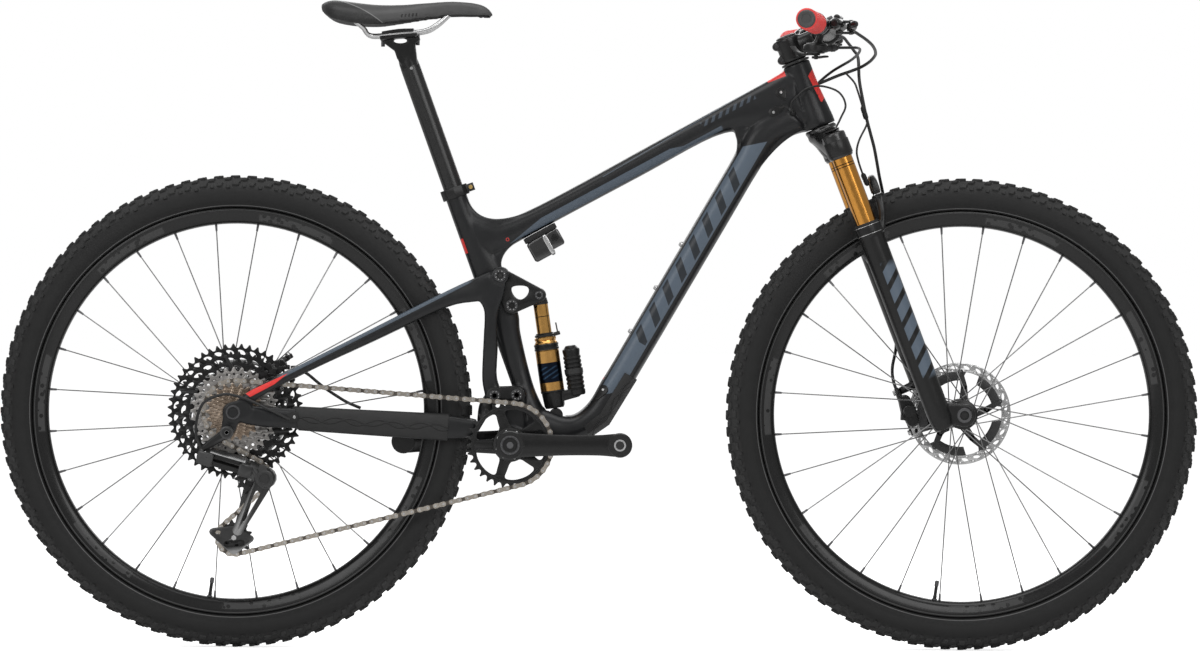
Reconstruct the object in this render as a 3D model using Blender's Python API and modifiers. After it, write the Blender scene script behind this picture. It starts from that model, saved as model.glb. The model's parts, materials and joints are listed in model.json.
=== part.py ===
"""Cross-country mountain bike with rear suspension, modelled as separate sub-parts.

Metres and degrees.  +X points forward, +Y to the rider's left and +Z up.  The origin lies on the
ground, midway between the two axles.
"""

import math

import bmesh
import bpy
from mathutils import Matrix, Vector

# --- Driving dimensions: wheels -------------------------------------------------------------
TYRE_RADIUS = 0.368
TYRE_WIDTH = 0.057
TYRE_WALL = 0.0035
TYRE_HEIGHT = 0.051
RIM_RADIUS = TYRE_RADIUS - TYRE_HEIGHT
RIM_DEPTH = 0.0248
RIM_WIDTH = 0.030
RIM_WALL = 0.0026
SPOKES_PER_WHEEL = 28
SPOKE_RADIUS = 0.0012
AXLE_RADIUS = 0.0070
FRONT_HUB_WIDTH = 0.110
REAR_HUB_WIDTH = 0.148
ROTOR_RADIUS = 0.080
ROTOR_THICKNESS = 0.0020
FREEHUB_RADIUS = 0.0115
FRONT_ROTOR_OFFSET = 0.0425
REAR_ROTOR_OFFSET = 0.0600

# --- Driving dimensions: frame geometry -----------------------------------------------------
BOTTOM_BRACKET_DROP = 0.049
TYRE_TO_BRACKET = 0.063
CHAINSTAY_LENGTH = TYRE_RADIUS + TYRE_TO_BRACKET
FRAME_REACH = 0.4418
FRAME_STACK = 0.5947
HEAD_TUBE_ANGLE = 69.0
HEAD_TUBE_LENGTH = 0.1054
HEAD_TUBE_TOP_RADIUS = 0.0215
HEAD_TUBE_BOTTOM_RADIUS = 0.0255
SEAT_TUBE_ANGLE = 70.2
SEAT_TUBE_SETBACK = 0.0904
SEAT_TUBE_HEIGHT = 0.3953
SEAT_TUBE_RADIUS = 0.0172
SEATPOST_RADIUS = 0.01545
SEATPOST_EXPOSED = 0.229
SEATPOST_INSERTED = 0.115
SEATPOST_LOWERING = 0.070
BOTTOM_BRACKET_WIDTH = 0.089
BOTTOM_BRACKET_RADIUS = 0.0262
SPINDLE_RADIUS = 0.0120

# --- Driving dimensions: suspension, as (forward of, above) the bottom bracket -----------------
FRAME_UPPER_PIVOT = (0.0010, 0.2157)
SWINGARM_UPPER_PIVOT = (-0.0172, 0.2625)
FRAME_LOWER_PIVOT = (0.0093, 0.0768)
SWINGARM_LOWER_PIVOT = (-0.0250, 0.0756)
SHOCK_UPPER_PIVOT = (0.0432, 0.2320)
SHOCK_LOWER_PIVOT = (0.0702, 0.0452)
STRUT_HALF_WIDTH = 0.0165
UPPER_LINK_THICKNESS = 0.0085
UPPER_LINK_RADIUS = 0.0128
LOWER_LUG_HALF_WIDTH = 0.0300
LOWER_LINK_THICKNESS = 0.0075
LOWER_LINK_RADIUS = 0.0130
UPRIGHT_THICKNESS = 0.0115
PIVOT_PIN_RADIUS = 0.0045
OPEN_PIVOT_PLAY = 0.0030
SHOCK_CAN_RADIUS = 0.0185
SHOCK_SHAFT_RADIUS = 0.0113
SHOCK_STROKE = 0.040
SHOCK_EYE_WIDTH = 0.024

# --- Driving dimensions: fork and cockpit ---------------------------------------------------
FORK_OFFSET = 0.048
FORK_TRAVEL = 0.100
FORK_LEG_AHEAD = 0.0115
FORK_LEG_SPACING = 0.134
STANCHION_RADIUS = 0.0160
STEERER_RADIUS = 0.0143
STEM_LENGTH = 0.0610
STEM_RISE_ANGLE = 26.0
BAR_WIDTH = 0.760
BAR_CLAMP_RADIUS = 0.0159
BAR_END_RADIUS = 0.0111
BAR_BACKSWEEP = 9.0
GRIP_LENGTH = 0.130
GRIP_RADIUS = 0.0162
BRAKE_INSET = 0.025
SHIFTER_INSET = 0.035

# --- Driving dimensions: drivetrain ---------------------------------------------------------
CHAIN_PITCH = 0.0127
CHAIN_WIDTH = 0.0050
CHAINRING_TEETH = 32
CHAIN_LINE = 0.0520
CASSETTE_TEETH = (10, 12, 14, 16, 18, 21, 24, 28, 33, 39, 45, 51)
CASSETTE_SPACING = 0.00355
SMALLEST_SPROCKET_OFFSET = 0.0650
SPROCKET_THICKNESS = 0.0015
CHAINRING_THICKNESS = 0.0020
PULLEY_TEETH = 13
PULLEY_THICKNESS = 0.0020
CHAIN_SPROCKET = 6
CRANK_LENGTH = 0.170
CRANK_CLEARANCE = 0.0565
CRANK_THICKNESS = 0.0170
PEDAL_EYE_RADIUS = 0.0195
PEDAL_THREAD_RADIUS = 0.0070

# --- Driving dimensions: saddle -------------------------------------------------------------
SADDLE_LENGTH = 0.270
SADDLE_WIDTH = 0.134
SADDLE_RAIL_RADIUS = 0.0035

# --- Clearances and mesh steps --------------------------------------------------------------
GAP = 0.0003
WHEEL_STEPS = 28
ROUND_STEPS = 10
SMALL_STEPS = 6
TUBE_POINTS = 10
STAY_POINTS = 8

X = Vector((1.0, 0.0, 0.0))
Y = Vector((0.0, 1.0, 0.0))
Z = Vector((0.0, 0.0, 1.0))


# --- Places of the side view ----------------------------------------------------------------
class Datum:
    """A point with two directions of the side view, from which places are measured."""

    def __init__(self, origin, first, second):
        self.origin = Vector(origin)
        self.first = Vector(first).normalized()
        self.second = Vector(second).normalized()

    def at(self, along_first, along_second, y=0.0):
        """The point this far along both directions, and y to the left."""
        return self.origin + self.first * along_first + self.second * along_second + Y * y

    def coordinates(self, point):
        """How far a point lies along the two directions."""
        offset = point - self.origin
        return offset.dot(self.first), offset.dot(self.second)


def slope(angle):
    """The unit direction of the side view at this angle above +X, in degrees."""
    return Vector((math.cos(math.radians(angle)), 0.0, math.sin(math.radians(angle))))


def layout():
    """The rear axle, bottom bracket, steering, seat and front axle datums, in that order."""
    chainstay_reach = math.sqrt(CHAINSTAY_LENGTH**2 - BOTTOM_BRACKET_DROP**2)
    down = slope(-HEAD_TUBE_ANGLE)
    ahead = slope(90.0 - HEAD_TUBE_ANGLE)
    head_top = Vector((chainstay_reach + FRAME_REACH, 0.0, FRAME_STACK - BOTTOM_BRACKET_DROP))
    head_bottom = head_top + down * HEAD_TUBE_LENGTH
    axle_distance = -(head_bottom.z + ahead.z * FORK_OFFSET) / down.z
    front_axle = head_bottom + down * axle_distance + ahead * FORK_OFFSET
    shift = Vector((-front_axle.x / 2, 0.0, TYRE_RADIUS))
    bracket = shift + Vector((chainstay_reach, 0.0, -BOTTOM_BRACKET_DROP))
    collar = bracket + Vector((-SEAT_TUBE_SETBACK, 0.0, SEAT_TUBE_HEIGHT))
    return (
        Datum(shift, X, Z),
        Datum(bracket, X, Z),
        Datum(shift + head_bottom, down, ahead),
        Datum(collar, slope(180.0 - SEAT_TUBE_ANGLE), slope(90.0 - SEAT_TUBE_ANGLE)),
        Datum(shift + front_axle, X, Z),
        axle_distance,
    )


REAR, BRACKET, STEER, SEAT, FRONT, FORK_LENGTH = layout()
HEAD = Datum(STEER.origin, X, Z)
SADDLE = Datum(SEAT.at(SEATPOST_EXPOSED, 0.0), X, Z)
UPPER_FRAME = BRACKET.at(*FRAME_UPPER_PIVOT)
UPPER_SWING = BRACKET.at(*SWINGARM_UPPER_PIVOT)
LOWER_FRAME = BRACKET.at(*FRAME_LOWER_PIVOT)
LOWER_SWING = BRACKET.at(*SWINGARM_LOWER_PIVOT)
SHOCK_TOP = BRACKET.at(*SHOCK_UPPER_PIVOT)
SHOCK_BASE = BRACKET.at(*SHOCK_LOWER_PIVOT)

# Lateral stack of the linkage, from the middle outwards.
UPPER_LINK_INNER = STRUT_HALF_WIDTH + 0.001
UPPER_LINK_OUTER = UPPER_LINK_INNER + UPPER_LINK_THICKNESS
UPRIGHT_INNER = UPPER_LINK_OUTER + 0.001
UPRIGHT_OUTER = UPRIGHT_INNER + UPRIGHT_THICKNESS
LOWER_LINK_INNER = LOWER_LUG_HALF_WIDTH + 0.001
LOWER_LINK_OUTER = LOWER_LINK_INNER + LOWER_LINK_THICKNESS

BRAKE_CLAMP_OUT = BAR_WIDTH / 2 - GRIP_LENGTH - BRAKE_INSET
SHIFTER_CLAMP_OUT = BRAKE_CLAMP_OUT - SHIFTER_INSET
BAR_RISE = HEAD_TUBE_LENGTH + 0.0235
STEM_CENTRE = STEER.at(-BAR_RISE, 0.0)
BAR_CENTRE = STEM_CENTRE + slope(STEM_RISE_ANGLE) * STEM_LENGTH
BAR_STRAIGHT = 0.035
BAR_BEND = 0.100


def bar_point(out, side, ahead=0.0, above=0.0):
    """A place on the handlebar's axis this far out, moved ahead and above it."""
    beyond = max(out - BAR_BEND, 0.0)
    back = math.tan(math.radians(BAR_BACKSWEEP)) * beyond
    point = BAR_CENTRE + Vector((-back + ahead, 0.0, 0.012 * beyond + above))
    point.y = side * out
    return point


# --- Shapes: each function returns a bmesh in world coordinates --------------------------------
def finish_shape(shape):
    """Weld loose caps, merge the faces of each plane and point all faces outwards."""
    bmesh.ops.remove_doubles(shape, verts=shape.verts, dist=0.000002)
    bmesh.ops.dissolve_limit(shape, angle_limit=0.0005, verts=shape.verts, edges=shape.edges)
    bmesh.ops.connect_verts_nonplanar(shape, angle_limit=0.0005, faces=shape.faces)
    bmesh.ops.recalc_face_normals(shape, faces=shape.faces)
    return shape


def turn_to(direction):
    """The rotation that takes +Z to this direction."""
    return Vector(direction).to_track_quat("Z", "Y").to_matrix().to_4x4()


def rod(start, end, radius, end_radius=None, steps=ROUND_STEPS):
    """A cylinder or cone from start to end."""
    start, end = Vector(start), Vector(end)
    shape = bmesh.new()
    place = Matrix.Translation((start + end) / 2) @ turn_to(end - start)
    bmesh.ops.create_cone(
        shape, cap_ends=True, segments=steps, radius1=radius,
        radius2=radius if end_radius is None else end_radius,
        depth=(end - start).length, matrix=place,
    )
    return finish_shape(shape)


def clear(radius, steps=ROUND_STEPS, gap=GAP):
    """The radius of a bore whose flats keep this gap from a round pin."""
    return (radius + gap) / math.cos(math.pi / steps)


def cross_rod(centre, y_from, y_to, radius, end_radius=None, steps=ROUND_STEPS):
    """A cylinder across the bike through a place of the side view."""
    start, end = Vector(centre), Vector(centre)
    start.y, end.y = y_from, y_to
    return rod(start, end, radius, end_radius, steps)


def block(centre, size, direction=X):
    """A box of size (along direction, across the bike, third) about its centre."""
    third = direction.cross(Y)
    axes = Matrix((direction.normalized(), Y, third.normalized())).transposed().to_4x4()
    shape = bmesh.new()
    scale = Matrix.Diagonal((*size, 1.0))
    bmesh.ops.create_cube(shape, size=1.0, matrix=Matrix.Translation(centre) @ axes @ scale)
    return finish_shape(shape)


def loft(rings, closed=False):
    """A solid skin through rings that have the same number of points."""
    shape = bmesh.new()
    rows = [[shape.verts.new(point) for point in ring] for ring in rings]
    count = len(rows[0])
    pairs = list(zip(rows, rows[1:]))
    if closed:
        pairs.append((rows[-1], rows[0]))
    for low, high in pairs:
        for k in range(count):
            after = (k + 1) % count
            shape.faces.new((low[k], low[after], high[after], high[k]))
    if not closed:
        shape.faces.new(rows[0])
        shape.faces.new(rows[-1])
    return finish_shape(shape)


def oval(top, bottom, half_width, y=0.0, power=2.0, points=TUBE_POINTS):
    """A ring between two points of the side view, round at power 2 and boxy above it."""
    centre = (top + bottom) / 2
    rise = (top - bottom) / 2
    ring = []
    for k in range(points):
        angle = math.tau * k / points
        across, up = math.cos(angle), math.sin(angle)
        across = math.copysign(abs(across) ** (2 / power), across)
        up = math.copysign(abs(up) ** (2 / power), up)
        ring.append(centre + rise * up + Y * (y + half_width * across))
    return ring


def round_ring(centre, normal, radius, points=ROUND_STEPS):
    """A round ring about a centre, square to the normal."""
    turn = turn_to(normal)
    ring = []
    for k in range(points):
        angle = math.tau * k / points
        spoke = Vector((radius * math.cos(angle), radius * math.sin(angle), 0.0))
        ring.append(Vector(centre) + turn @ spoke)
    return ring


def turned(profile, centre, axis=Y, steps=ROUND_STEPS, closed=False):
    """A profile of (distance along the axis, radius), turned round the axis by a Screw."""
    mesh = bpy.data.meshes.new("profile")
    edges = [(k, k + 1) for k in range(len(profile) - 1)]
    if closed:
        edges.append((len(profile) - 1, 0))
    mesh.from_pydata([(radius, 0.0, along) for along, radius in profile], edges, [])
    source = bpy.data.objects.new("profile", mesh)
    bpy.context.scene.collection.objects.link(source)
    screw = source.modifiers.new("Turn", "SCREW")
    screw.steps = steps
    screw.render_steps = steps
    screw.use_merge_vertices = True
    screw.merge_threshold = 0.00001
    return read_shape(source, Matrix.Translation(centre) @ turn_to(axis))


def read_shape(source, place):
    """The evaluated mesh of a helper object as a bmesh; the helper is removed."""
    bpy.context.view_layer.update()
    evaluated = source.evaluated_get(bpy.context.evaluated_depsgraph_get())
    mesh = bpy.data.meshes.new_from_object(evaluated)
    shape = bmesh.new()
    shape.from_mesh(mesh)
    bmesh.ops.transform(shape, matrix=place, verts=shape.verts)
    bpy.data.objects.remove(source)
    bpy.data.meshes.remove(mesh)
    return finish_shape(shape)


def plate(outlines, y_from, y_to, corner=0.0):
    """A flat plate across the bike; the first outline is its edge and the others are holes."""
    curve = bpy.data.curves.new("outline", "CURVE")
    curve.dimensions = "2D"
    curve.fill_mode = "BOTH"
    curve.extrude = abs(y_to - y_from) / 2 - corner
    curve.bevel_depth = corner
    curve.bevel_resolution = 0
    curve.offset = -corner
    for outline in outlines:
        spline = curve.splines.new("POLY")
        spline.points.add(len(outline) - 1)
        for point, place in zip(spline.points, outline):
            point.co = (place[0], place[1], 0.0, 1.0)
        spline.use_cyclic_u = True
    source = bpy.data.objects.new("outline", curve)
    bpy.context.scene.collection.objects.link(source)
    upright = Matrix.Rotation(math.pi / 2, 4, "X")
    return read_shape(source, Matrix.Translation(Y * (y_from + y_to) / 2) @ upright)


def flat(points):
    """World points as the (x, z) pairs of an outline."""
    return [(point.x, point.z) for point in points]


def circle(centre, radius, steps=ROUND_STEPS, phase=0.0):
    """A round outline about a place of the side view."""
    return [
        (
            centre.x + radius * math.cos(phase + math.tau * k / steps),
            centre.z + radius * math.sin(phase + math.tau * k / steps),
        )
        for k in range(steps)
    ]


def belt(rounds, steps=16):
    """The outline of a belt drawn tight around circles of (centre, radius)."""
    points = sorted({p for centre, radius in rounds for p in circle(centre, radius, steps)})

    def half(ordered):
        chain = []
        for point in ordered:
            while len(chain) > 1:
                (ax, az), (bx, bz) = chain[-2], chain[-1]
                if (bx - ax) * (point[1] - az) - (bz - az) * (point[0] - ax) > 1e-9:
                    break
                chain.pop()
            chain.append(point)
        return chain[:-1]

    return half(points) + half(points[::-1])


def hull(*shapes):
    """The convex solid drawn tight around other shapes."""
    joined = bmesh.new()
    for shape in shapes:
        for vert in shape.verts:
            joined.verts.new(vert.co)
        shape.free()
    result = bmesh.ops.convex_hull(joined, input=joined.verts)
    loose = {item for item in result["geom_interior"] if isinstance(item, bmesh.types.BMVert)}
    loose |= {vert for vert in joined.verts if not vert.link_faces}
    bmesh.ops.delete(joined, geom=list(loose), context="VERTS")
    return finish_shape(joined)


def tube(points, radius, resolution=2):
    """A round tube along a hand-made route."""
    curve = bpy.data.curves.new("route", "CURVE")
    curve.dimensions = "3D"
    curve.bevel_depth = radius
    curve.bevel_resolution = resolution
    curve.use_fill_caps = True
    spline = curve.splines.new("POLY")
    spline.points.add(len(points) - 1)
    for point, place in zip(spline.points, points):
        point.co = (*place, 1.0)
    source = bpy.data.objects.new("route", curve)
    bpy.context.scene.collection.objects.link(source)
    return read_shape(source, Matrix.Identity(4))


def smooth_route(points, spacing):
    """Points at about this spacing on a smooth curve through the route's own points."""
    ends = [points[0] * 2 - points[1], *points, points[-1] * 2 - points[-2]]
    route = []
    for a, b, c, d in zip(ends, ends[1:], ends[2:], ends[3:]):
        pieces = max(1, round((c - b).length / spacing))
        for k in range(pieces):
            t = k / pieces
            route.append(
                ((b * 2) + (c - a) * t + (a * 2 - b * 5 + c * 4 - d) * t**2
                 + (b * 3 - a - c * 3 + d) * t**3) / 2
            )
    route.append(points[-1])
    return route


# --- Nodes ----------------------------------------------------------------------------------
def clear_scene():
    """Remove what the scene holds."""
    for item in list(bpy.data.objects):
        bpy.data.objects.remove(item)


def new_collection(name, hidden):
    """A collection of the scene; a hidden one holds construction solids."""
    collection = bpy.data.collections.new(name)
    bpy.context.scene.collection.children.link(collection)
    collection.hide_render = hidden
    return collection


def new_material(name, colour, roughness, metallic):
    """A plain surface."""
    material = bpy.data.materials.new(name)
    material.use_nodes = True
    surface = material.node_tree.nodes["Principled BSDF"]
    surface.inputs["Base Color"].default_value = (*colour, 1.0)
    surface.inputs["Roughness"].default_value = roughness
    surface.inputs["Metallic"].default_value = metallic
    return material


clear_scene()
PARTS = new_collection("mountain_bike", hidden=False)
CONSTRUCTION = new_collection("construction", hidden=True)
FINISHES = {
    "carbon": ((0.018, 0.019, 0.021), 0.42, 0.0),
    "black_metal": ((0.015, 0.015, 0.016), 0.35, 0.8),
    "black_plastic": ((0.02, 0.02, 0.02), 0.5, 0.0),
    "rubber": ((0.022, 0.022, 0.023), 0.8, 0.0),
    "steel": ((0.45, 0.44, 0.42), 0.32, 1.0),
    "bronze": ((0.55, 0.30, 0.10), 0.25, 1.0),
    "red_rubber": ((0.75, 0.08, 0.06), 0.6, 0.0),
    "saddle_cover": ((0.045, 0.047, 0.05), 0.6, 0.0),
}
MATERIALS = {name: new_material(name, *values) for name, values in FINISHES.items()}


class Node:
    """A named sub-part: its first solid, and the solids joined to it or cut from it."""

    def __init__(self, name, shape, finish, pivot=(0.0, 0.0, 0.0)):
        self.object = self.add(name, shape, PARTS, pivot)
        self.object.data.materials.append(MATERIALS[finish])
        self.object.data.shade_smooth()
        self.object.data.set_sharp_from_angle(angle=math.radians(35))

    @staticmethod
    def add(name, shape, collection, pivot):
        """Put a shape in a collection, with its origin on the pivot."""
        bmesh.ops.translate(shape, vec=-Vector(pivot), verts=shape.verts)
        mesh = bpy.data.meshes.new(name)
        shape.to_mesh(mesh)
        shape.free()
        item = bpy.data.objects.new(name, mesh)
        item.location = pivot
        collection.objects.link(item)
        return item

    def combine(self, shape, operation):
        """Join a solid to this node, or cut it away."""
        helper = self.add(f"{self.object.name}_solid", shape, CONSTRUCTION, (0.0, 0.0, 0.0))
        helper.hide_render = True
        helper.display_type = "WIRE"
        change = self.object.modifiers.new(operation.title(), "BOOLEAN")
        change.operation = operation
        change.solver = "EXACT"
        change.object = helper

    def join(self, *shapes):
        """Add solids that overlap this node."""
        for shape in shapes:
            self.combine(shape, "UNION")

    def cut(self, *shapes):
        """Take solids away from this node."""
        for shape in shapes:
            self.combine(shape, "DIFFERENCE")


# --- Frame ----------------------------------------------------------------------------------
# Down tube cradle under the shock, as (top, bottom) pairs from the bottom bracket.
CRADLE = (
    ((0.010, 0.056), (-0.010, -0.021), 0.028),
    ((0.050, 0.057), (0.042, -0.0185), 0.028),
    ((0.0816, 0.0462), (0.086, -0.0065), 0.027),
    ((0.1007, 0.0478), (0.1235, 0.0125), 0.027),
    ((0.1226, 0.0671), (0.1520, 0.0320), 0.027),
    ((0.1418, 0.1006), (0.1775, 0.0745), 0.027),
    ((0.1566, 0.1245), (0.1945, 0.1020), 0.027),
)
SECTION_POWER = 2.6
BOTTLE_BOLTS = (0.16, 0.37, 0.58)
PORT_COVERS = ((-0.0610, -0.0210), (-0.0300, -0.0390))


def cradle_rings(grow=0.0, first=0):
    """Rings of the cradle, grown outwards by this much."""
    rings = []
    for top, bottom, half_width in CRADLE[first:]:
        top, bottom = BRACKET.at(*top), BRACKET.at(*bottom)
        stretch = (top - bottom).normalized() * grow
        rings.append(oval(top + stretch, bottom - stretch, half_width + grow, power=SECTION_POWER))
    return rings


def down_tube():
    """The cradle and the straight down tube up to the head tube."""
    low_top, low_bottom = (BRACKET.at(*pair) for pair in CRADLE[-1][:2])
    high_top, high_bottom = STEER.at(-0.0028, -0.1443), STEER.at(0.0331, -0.1170)
    rings = cradle_rings()
    for share, half_width in ((0.35, 0.028), (0.75, 0.029), (1.0, 0.0285)):
        top = low_top.lerp(high_top, share)
        bottom = low_bottom.lerp(high_bottom, share)
        rings.append(oval(top, bottom, half_width, power=SECTION_POWER))
    rings.append(oval(STEER.at(-0.040, -0.104), STEER.at(0.0005, -0.068), 0.028, power=SECTION_POWER))
    rings.append(oval(STEER.at(-0.060, -0.045), STEER.at(-0.0008, -0.020), 0.025, power=SECTION_POWER))
    return loft(rings)


def top_tube():
    """The sloping top tube, which deepens into the head tube."""
    low_top, low_bottom = BRACKET.at(0.0743, 0.3887), BRACKET.at(0.0744, 0.3501)
    high_top, high_bottom = STEER.at(-0.0965, -0.0476), STEER.at(-0.0500, -0.1100)
    rings = [
        oval(SEAT.at(-0.030, 0.008), SEAT.at(-0.125, 0.008), 0.0165, power=SECTION_POWER),
        oval(SEAT.at(-0.062, 0.034), SEAT.at(-0.116, 0.039), 0.0170, power=SECTION_POWER),
        oval(BRACKET.at(0.0000, 0.3530), BRACKET.at(0.0030, 0.3107), 0.0175, power=SECTION_POWER),
    ]
    for share, half_width in ((0.0, 0.0185), (0.45, 0.0205), (0.85, 0.0225)):
        top = low_top.lerp(high_top, share)
        bottom = low_bottom.lerp(high_bottom, share)
        rings.append(oval(top, bottom, half_width, power=SECTION_POWER))
    rings.append(oval(high_top, STEER.at(-0.030, -0.098), 0.0235, power=SECTION_POWER))
    rings.append(oval(STEER.at(-0.1030, -0.012), STEER.at(-0.004, -0.020), 0.0220, power=SECTION_POWER))
    return loft(rings)


def seat_tube():
    """The seat tube, which swells at the upper pivot and narrows to the strut behind the shock."""
    back = -SEAT_TUBE_RADIUS
    stations = (
        (0.000, SEAT_TUBE_RADIUS, SEAT_TUBE_RADIUS),
        (-0.045, SEAT_TUBE_RADIUS, SEAT_TUBE_RADIUS),
        (-0.120, 0.029, SEAT_TUBE_RADIUS),
        (-0.165, 0.031, STRUT_HALF_WIDTH),
        (-0.215, 0.0304, STRUT_HALF_WIDTH),
        (-0.242, 0.0237, STRUT_HALF_WIDTH),
        (-0.292, 0.0175, STRUT_HALF_WIDTH),
        (-0.335, 0.0150, 0.0200),
        (-0.372, 0.0185, 0.0270),
    )
    rings = []
    for up, front, half_width in stations:
        ring = oval(SEAT.at(up, front), SEAT.at(up, back), half_width, power=2.2)
        rings.append(ring)
    return loft(rings)


def front_frame():
    """Head tube, top tube, down tube, seat tube, pivot lugs and bottom bracket shell."""
    head = turned(
        [
            (0.0, 0.0), (0.0, HEAD_TUBE_BOTTOM_RADIUS), (-0.012, HEAD_TUBE_BOTTOM_RADIUS),
            (-0.060, HEAD_TUBE_TOP_RADIUS), (-HEAD_TUBE_LENGTH, HEAD_TUBE_TOP_RADIUS),
            (-HEAD_TUBE_LENGTH, 0.0),
        ],
        STEER.origin, STEER.first, steps=12,
    )
    node = Node("front_frame", down_tube(), "carbon", BRACKET.origin)
    half_shell = BOTTOM_BRACKET_WIDTH / 2
    tower = plate(
        [belt([(LOWER_FRAME, LOWER_LINK_RADIUS), (BRACKET.origin, BOTTOM_BRACKET_RADIUS * 0.9)])],
        -LOWER_LUG_HALF_WIDTH, LOWER_LUG_HALF_WIDTH,
    )
    node.join(
        top_tube(), seat_tube(), head, tower,
        cross_rod(BRACKET.origin, -half_shell, half_shell, BOTTOM_BRACKET_RADIUS, steps=12),
        hull(
            cross_rod(SHOCK_BASE, -0.024, 0.024, 0.0085),
            cross_rod(SHOCK_BASE - Z * 0.012, -0.024, 0.024, 0.017),
        ),
    )
    # Wells and bores: steerer, seatpost, spindle, shock eye and the linkage pivots.
    over = HEAD_TUBE_LENGTH + 0.010
    slot = SHOCK_EYE_WIDTH / 2 + 0.0008
    post_room = -SEATPOST_INSERTED - SEATPOST_LOWERING - 0.004
    shell_bore = SPINDLE_RADIUS + 0.0085
    node.cut(
        rod(STEER.at(-over, 0.0), STEER.at(0.010, 0.0), clear(STEERER_RADIUS)),
        rod(SEAT.at(post_room, 0.0), SEAT.at(0.010, 0.0), clear(SEATPOST_RADIUS)),
        cross_rod(BRACKET.origin, -0.060, 0.060, clear(shell_bore, 12), steps=12),
        hull(
            cross_rod(SHOCK_BASE, -slot, slot, 0.0125),
            cross_rod(SHOCK_BASE + Z * 0.030, -slot, slot, 0.0200),
        ),
    )
    half_lug = LOWER_LUG_HALF_WIDTH + 0.010
    pin = PIVOT_PIN_RADIUS
    node.cut(
        cross_rod(LOWER_FRAME, -half_lug, half_lug, clear(pin, 8), steps=8),
        cross_rod(UPPER_FRAME, -half_lug, half_lug, clear(pin, 8), steps=8),
    )
    node.join(cross_rod(SHOCK_BASE, -0.0230, 0.0230, pin, steps=8))
    for bolt in BOTTLE_BOLTS:
        node.join(bolt_on_down_tube(bolt))
    for along, ahead in PORT_COVERS:
        node.join(port_cover(along, ahead))
    for place in LEFT_PORTS:
        node.join(rod(place - Y * 0.010, place, 0.0060, 0.0045, steps=SMALL_STEPS))



def bolt_on_down_tube(share):
    """One of the bottle bolts on the upper face of the down tube."""
    low, high = BRACKET.at(*CRADLE[-1][0]), STEER.at(-0.0028, -0.1443)
    place = low.lerp(high, share)
    normal = (high - low).normalized().cross(Y)
    normal = normal if normal.x < 0 else -normal
    return rod(place - normal * 0.004, place + normal * 0.0045, 0.0045, steps=SMALL_STEPS)


def port_cover(along, ahead):
    """A drop-shaped cover of a cable port on the right side of the head tube."""
    centre = STEER.at(along, ahead)
    nose = STEER.at(along - 0.004, ahead + 0.012)
    return plate([belt([(centre, 0.0065), (nose, 0.0025)], 10)], -0.0285, -0.0150)


def bottom_bracket():
    """Pressed cups joined by a sleeve, bored for the spindle."""
    half = BOTTOM_BRACKET_WIDTH / 2
    sleeve = SPINDLE_RADIUS + 0.0085
    bore = clear(SPINDLE_RADIUS)
    lip = half + GAP
    profile = [
        (-lip - 0.0022, bore), (-lip - 0.0022, 0.0235), (-lip, 0.0235), (-lip, sleeve),
        (lip, sleeve), (lip, 0.0235), (lip + 0.0022, 0.0235), (lip + 0.0022, bore),
    ]
    Node(
        "bottom_bracket", turned(profile, BRACKET.origin, closed=True),
        "black_metal", BRACKET.origin,
    )


def seat_clamp():
    """The collar round the top of the seat tube, with its bolt lug in front."""
    inner = clear(SEAT_TUBE_RADIUS, gap=GAP * 2)
    lip = clear(SEATPOST_RADIUS)
    shape = turned(
        [(-0.0125, lip), (-0.0125, 0.0225), (0.0035, 0.0225), (0.0035, lip)],
        SEAT.origin, SEAT.first, closed=True,
    )
    node = Node("seat_clamp", shape, "black_metal", SEAT.origin)
    lug = SEAT.at(-0.0045, 0.0235)
    node.join(block(lug, (0.016, 0.020, 0.012), SEAT.second))
    node.cut(rod(SEAT.at(-0.020, 0.0), SEAT.at(0.0003, 0.0), inner))
    node.cut(block(SEAT.at(-0.0045, 0.0300), (0.030, 0.002, 0.040), SEAT.second))
    node.cut(cross_rod(SEAT.at(-0.0045, 0.0262), -0.006, 0.020, 0.0027, steps=SMALL_STEPS))


def downtube_guard():
    """A rubber shell under the bend of the down tube."""
    node = Node("downtube_guard", loft(cradle_rings(0.0032, first=3)), "rubber", BRACKET.origin)
    first, last = CRADLE[3], CRADLE[-1]
    node.cut(loft(cradle_rings(GAP, first=2) + [oval(
        BRACKET.at(last[0][0] + 0.010, last[0][1] + 0.020),
        BRACKET.at(last[1][0] + 0.010, last[1][1] + 0.020), last[2] + GAP, power=SECTION_POWER)]))
    middle = [
        BRACKET.at(*top).lerp(BRACKET.at(*bottom), 0.55) for top, bottom, _ in CRADLE[2:]
    ]
    above = [BRACKET.at(0.02, 0.25), BRACKET.at(0.30, 0.25)]
    ahead = middle[-1] + (middle[-1] - middle[-2]) * 2
    node.cut(plate([flat([*middle, ahead, above[1], above[0]])], -0.05, 0.05))


TOP_TUBE_UNDERSIDE = (BRACKET.at(0.0030, 0.3107), BRACKET.at(0.0744, 0.3501))
BATTERY_AHEAD = 0.0240
BATTERY_SIZE = (0.0559, 0.0320, 0.0400, 0.0085)


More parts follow.
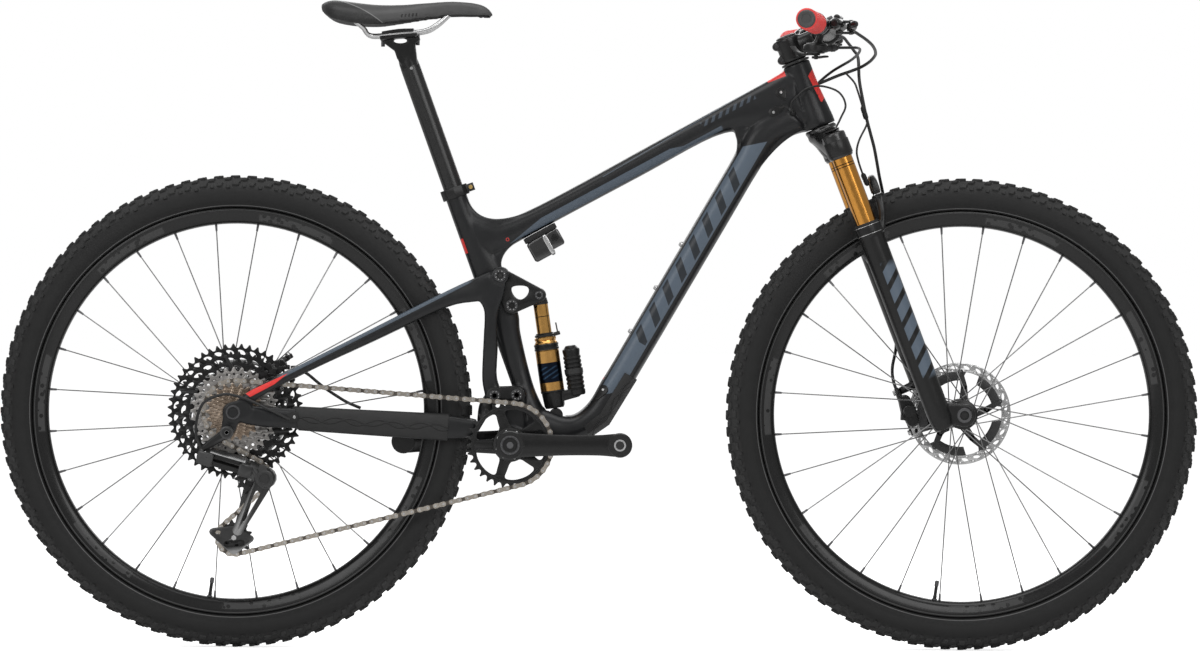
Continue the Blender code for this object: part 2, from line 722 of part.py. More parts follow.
def suspension_battery():
    """The battery and controller box strapped under the top tube."""
    rear, front = TOP_TUBE_UNDERSIDE
    run = (front - rear).normalized()
    down = -run.cross(Y) if run.cross(Y).z > 0 else run.cross(Y)
    seat = rear + run * BATTERY_AHEAD + down * GAP
    length, width, depth, plate_depth = BATTERY_SIZE

    def slab(ahead, low, high, long, wide):
        """A block of the box between two depths below the tube."""
        return block(seat + run * ahead + down * (low + high) / 2, (long, wide, high - low), run)

    node = Node(
        "suspension_battery", slab(length / 2, 0.0, plate_depth + 0.001, length, width * 0.85),
        "black_plastic", seat + run * length / 2,
    )
    node.join(
        slab(length / 2, plate_depth, depth, length, width),
        slab(length * 0.55, plate_depth, depth + 0.0022, 0.0085, width + 0.0024),
    )
    node.cut(slab(length * 0.22, plate_depth + 0.004, depth * 0.62, length * 0.30, width + 0.01))


# --- Swingarm -------------------------------------------------------------------------------
def swing_ring(top, bottom, middle, half_width, side, power=2.6):
    """One ring of a stay on this side, at its distance from the middle of the bike."""
    return oval(top, bottom, half_width, y=side * middle, power=power, points=STAY_POINTS)


DROPOUT_INNER = REAR_HUB_WIDTH / 2 + GAP
DROPOUT_THICKNESS = 0.0095


def chainstay_rings(side, grow=0.0):
    """Rings of one chainstay from the dropout to the yoke."""
    low_top, low_bottom = REAR.at(0.0962, 0.0065), REAR.at(0.1000, -0.0253)
    high_top, high_bottom = BRACKET.at(-0.0950, 0.0445), BRACKET.at(-0.0980, 0.0078)
    stations = [
        (REAR.at(0.010, 0.0130), REAR.at(0.010, -0.0160), 0.0785, 0.0042),
        (REAR.at(0.040, 0.0100), REAR.at(0.045, -0.0225), 0.0755, 0.0065),
        (low_top, low_bottom, 0.0660, 0.0075),
        (low_top.lerp(high_top, 0.45), low_bottom.lerp(high_bottom, 0.45), 0.0500, 0.0090),
        (low_top.lerp(high_top, 0.80), low_bottom.lerp(high_bottom, 0.80), 0.0425, 0.0085),
        (high_top, high_bottom, 0.0395, 0.0070),
        (BRACKET.at(-0.0540, 0.0370), BRACKET.at(-0.0560, 0.0120), 0.0385, 0.0065),
    ]
    rings = []
    for top, bottom, middle, half_width in stations:
        stretch = (top - bottom).normalized() * grow
        rings.append(
            swing_ring(top + stretch, bottom - stretch, middle, half_width + grow, side, 3.0)
        )
    return rings


def seatstay(side):
    """One seatstay from the dropout to the upper pivot."""
    low_top, low_bottom = REAR.at(0.0959, 0.0705), REAR.at(0.1071, 0.0595)
    high_top, high_bottom = BRACKET.at(-0.1072, 0.2347), BRACKET.at(-0.1000, 0.2122)
    upper = (UPRIGHT_INNER + UPRIGHT_OUTER) / 2
    stations = [
        (REAR.at(0.0020, 0.0150), REAR.at(0.0180, -0.0020), 0.0790, 0.0040),
        (REAR.at(0.0250, 0.0330), REAR.at(0.0400, 0.0220), 0.0770, 0.0050),
        (low_top, low_bottom, 0.0660, 0.0065),
        (low_top.lerp(high_top, 0.50), low_bottom.lerp(high_bottom, 0.50), 0.0470, 0.0070),
        (high_top, high_bottom, 0.0380, 0.0070),
        (BRACKET.at(-0.0571, 0.2586), BRACKET.at(-0.0420, 0.2240), upper, 0.0058),
        (BRACKET.at(-0.0250, 0.2725), BRACKET.at(-0.0120, 0.2480), upper, 0.0052),
    ]
    return loft([swing_ring(*station, side) for station in stations])


def upright(side):
    """The column between the two pivots."""
    upper = (UPRIGHT_INNER + UPRIGHT_OUTER) / 2
    stations = [
        (BRACKET.at(-0.0050, 0.2600), BRACKET.at(-0.0300, 0.2540), upper, 0.0050),
        (BRACKET.at(-0.0120, 0.2300), BRACKET.at(-0.0500, 0.2280), upper, 0.0055),
        (BRACKET.at(-0.0210, 0.2000), BRACKET.at(-0.0417, 0.2050), upper, 0.0055),
        (BRACKET.at(-0.0212, 0.1500), BRACKET.at(-0.0435, 0.1500), upper - 0.002, 0.0055),
        (BRACKET.at(-0.0225, 0.1050), BRACKET.at(-0.0450, 0.1020), 0.0240, 0.0060),
        (BRACKET.at(-0.0140, 0.0790), BRACKET.at(-0.0400, 0.0740), 0.0220, 0.0075),
    ]
    return loft([swing_ring(*station, side, 3.0) for station in stations])


def dropout(side):
    """The flat dropout round the axle; the right one runs down to the derailleur hanger."""
    rounds = [(REAR.origin, 0.0165), (REAR.at(0.014, 0.004), 0.0155)]
    inner = side * DROPOUT_INNER
    outer = side * (DROPOUT_INNER + DROPOUT_THICKNESS)
    shape = plate([belt(rounds)], min(inner, outer), max(inner, outer))
    return shape


HANGER = REAR.at(-0.0089, -0.0310)
HANGER_OUTER = DROPOUT_INNER + 0.0080


def swingarm():
    """Seatstays, chainstays, uprights and dropouts joined by the yoke in front of the tyre."""
    node = Node("swingarm", loft(chainstay_rings(-1)), "carbon", LOWER_SWING)
    node.join(loft(chainstay_rings(1)))
    pin = PIVOT_PIN_RADIUS
    for side in (-1, 1):
        upper_lug = cross_rod(
            UPPER_SWING, side * UPRIGHT_INNER, side * (UPRIGHT_OUTER + 0.001), UPPER_LINK_RADIUS + 0.001,
        )
        node.join(seatstay(side), upright(side), upper_lug, dropout(side))
    node.join(*stay_posts())
    half = LOWER_LUG_HALF_WIDTH
    yoke = [
        swing_ring(BRACKET.at(-0.0380, 0.0400), BRACKET.at(-0.0530, 0.0150), 0.0, 0.040, 1, 4.0),
        swing_ring(BRACKET.at(-0.0180, 0.0680), BRACKET.at(-0.0500, 0.0600), 0.0, half - 0.001, 1, 4.0),
        swing_ring(BRACKET.at(-0.0160, 0.0800), BRACKET.at(-0.0340, 0.0840), 0.0, half - 0.001, 1, 4.0),
    ]
    node.join(
        loft(yoke),
        cross_rod(LOWER_SWING, -half, half, LOWER_LINK_RADIUS - 0.0005),
        plate(
            [belt([(HANGER, 0.0100), (REAR.origin, 0.0150)], 12)], -HANGER_OUTER, -DROPOUT_INNER - 0.0002,
        ),
    )
    reach = DROPOUT_INNER + DROPOUT_THICKNESS + 0.010
    node.cut(
        cross_rod(REAR.origin, -reach, reach, clear(AXLE_RADIUS)),
        cross_rod(LOWER_SWING, -0.040, 0.040, clear(pin, 10, OPEN_PIVOT_PLAY), steps=10),
        cross_rod(UPPER_SWING, -0.060, 0.060, clear(pin, 8), steps=8),
        cross_rod(HANGER, -reach, -DROPOUT_INNER + 0.004, clear(0.0040, 8), steps=8),
    )


def chainstay_guard():
    """A rubber sleeve over the right chainstay."""
    node = Node("chainstay_guard", loft(chainstay_rings(-1, 0.0026)[2:6]), "rubber", LOWER_SWING)
    node.cut(loft(chainstay_rings(-1, GAP + 0.0004)))


def rear_axle():
    """The through axle of the rear wheel with its head on the left."""
    reach = DROPOUT_INNER + DROPOUT_THICKNESS
    node = Node(
        "rear_axle", cross_rod(REAR.origin, -reach + 0.001, reach + 0.001, AXLE_RADIUS, steps=10),
        "black_metal", REAR.origin,
    )
    node.join(cross_rod(REAR.origin, reach + GAP, reach + 0.005, 0.0095))
    node.cut(cross_rod(REAR.origin, reach - 0.002, reach + 0.008, 0.0032, steps=6))


# --- Suspension links and shock -------------------------------------------------------------
def upper_link():
    """Two triangular plates with a web between them and the pins of its pivots."""
    rounds = [
        (UPPER_FRAME, UPPER_LINK_RADIUS), (UPPER_SWING, UPPER_LINK_RADIUS - 0.001), (SHOCK_TOP, 0.0102),
    ]
    window = [
        UPPER_FRAME.lerp(UPPER_SWING, 0.64).lerp(SHOCK_TOP, 0.16),
        UPPER_FRAME.lerp(UPPER_SWING, 0.42).lerp(SHOCK_TOP, 0.22),
        UPPER_FRAME.lerp(UPPER_SWING, 0.33).lerp(SHOCK_TOP, 0.38),
        UPPER_FRAME.lerp(UPPER_SWING, 0.30).lerp(SHOCK_TOP, 0.62),
        UPPER_FRAME.lerp(UPPER_SWING, 0.40).lerp(SHOCK_TOP, 0.68),
    ]
    outline = [belt(rounds, 14), flat(window)]
    node = Node(
        "upper_link", plate(outline, -UPPER_LINK_OUTER, -UPPER_LINK_INNER), "black_metal", UPPER_FRAME,
    )
    web = UPPER_FRAME.lerp(SHOCK_TOP, 0.58)
    web_run = (SHOCK_TOP - UPPER_FRAME).normalized()
    pin = PIVOT_PIN_RADIUS
    node.join(
        block(web, (0.0045, 2 * UPPER_LINK_INNER + 0.004, 0.0150), web_run),
        plate(outline, UPPER_LINK_INNER, UPPER_LINK_OUTER),
        cross_rod(UPPER_FRAME, -UPPER_LINK_INNER - 0.002, UPPER_LINK_INNER + 0.002, pin, steps=8),
        cross_rod(SHOCK_TOP, -UPPER_LINK_INNER - 0.002, UPPER_LINK_INNER + 0.002, pin - 0.0005,
                  steps=8),
    )
    for side in (-1, 1):
        cap = UPPER_LINK_OUTER
        node.join(
            cross_rod(UPPER_FRAME, side * (cap - 0.002), side * (cap + 0.0007), 0.0098, steps=10),
            cross_rod(SHOCK_TOP, side * (cap - 0.002), side * (cap + 0.0007), 0.0068, steps=8),
            cross_rod(UPPER_SWING, side * (cap - 0.004), side * (UPRIGHT_OUTER + 0.0015), pin, steps=8),
        )


def lower_link():
    """The short link under the chain, with a pin at each end."""
    rounds = [(LOWER_FRAME, LOWER_LINK_RADIUS), (LOWER_SWING, LOWER_LINK_RADIUS)]
    inner, outer = LOWER_LINK_INNER, LOWER_LINK_OUTER
    node = Node("lower_link", plate([belt(rounds, 12)], -outer, -inner), "black_metal", LOWER_FRAME)
    pin = PIVOT_PIN_RADIUS
    middle = LOWER_FRAME.lerp(LOWER_SWING, 0.5)
    node.join(
        block(middle + Z * 0.002, (0.0036, 2 * inner + 0.004, 0.0160)),
        plate([belt(rounds, 12)], inner, outer),
        cross_rod(LOWER_FRAME, -inner - 0.002, inner + 0.002, pin, steps=8),
        cross_rod(LOWER_SWING, -inner - 0.002, inner + 0.002, pin, steps=8),
    )
    for side in (-1, 1):
        for place in (LOWER_FRAME, LOWER_SWING):
            node.join(cross_rod(place, side * (outer - 0.002), side * (outer + 0.0020), 0.0092, steps=10))


SHOCK = Datum(SHOCK_BASE, SHOCK_TOP - SHOCK_BASE, (SHOCK_TOP - SHOCK_BASE).cross(Y) * -1.0)
SHOCK_LENGTH = (SHOCK_TOP - SHOCK_BASE).length
SHOCK_CAN_TOP = 0.1130
SHAFT_BOTTOM = 0.0700


def shock_can():
    """The air can with its lower eye, the collar on top and the reservoir in front."""
    ahead = 1.0 if SHOCK.second.x > 0 else -1.0
    can = turned(
        [
            (0.0120, 0.0), (0.0120, 0.0150), (0.0340, 0.0168), (0.0350, SHOCK_CAN_RADIUS),
            (0.0960, SHOCK_CAN_RADIUS), (0.0980, 0.0160), (0.1040, 0.0160), (0.1050, 0.0174),
            (SHOCK_CAN_TOP, 0.0174), (SHOCK_CAN_TOP, 0.0),
        ],
        SHOCK.origin, SHOCK.first,
    )
    node = Node("shock_can", can, "bronze", SHOCK_BASE)
    half_eye = SHOCK_EYE_WIDTH / 2
    low, high = SHOCK.at(0.0260, ahead * 0.0370), SHOCK.at(0.0990, ahead * 0.0370)
    node.join(
        hull(
            cross_rod(SHOCK_BASE, -half_eye, half_eye, 0.0108),
            cross_rod(SHOCK.at(0.0130, 0.0), -half_eye + 0.001, half_eye - 0.001, 0.0070, steps=8),
        ),
        hull(
            rod(SHOCK.at(0.0230, 0.0), SHOCK.at(0.0300, 0.0), 0.0110, steps=8),
            rod(low, SHOCK.at(0.0320, ahead * 0.0370), 0.0095, steps=8),
        ),
        rod(low, high, 0.0138),
        rod(high - SHOCK.first * 0.001, high + SHOCK.first * 0.0060, 0.0085, 0.0050, steps=8),
    )
    node.cut(
        cross_rod(SHOCK_BASE, -half_eye - 0.002, half_eye + 0.002, clear(PIVOT_PIN_RADIUS, 8), steps=8),
        rod(SHOCK.at(SHAFT_BOTTOM - SHOCK_STROKE - 0.0025, 0.0), SHOCK.at(SHOCK_CAN_TOP + 0.002, 0.0),
            clear(SHOCK_SHAFT_RADIUS)),
    )


def shock_shaft():
    """The shaft that slides into the can, with the upper eye."""
    node = Node(
        "shock_shaft",
        rod(SHOCK.at(SHAFT_BOTTOM, 0.0), SHOCK.at(SHOCK_LENGTH - 0.0120, 0.0), SHOCK_SHAFT_RADIUS),
        "bronze", SHOCK_TOP,
    )
    half_eye = UPPER_LINK_INNER - 0.0010
    node.join(
        rod(SHOCK.at(SHOCK_LENGTH - 0.0135, 0.0), SHOCK.at(SHOCK_LENGTH - 0.0040, 0.0), 0.0120,
            0.0105),
        cross_rod(SHOCK_TOP, -half_eye, half_eye, 0.0108),
    )
    node.cut(cross_rod(SHOCK_TOP, -0.030, 0.030, PIVOT_PIN_RADIUS - 0.0005 + 0.0040))


# --- Wheels ---------------------------------------------------------------------------------
def tyre(name, datum):
    """A tyre with an open inner side, seated in the rim."""
    half = TYRE_WIDTH / 2
    bead = RIM_WIDTH / 2 - RIM_WALL - GAP
    inner_bead = bead - TYRE_WALL * 0.8
    tall = TYRE_RADIUS - RIM_RADIUS
    profile = [
        (half * 0.42, TYRE_RADIUS), (half * 0.95, TYRE_RADIUS - tall * 0.27), (half, RIM_RADIUS + tall * 0.49),
        (bead, RIM_RADIUS + 0.0010), (bead, RIM_RADIUS - 0.0045), (inner_bead, RIM_RADIUS - 0.0045),
        (half - TYRE_WALL * 2.4, TYRE_RADIUS - tall * 0.29),
    ]
    profile = [(-along, radius) for along, radius in reversed(profile)] + profile
    Node(name, turned(profile, datum.origin, steps=WHEEL_STEPS, closed=True), "rubber", datum.origin)


def rim(name, datum):
    """A deep rim with a bed between two flanges."""
    half = RIM_WIDTH / 2
    bed = RIM_RADIUS - 0.0045 - GAP
    side = [
        (half - RIM_WALL, bed), (half - RIM_WALL, RIM_RADIUS), (half, RIM_RADIUS),
        (0.0065, RIM_RADIUS - RIM_DEPTH),
    ]
    profile = side + [(-along, radius) for along, radius in reversed(side)]
    Node(name, turned(profile, datum.origin, steps=WHEEL_STEPS, closed=True), "black_metal", datum.origin)


FLANGE_HALF_THICKNESS = 0.0026
SPOKE_CROSSING = math.radians(51.4)


def spokes(datum, flanges, flange_radius):
    """All the spokes of a wheel: from two flanges to the rim, leading and trailing in turn."""
    lacing = bmesh.new()
    step = math.tau / SPOKES_PER_WHEEL
    reach = (RIM_RADIUS - RIM_DEPTH) * math.cos(math.pi / WHEEL_STEPS) - GAP * 2
    weave = FLANGE_HALF_THICKNESS - SPOKE_RADIUS - 0.0002
    for k in range(SPOKES_PER_WHEEL):
        sense = 1 if (k // 2) % 2 else -1
        rim_angle = step * (k + 0.5)
        hub_angle = rim_angle + sense * SPOKE_CROSSING
        start = datum.at(
            flange_radius * math.cos(hub_angle), flange_radius * math.sin(hub_angle),
            flanges[k % 2] + sense * weave,
        )
        end = datum.at(reach * math.cos(rim_angle), reach * math.sin(rim_angle), 0.0)
        mesh = bpy.data.meshes.new("spoke")
        spoke = rod(start, end, SPOKE_RADIUS, steps=3)
        spoke.to_mesh(mesh)
        spoke.free()
        lacing.from_mesh(mesh)
        bpy.data.meshes.remove(mesh)
    return lacing


def hub(name, datum, profile, flanges, flange_radius):
    """A hub shell with its laced spokes."""
    node = Node(name, turned(profile, datum.origin, steps=10), "black_metal", datum.origin)
    node.join(spokes(datum, flanges, flange_radius))
    first, last = profile[0][0], profile[-1][0]
    node.cut(cross_rod(datum.origin, first - 0.01, last + 0.01, clear(AXLE_RADIUS, 10), steps=10))


def flange(offset, radius):
    """The profile points of a hub flange."""
    half = FLANGE_HALF_THICKNESS
    return [(offset - half, radius), (offset + half, radius)]


FRONT_FLANGES = (-0.0345, 0.0255)
REAR_FLANGES = (-0.0195, 0.0330)
FLANGE_RADIUS = 0.0230


def front_hub():
    """The front hub, with the rotor seat on the left."""
    half = FRONT_HUB_WIDTH / 2
    seat = FRONT_ROTOR_OFFSET - ROTOR_THICKNESS / 2 - GAP
    right, left = FRONT_FLANGES
    profile = [
        (-half, 0.0), (-half, 0.0110), (right - 0.0040, 0.0125), *flange(right, FLANGE_RADIUS),
        (right + 0.0060, 0.0115), (left - 0.0060, 0.0115), *flange(left, FLANGE_RADIUS),
        (left + 0.0040, 0.0165), (seat, 0.0165), (seat, 0.0125), (half, 0.0115), (half, 0.0),
    ]
    hub("front_hub", FRONT, profile, FRONT_FLANGES, FLANGE_RADIUS - 0.0022)


def rear_hub():
    """The rear hub, with the freehub on the right and the rotor seat on the left."""
    half = REAR_HUB_WIDTH / 2
    seat = REAR_ROTOR_OFFSET - ROTOR_THICKNESS / 2 - GAP
    right, left = REAR_FLANGES
    profile = [
        (-half, 0.0), (-half, 0.0105), (-0.0680, FREEHUB_RADIUS), (right - 0.0050, FREEHUB_RADIUS),
        *flange(right, FLANGE_RADIUS), (right + 0.0060, 0.0140), (left - 0.0060, 0.0125),
        *flange(left, FLANGE_RADIUS), (left + 0.0040, 0.0165), (seat, 0.0165), (seat, 0.0125),
        (half, 0.0115), (half, 0.0),
    ]
    hub("rear_hub", REAR, profile, REAR_FLANGES, FLANGE_RADIUS - 0.0022)


def rotor(name, datum, offset):
    """A brake rotor: a ring on five bent arms round the lock ring."""
    arms = 5
    inner, outer = 0.0240, ROTOR_RADIUS - 0.0135
    outlines = [circle(datum.origin, ROTOR_RADIUS, 24), circle(datum.origin, clear(0.0125, 10), 10)]
    for k in range(arms):
        first = math.tau * k / arms
        window = []
        for radius, low, high in ((inner, 0.16, 0.72), (outer, 0.98, 0.10)):
            for share in (low, (low + high) / 2, high):
                angle = first + math.tau / arms * (share + (0.28 if radius == outer else 0.0))
                window.append(datum.at(radius * math.cos(angle), radius * math.sin(angle)))
        outlines.append(flat(window))
    half = ROTOR_THICKNESS / 2
    Node(name, plate(outlines, offset - half, offset + half), "steel", datum.origin)


# --- Drivetrain -----------------------------------------------------------------------------
def pitch_radius(teeth):
    """The radius on which the chain's pins lie."""
    return CHAIN_PITCH / (2 * math.sin(math.pi / teeth))


TOOTH_TIP = 0.0020
TOOTH_ROOT = 0.0040
PIN_HALF_HEIGHT = 0.0042
WAIST_HALF_HEIGHT = 0.0034


def toothed(centre, teeth, root_angle=0.0):
    """The outline of a sprocket with a root at this angle."""
    radius = pitch_radius(teeth)
    outline = []
    for k in range(2 * teeth):
        angle = root_angle + math.pi * k / teeth
        reach = radius + (TOOTH_TIP if k % 2 else -TOOTH_ROOT)
        outline.append((centre.x + reach * math.cos(angle), centre.z + reach * math.sin(angle)))
    return outline


def sprocket_offset(index):
    """How far a sprocket of the cassette lies from the middle; the right side is negative."""
    return -(SMALLEST_SPROCKET_OFFSET - CASSETTE_SPACING * index)


CHAIN_OFFSET = sprocket_offset(CHAIN_SPROCKET)
GUIDE_PULLEY = REAR.at(0.0285, -0.1008)
TENSION_PULLEY = REAR.at(0.0000, -0.1952)
CHAIN_WHEELS = (
    (BRACKET.origin, CHAINRING_TEETH, -CHAIN_LINE, 1),
    (TENSION_PULLEY, PULLEY_TEETH, CHAIN_OFFSET, 1),
    (GUIDE_PULLEY, PULLEY_TEETH, CHAIN_OFFSET, -1),
    (REAR.origin, CASSETTE_TEETH[CHAIN_SPROCKET], CHAIN_OFFSET, 1),
)


def chain_route():
    """Straight runs and wraps of the chain: (kind, length, point function) in order."""
    wheels = []
    for centre, teeth, offset, sense in CHAIN_WHEELS:
        wheels.append((Vector((centre.x, centre.z)), pitch_radius(teeth), offset, sense))
    headings = []
    for (a, ra, _, sa), (b, rb, _, sb) in zip(wheels, wheels[1:] + wheels[:1]):
        apart = b - a
        headings.append(math.atan2(apart.y, apart.x) - math.asin((sa * ra - sb * rb) / apart.length))
    pieces = []
    for k, (centre, radius, offset, sense) in enumerate(wheels):
        arriving, leaving = headings[k - 1], headings[k]
        turn = (arriving - leaving) % math.tau if sense > 0 else (leaving - arriving) % math.tau
        pieces.append(("wrap", turn * radius, (centre, radius, offset, sense, arriving)))
        target = wheels[(k + 1) % len(wheels)]
        normal = leaving + math.pi / 2
        out = Vector((math.cos(normal), math.sin(normal)))
        start = centre + out * sense * radius
        end = target[0] + out * target[3] * target[1]
        pieces.append(("run", (end - start).length, (start, end, offset, target[2], leaving)))
    return pieces


def chain_place(pieces, distance):
    """(point, direction away from the wheel side, heading) of the chain at this distance."""
    for kind, length, values in pieces:
        if distance <= length:
            break
        distance -= length
    if kind == "wrap":
        centre, radius, offset, sense, arriving = values
        heading = arriving - sense * distance / radius
        normal = heading + math.pi / 2
        out = Vector((math.cos(normal), math.sin(normal)))
        point = centre + out * sense * radius
        return Vector((point.x, offset, point.y)), Vector((out.x, 0.0, out.y))
    start, end, first, last, heading = values
    share = distance / length
    point = start.lerp(end, share)
    normal = heading + math.pi / 2
    out = Vector((math.cos(normal), 0.0, math.sin(normal)))
    return Vector((point.x, first + (last - first) * share, point.y)), out


CHAIN_PIECES = chain_route()
CHAIN_LINKS = 2 * round(sum(piece[1] for piece in CHAIN_PIECES) / CHAIN_PITCH / 2)
PIN_SPACING = sum(piece[1] for piece in CHAIN_PIECES) / CHAIN_LINKS


def root_angle(index):
    """The angle at which a chain wheel has a root: that of the pin nearest the wrap's middle."""
    before = sum(piece[1] for piece in CHAIN_PIECES[: 2 * index])
    middle = before + CHAIN_PIECES[2 * index][1] / 2
    pin = round(middle / PIN_SPACING) * PIN_SPACING
    point, _ = chain_place(CHAIN_PIECES, pin)
    centre = CHAIN_WHEELS[index][0]
    return math.atan2(point.z - centre.z, point.x - centre.x)


def chain():
    """The roller chain: tall at one pin, waisted at the next, and hollow where teeth enter it."""
    rings = []
    half = CHAIN_WIDTH / 2
    for k in range(CHAIN_LINKS):
        point, out = chain_place(CHAIN_PIECES, k * PIN_SPACING)
        tall = out * (WAIST_HALF_HEIGHT if k % 2 else PIN_HALF_HEIGHT)
        rings.append([point + tall + Y * half, point - tall + Y * half,
                      point - tall - Y * half, point + tall - Y * half])
    node = Node("chain", loft(rings, closed=True), "steel", REAR.origin)
    for centre, teeth, offset, _ in CHAIN_WHEELS:
        tip = clear(pitch_radius(teeth) + TOOTH_TIP, teeth)
        room = CHAINRING_THICKNESS / 2 + GAP
        profile = [(-room, tip - 0.0110), (-room, tip), (room, tip), (room, tip - 0.0110)]
        node.cut(turned(profile, Vector((centre.x, offset, centre.z)), steps=teeth, closed=True))


PLAIN_SPROCKETS = (3, 4, 5, 7, 8)


def cassette():
    """Twelve sprockets on a carrier, with windows through the two largest."""
    root = root_angle(3)
    bore = clear(FREEHUB_RADIUS, 8)
    core = bore + 0.0040
    half = SPROCKET_THICKNESS / 2
    last = len(CASSETTE_TEETH) - 1
    body = [
        (sprocket_offset(0) - half + 0.0002, bore), (sprocket_offset(0) - half + 0.0002, core),
        (sprocket_offset(6), core), (sprocket_offset(6), 0.0400), (sprocket_offset(last), 0.0400),
        (sprocket_offset(last), bore),
    ]
    node = Node("cassette", turned(body, REAR.origin, steps=8, closed=True), "steel", REAR.origin)
    for index, teeth in enumerate(CASSETTE_TEETH):
        offset = sprocket_offset(index)
        turn = root if index % 2 == 0 else root + math.pi / teeth
        inner = core - 0.0015 if index <= 6 else 0.0370
        outer = toothed(REAR.origin, teeth, turn)
        if index in PLAIN_SPROCKETS:
            outer = circle(REAR.origin, pitch_radius(teeth) + TOOTH_TIP / 2, teeth // 2)
        outlines = [outer, circle(REAR.origin, inner, 8)]
        node.join(plate(outlines, offset - half, offset + half))
    arms = 6
    for k in range(arms):
        first = math.tau * k / arms
        window = []
        for radius, share in ((0.0430, 0.12), (0.0830, 0.08), (0.0830, 0.60), (0.0430, 0.56)):
            angle = first + math.tau / arms * share
            window.append(REAR.at(radius * math.cos(angle), radius * math.sin(angle)))
        node.cut(plate([flat(window)], sprocket_offset(last - 1) - 0.0017, sprocket_offset(last) + 0.0030))


def chainring():
    """The chainring with its spider, on the right crank."""
    outlines = [toothed(BRACKET.origin, CHAINRING_TEETH, root_angle(0))]
    outlines.append(circle(BRACKET.origin, clear(SPINDLE_RADIUS), 12))
    arms = 5
    for k in range(arms):
        first = math.tau * (k + 0.5) / arms
        corners = [(0.0270, 0.20), (0.0540, 0.12), (0.0550, 0.50), (0.0540, 0.88), (0.0270, 0.80)]
        window = []
        for radius, share in corners:
            angle = first + math.tau / arms * share
            window.append(BRACKET.at(radius * math.cos(angle), radius * math.sin(angle)))
        outlines.append(flat(window))
    half = CHAINRING_THICKNESS / 2
    node = Node(
        "chainring", plate(outlines, -CHAIN_LINE - half, -CHAIN_LINE + half), "black_metal",
        BRACKET.origin,
    )
    inner = BOTTOM_BRACKET_WIDTH / 2 + 0.0030
    bore = clear(SPINDLE_RADIUS)
    ring = [(-CRANK_CLEARANCE + GAP, bore), (-CRANK_CLEARANCE + GAP, 0.0205), (-inner, 0.0190), (-inner, bore)]
    node.join(turned(ring, BRACKET.origin, closed=True))


def crank(name, side, direction):
    """A crank arm from the spindle to the pedal eye."""
    inner = CRANK_CLEARANCE
    stations = (
        (0.00, 0.0200, 0.0105, 0.0180), (0.18, 0.0185, 0.0120, 0.0170), (0.50, 0.0165, 0.0160, 0.0155),
        (0.80, 0.0165, 0.0185, 0.0150), (1.00, 0.0180, 0.0195, 0.0145),
    )
    rings = []
    for share, half_height, out, thick in stations:
        centre = BRACKET.at(direction * share * CRANK_LENGTH, 0.0005 * share)
        middle = side * (inner - 0.0010 + out)
        rings.append(oval(centre + Z * half_height, centre - Z * half_height, thick / 2, middle, 4.0, 8))
    node = Node(name, loft(rings), "black_metal", BRACKET.origin)
    eye = BRACKET.at(direction * CRANK_LENGTH, 0.0005)
    far = side * (inner + 0.0195 + 0.0080)
    near = side * (inner + 0.0195 - 0.0085)
    node.join(
        cross_rod(BRACKET.origin, side * inner, side * (inner + CRANK_THICKNESS + 0.0045), 0.0225,
                  steps=16),
        cross_rod(eye, near, far, PEDAL_EYE_RADIUS, steps=16),
    )
    node.cut(cross_rod(eye, side * 0.05, side * 0.10, PEDAL_THREAD_RADIUS, steps=8))
    cap = side * (inner + CRANK_THICKNESS + 0.0030)
    node.cut(turned(
        [(0.0, 0.0085), (0.0, 0.0135), (side * 0.02, 0.0135), (side * 0.02, 0.0085)],
        BRACKET.origin + Y * cap, steps=10, closed=True,
    ))
    if side < 0:
        node.cut(cross_rod(BRACKET.origin, -inner + 0.005, -inner - 0.014, clear(SPINDLE_RADIUS)))
    else:
        node.join(cross_rod(BRACKET.origin, inner + 0.005, -inner - 0.0135, SPINDLE_RADIUS))


# --- Rear derailleur ------------------------------------------------------------------------
LINK_RUN = Vector((0.96, 0.0, -0.28)).normalized()
SHIFT_RUN = (Y * 0.616 + Vector((-0.28, 0.0, -0.96)) * 0.788).normalized()
LINK_AXIS = LINK_RUN.cross(SHIFT_RUN)
LINK_LENGTH = 0.052
LINK_SPACING = 0.016
LINK_HALF_THICKNESS = 0.0068
LINK_PIN_RADIUS = 0.0020
LINK_ROOT = REAR.at(-0.034, -0.068, -0.0804)
CAGE_PIVOT = REAR.at(0.0499, -0.1017)


def link_place(along, shift, deep):
    """A place of the parallelogram: along its links, along the shift and along the pins."""
    return LINK_ROOT + LINK_RUN * along + SHIFT_RUN * shift + LINK_AXIS * deep


def link_pin(along, shift, low, high, radius, steps=SMALL_STEPS):
    """A cylinder along the pins' direction."""
    return rod(link_place(along, shift, low), link_place(along, shift, high), radius, steps=steps)


def derailleur_link(name, shift):
    """One of the two parallel links."""
    half = LINK_HALF_THICKNESS
    shape = hull(
        link_pin(0.0, shift, -half, half, 0.0050, 8), link_pin(LINK_LENGTH, shift, -half, half, 0.0050, 8)
    )
    node = Node(name, shape, "black_metal", link_place(0.0, shift, 0.0))
    for along in (0.0, LINK_LENGTH):
        node.cut(link_pin(along, shift, -0.02, 0.02, clear(LINK_PIN_RADIUS, 6), 6))


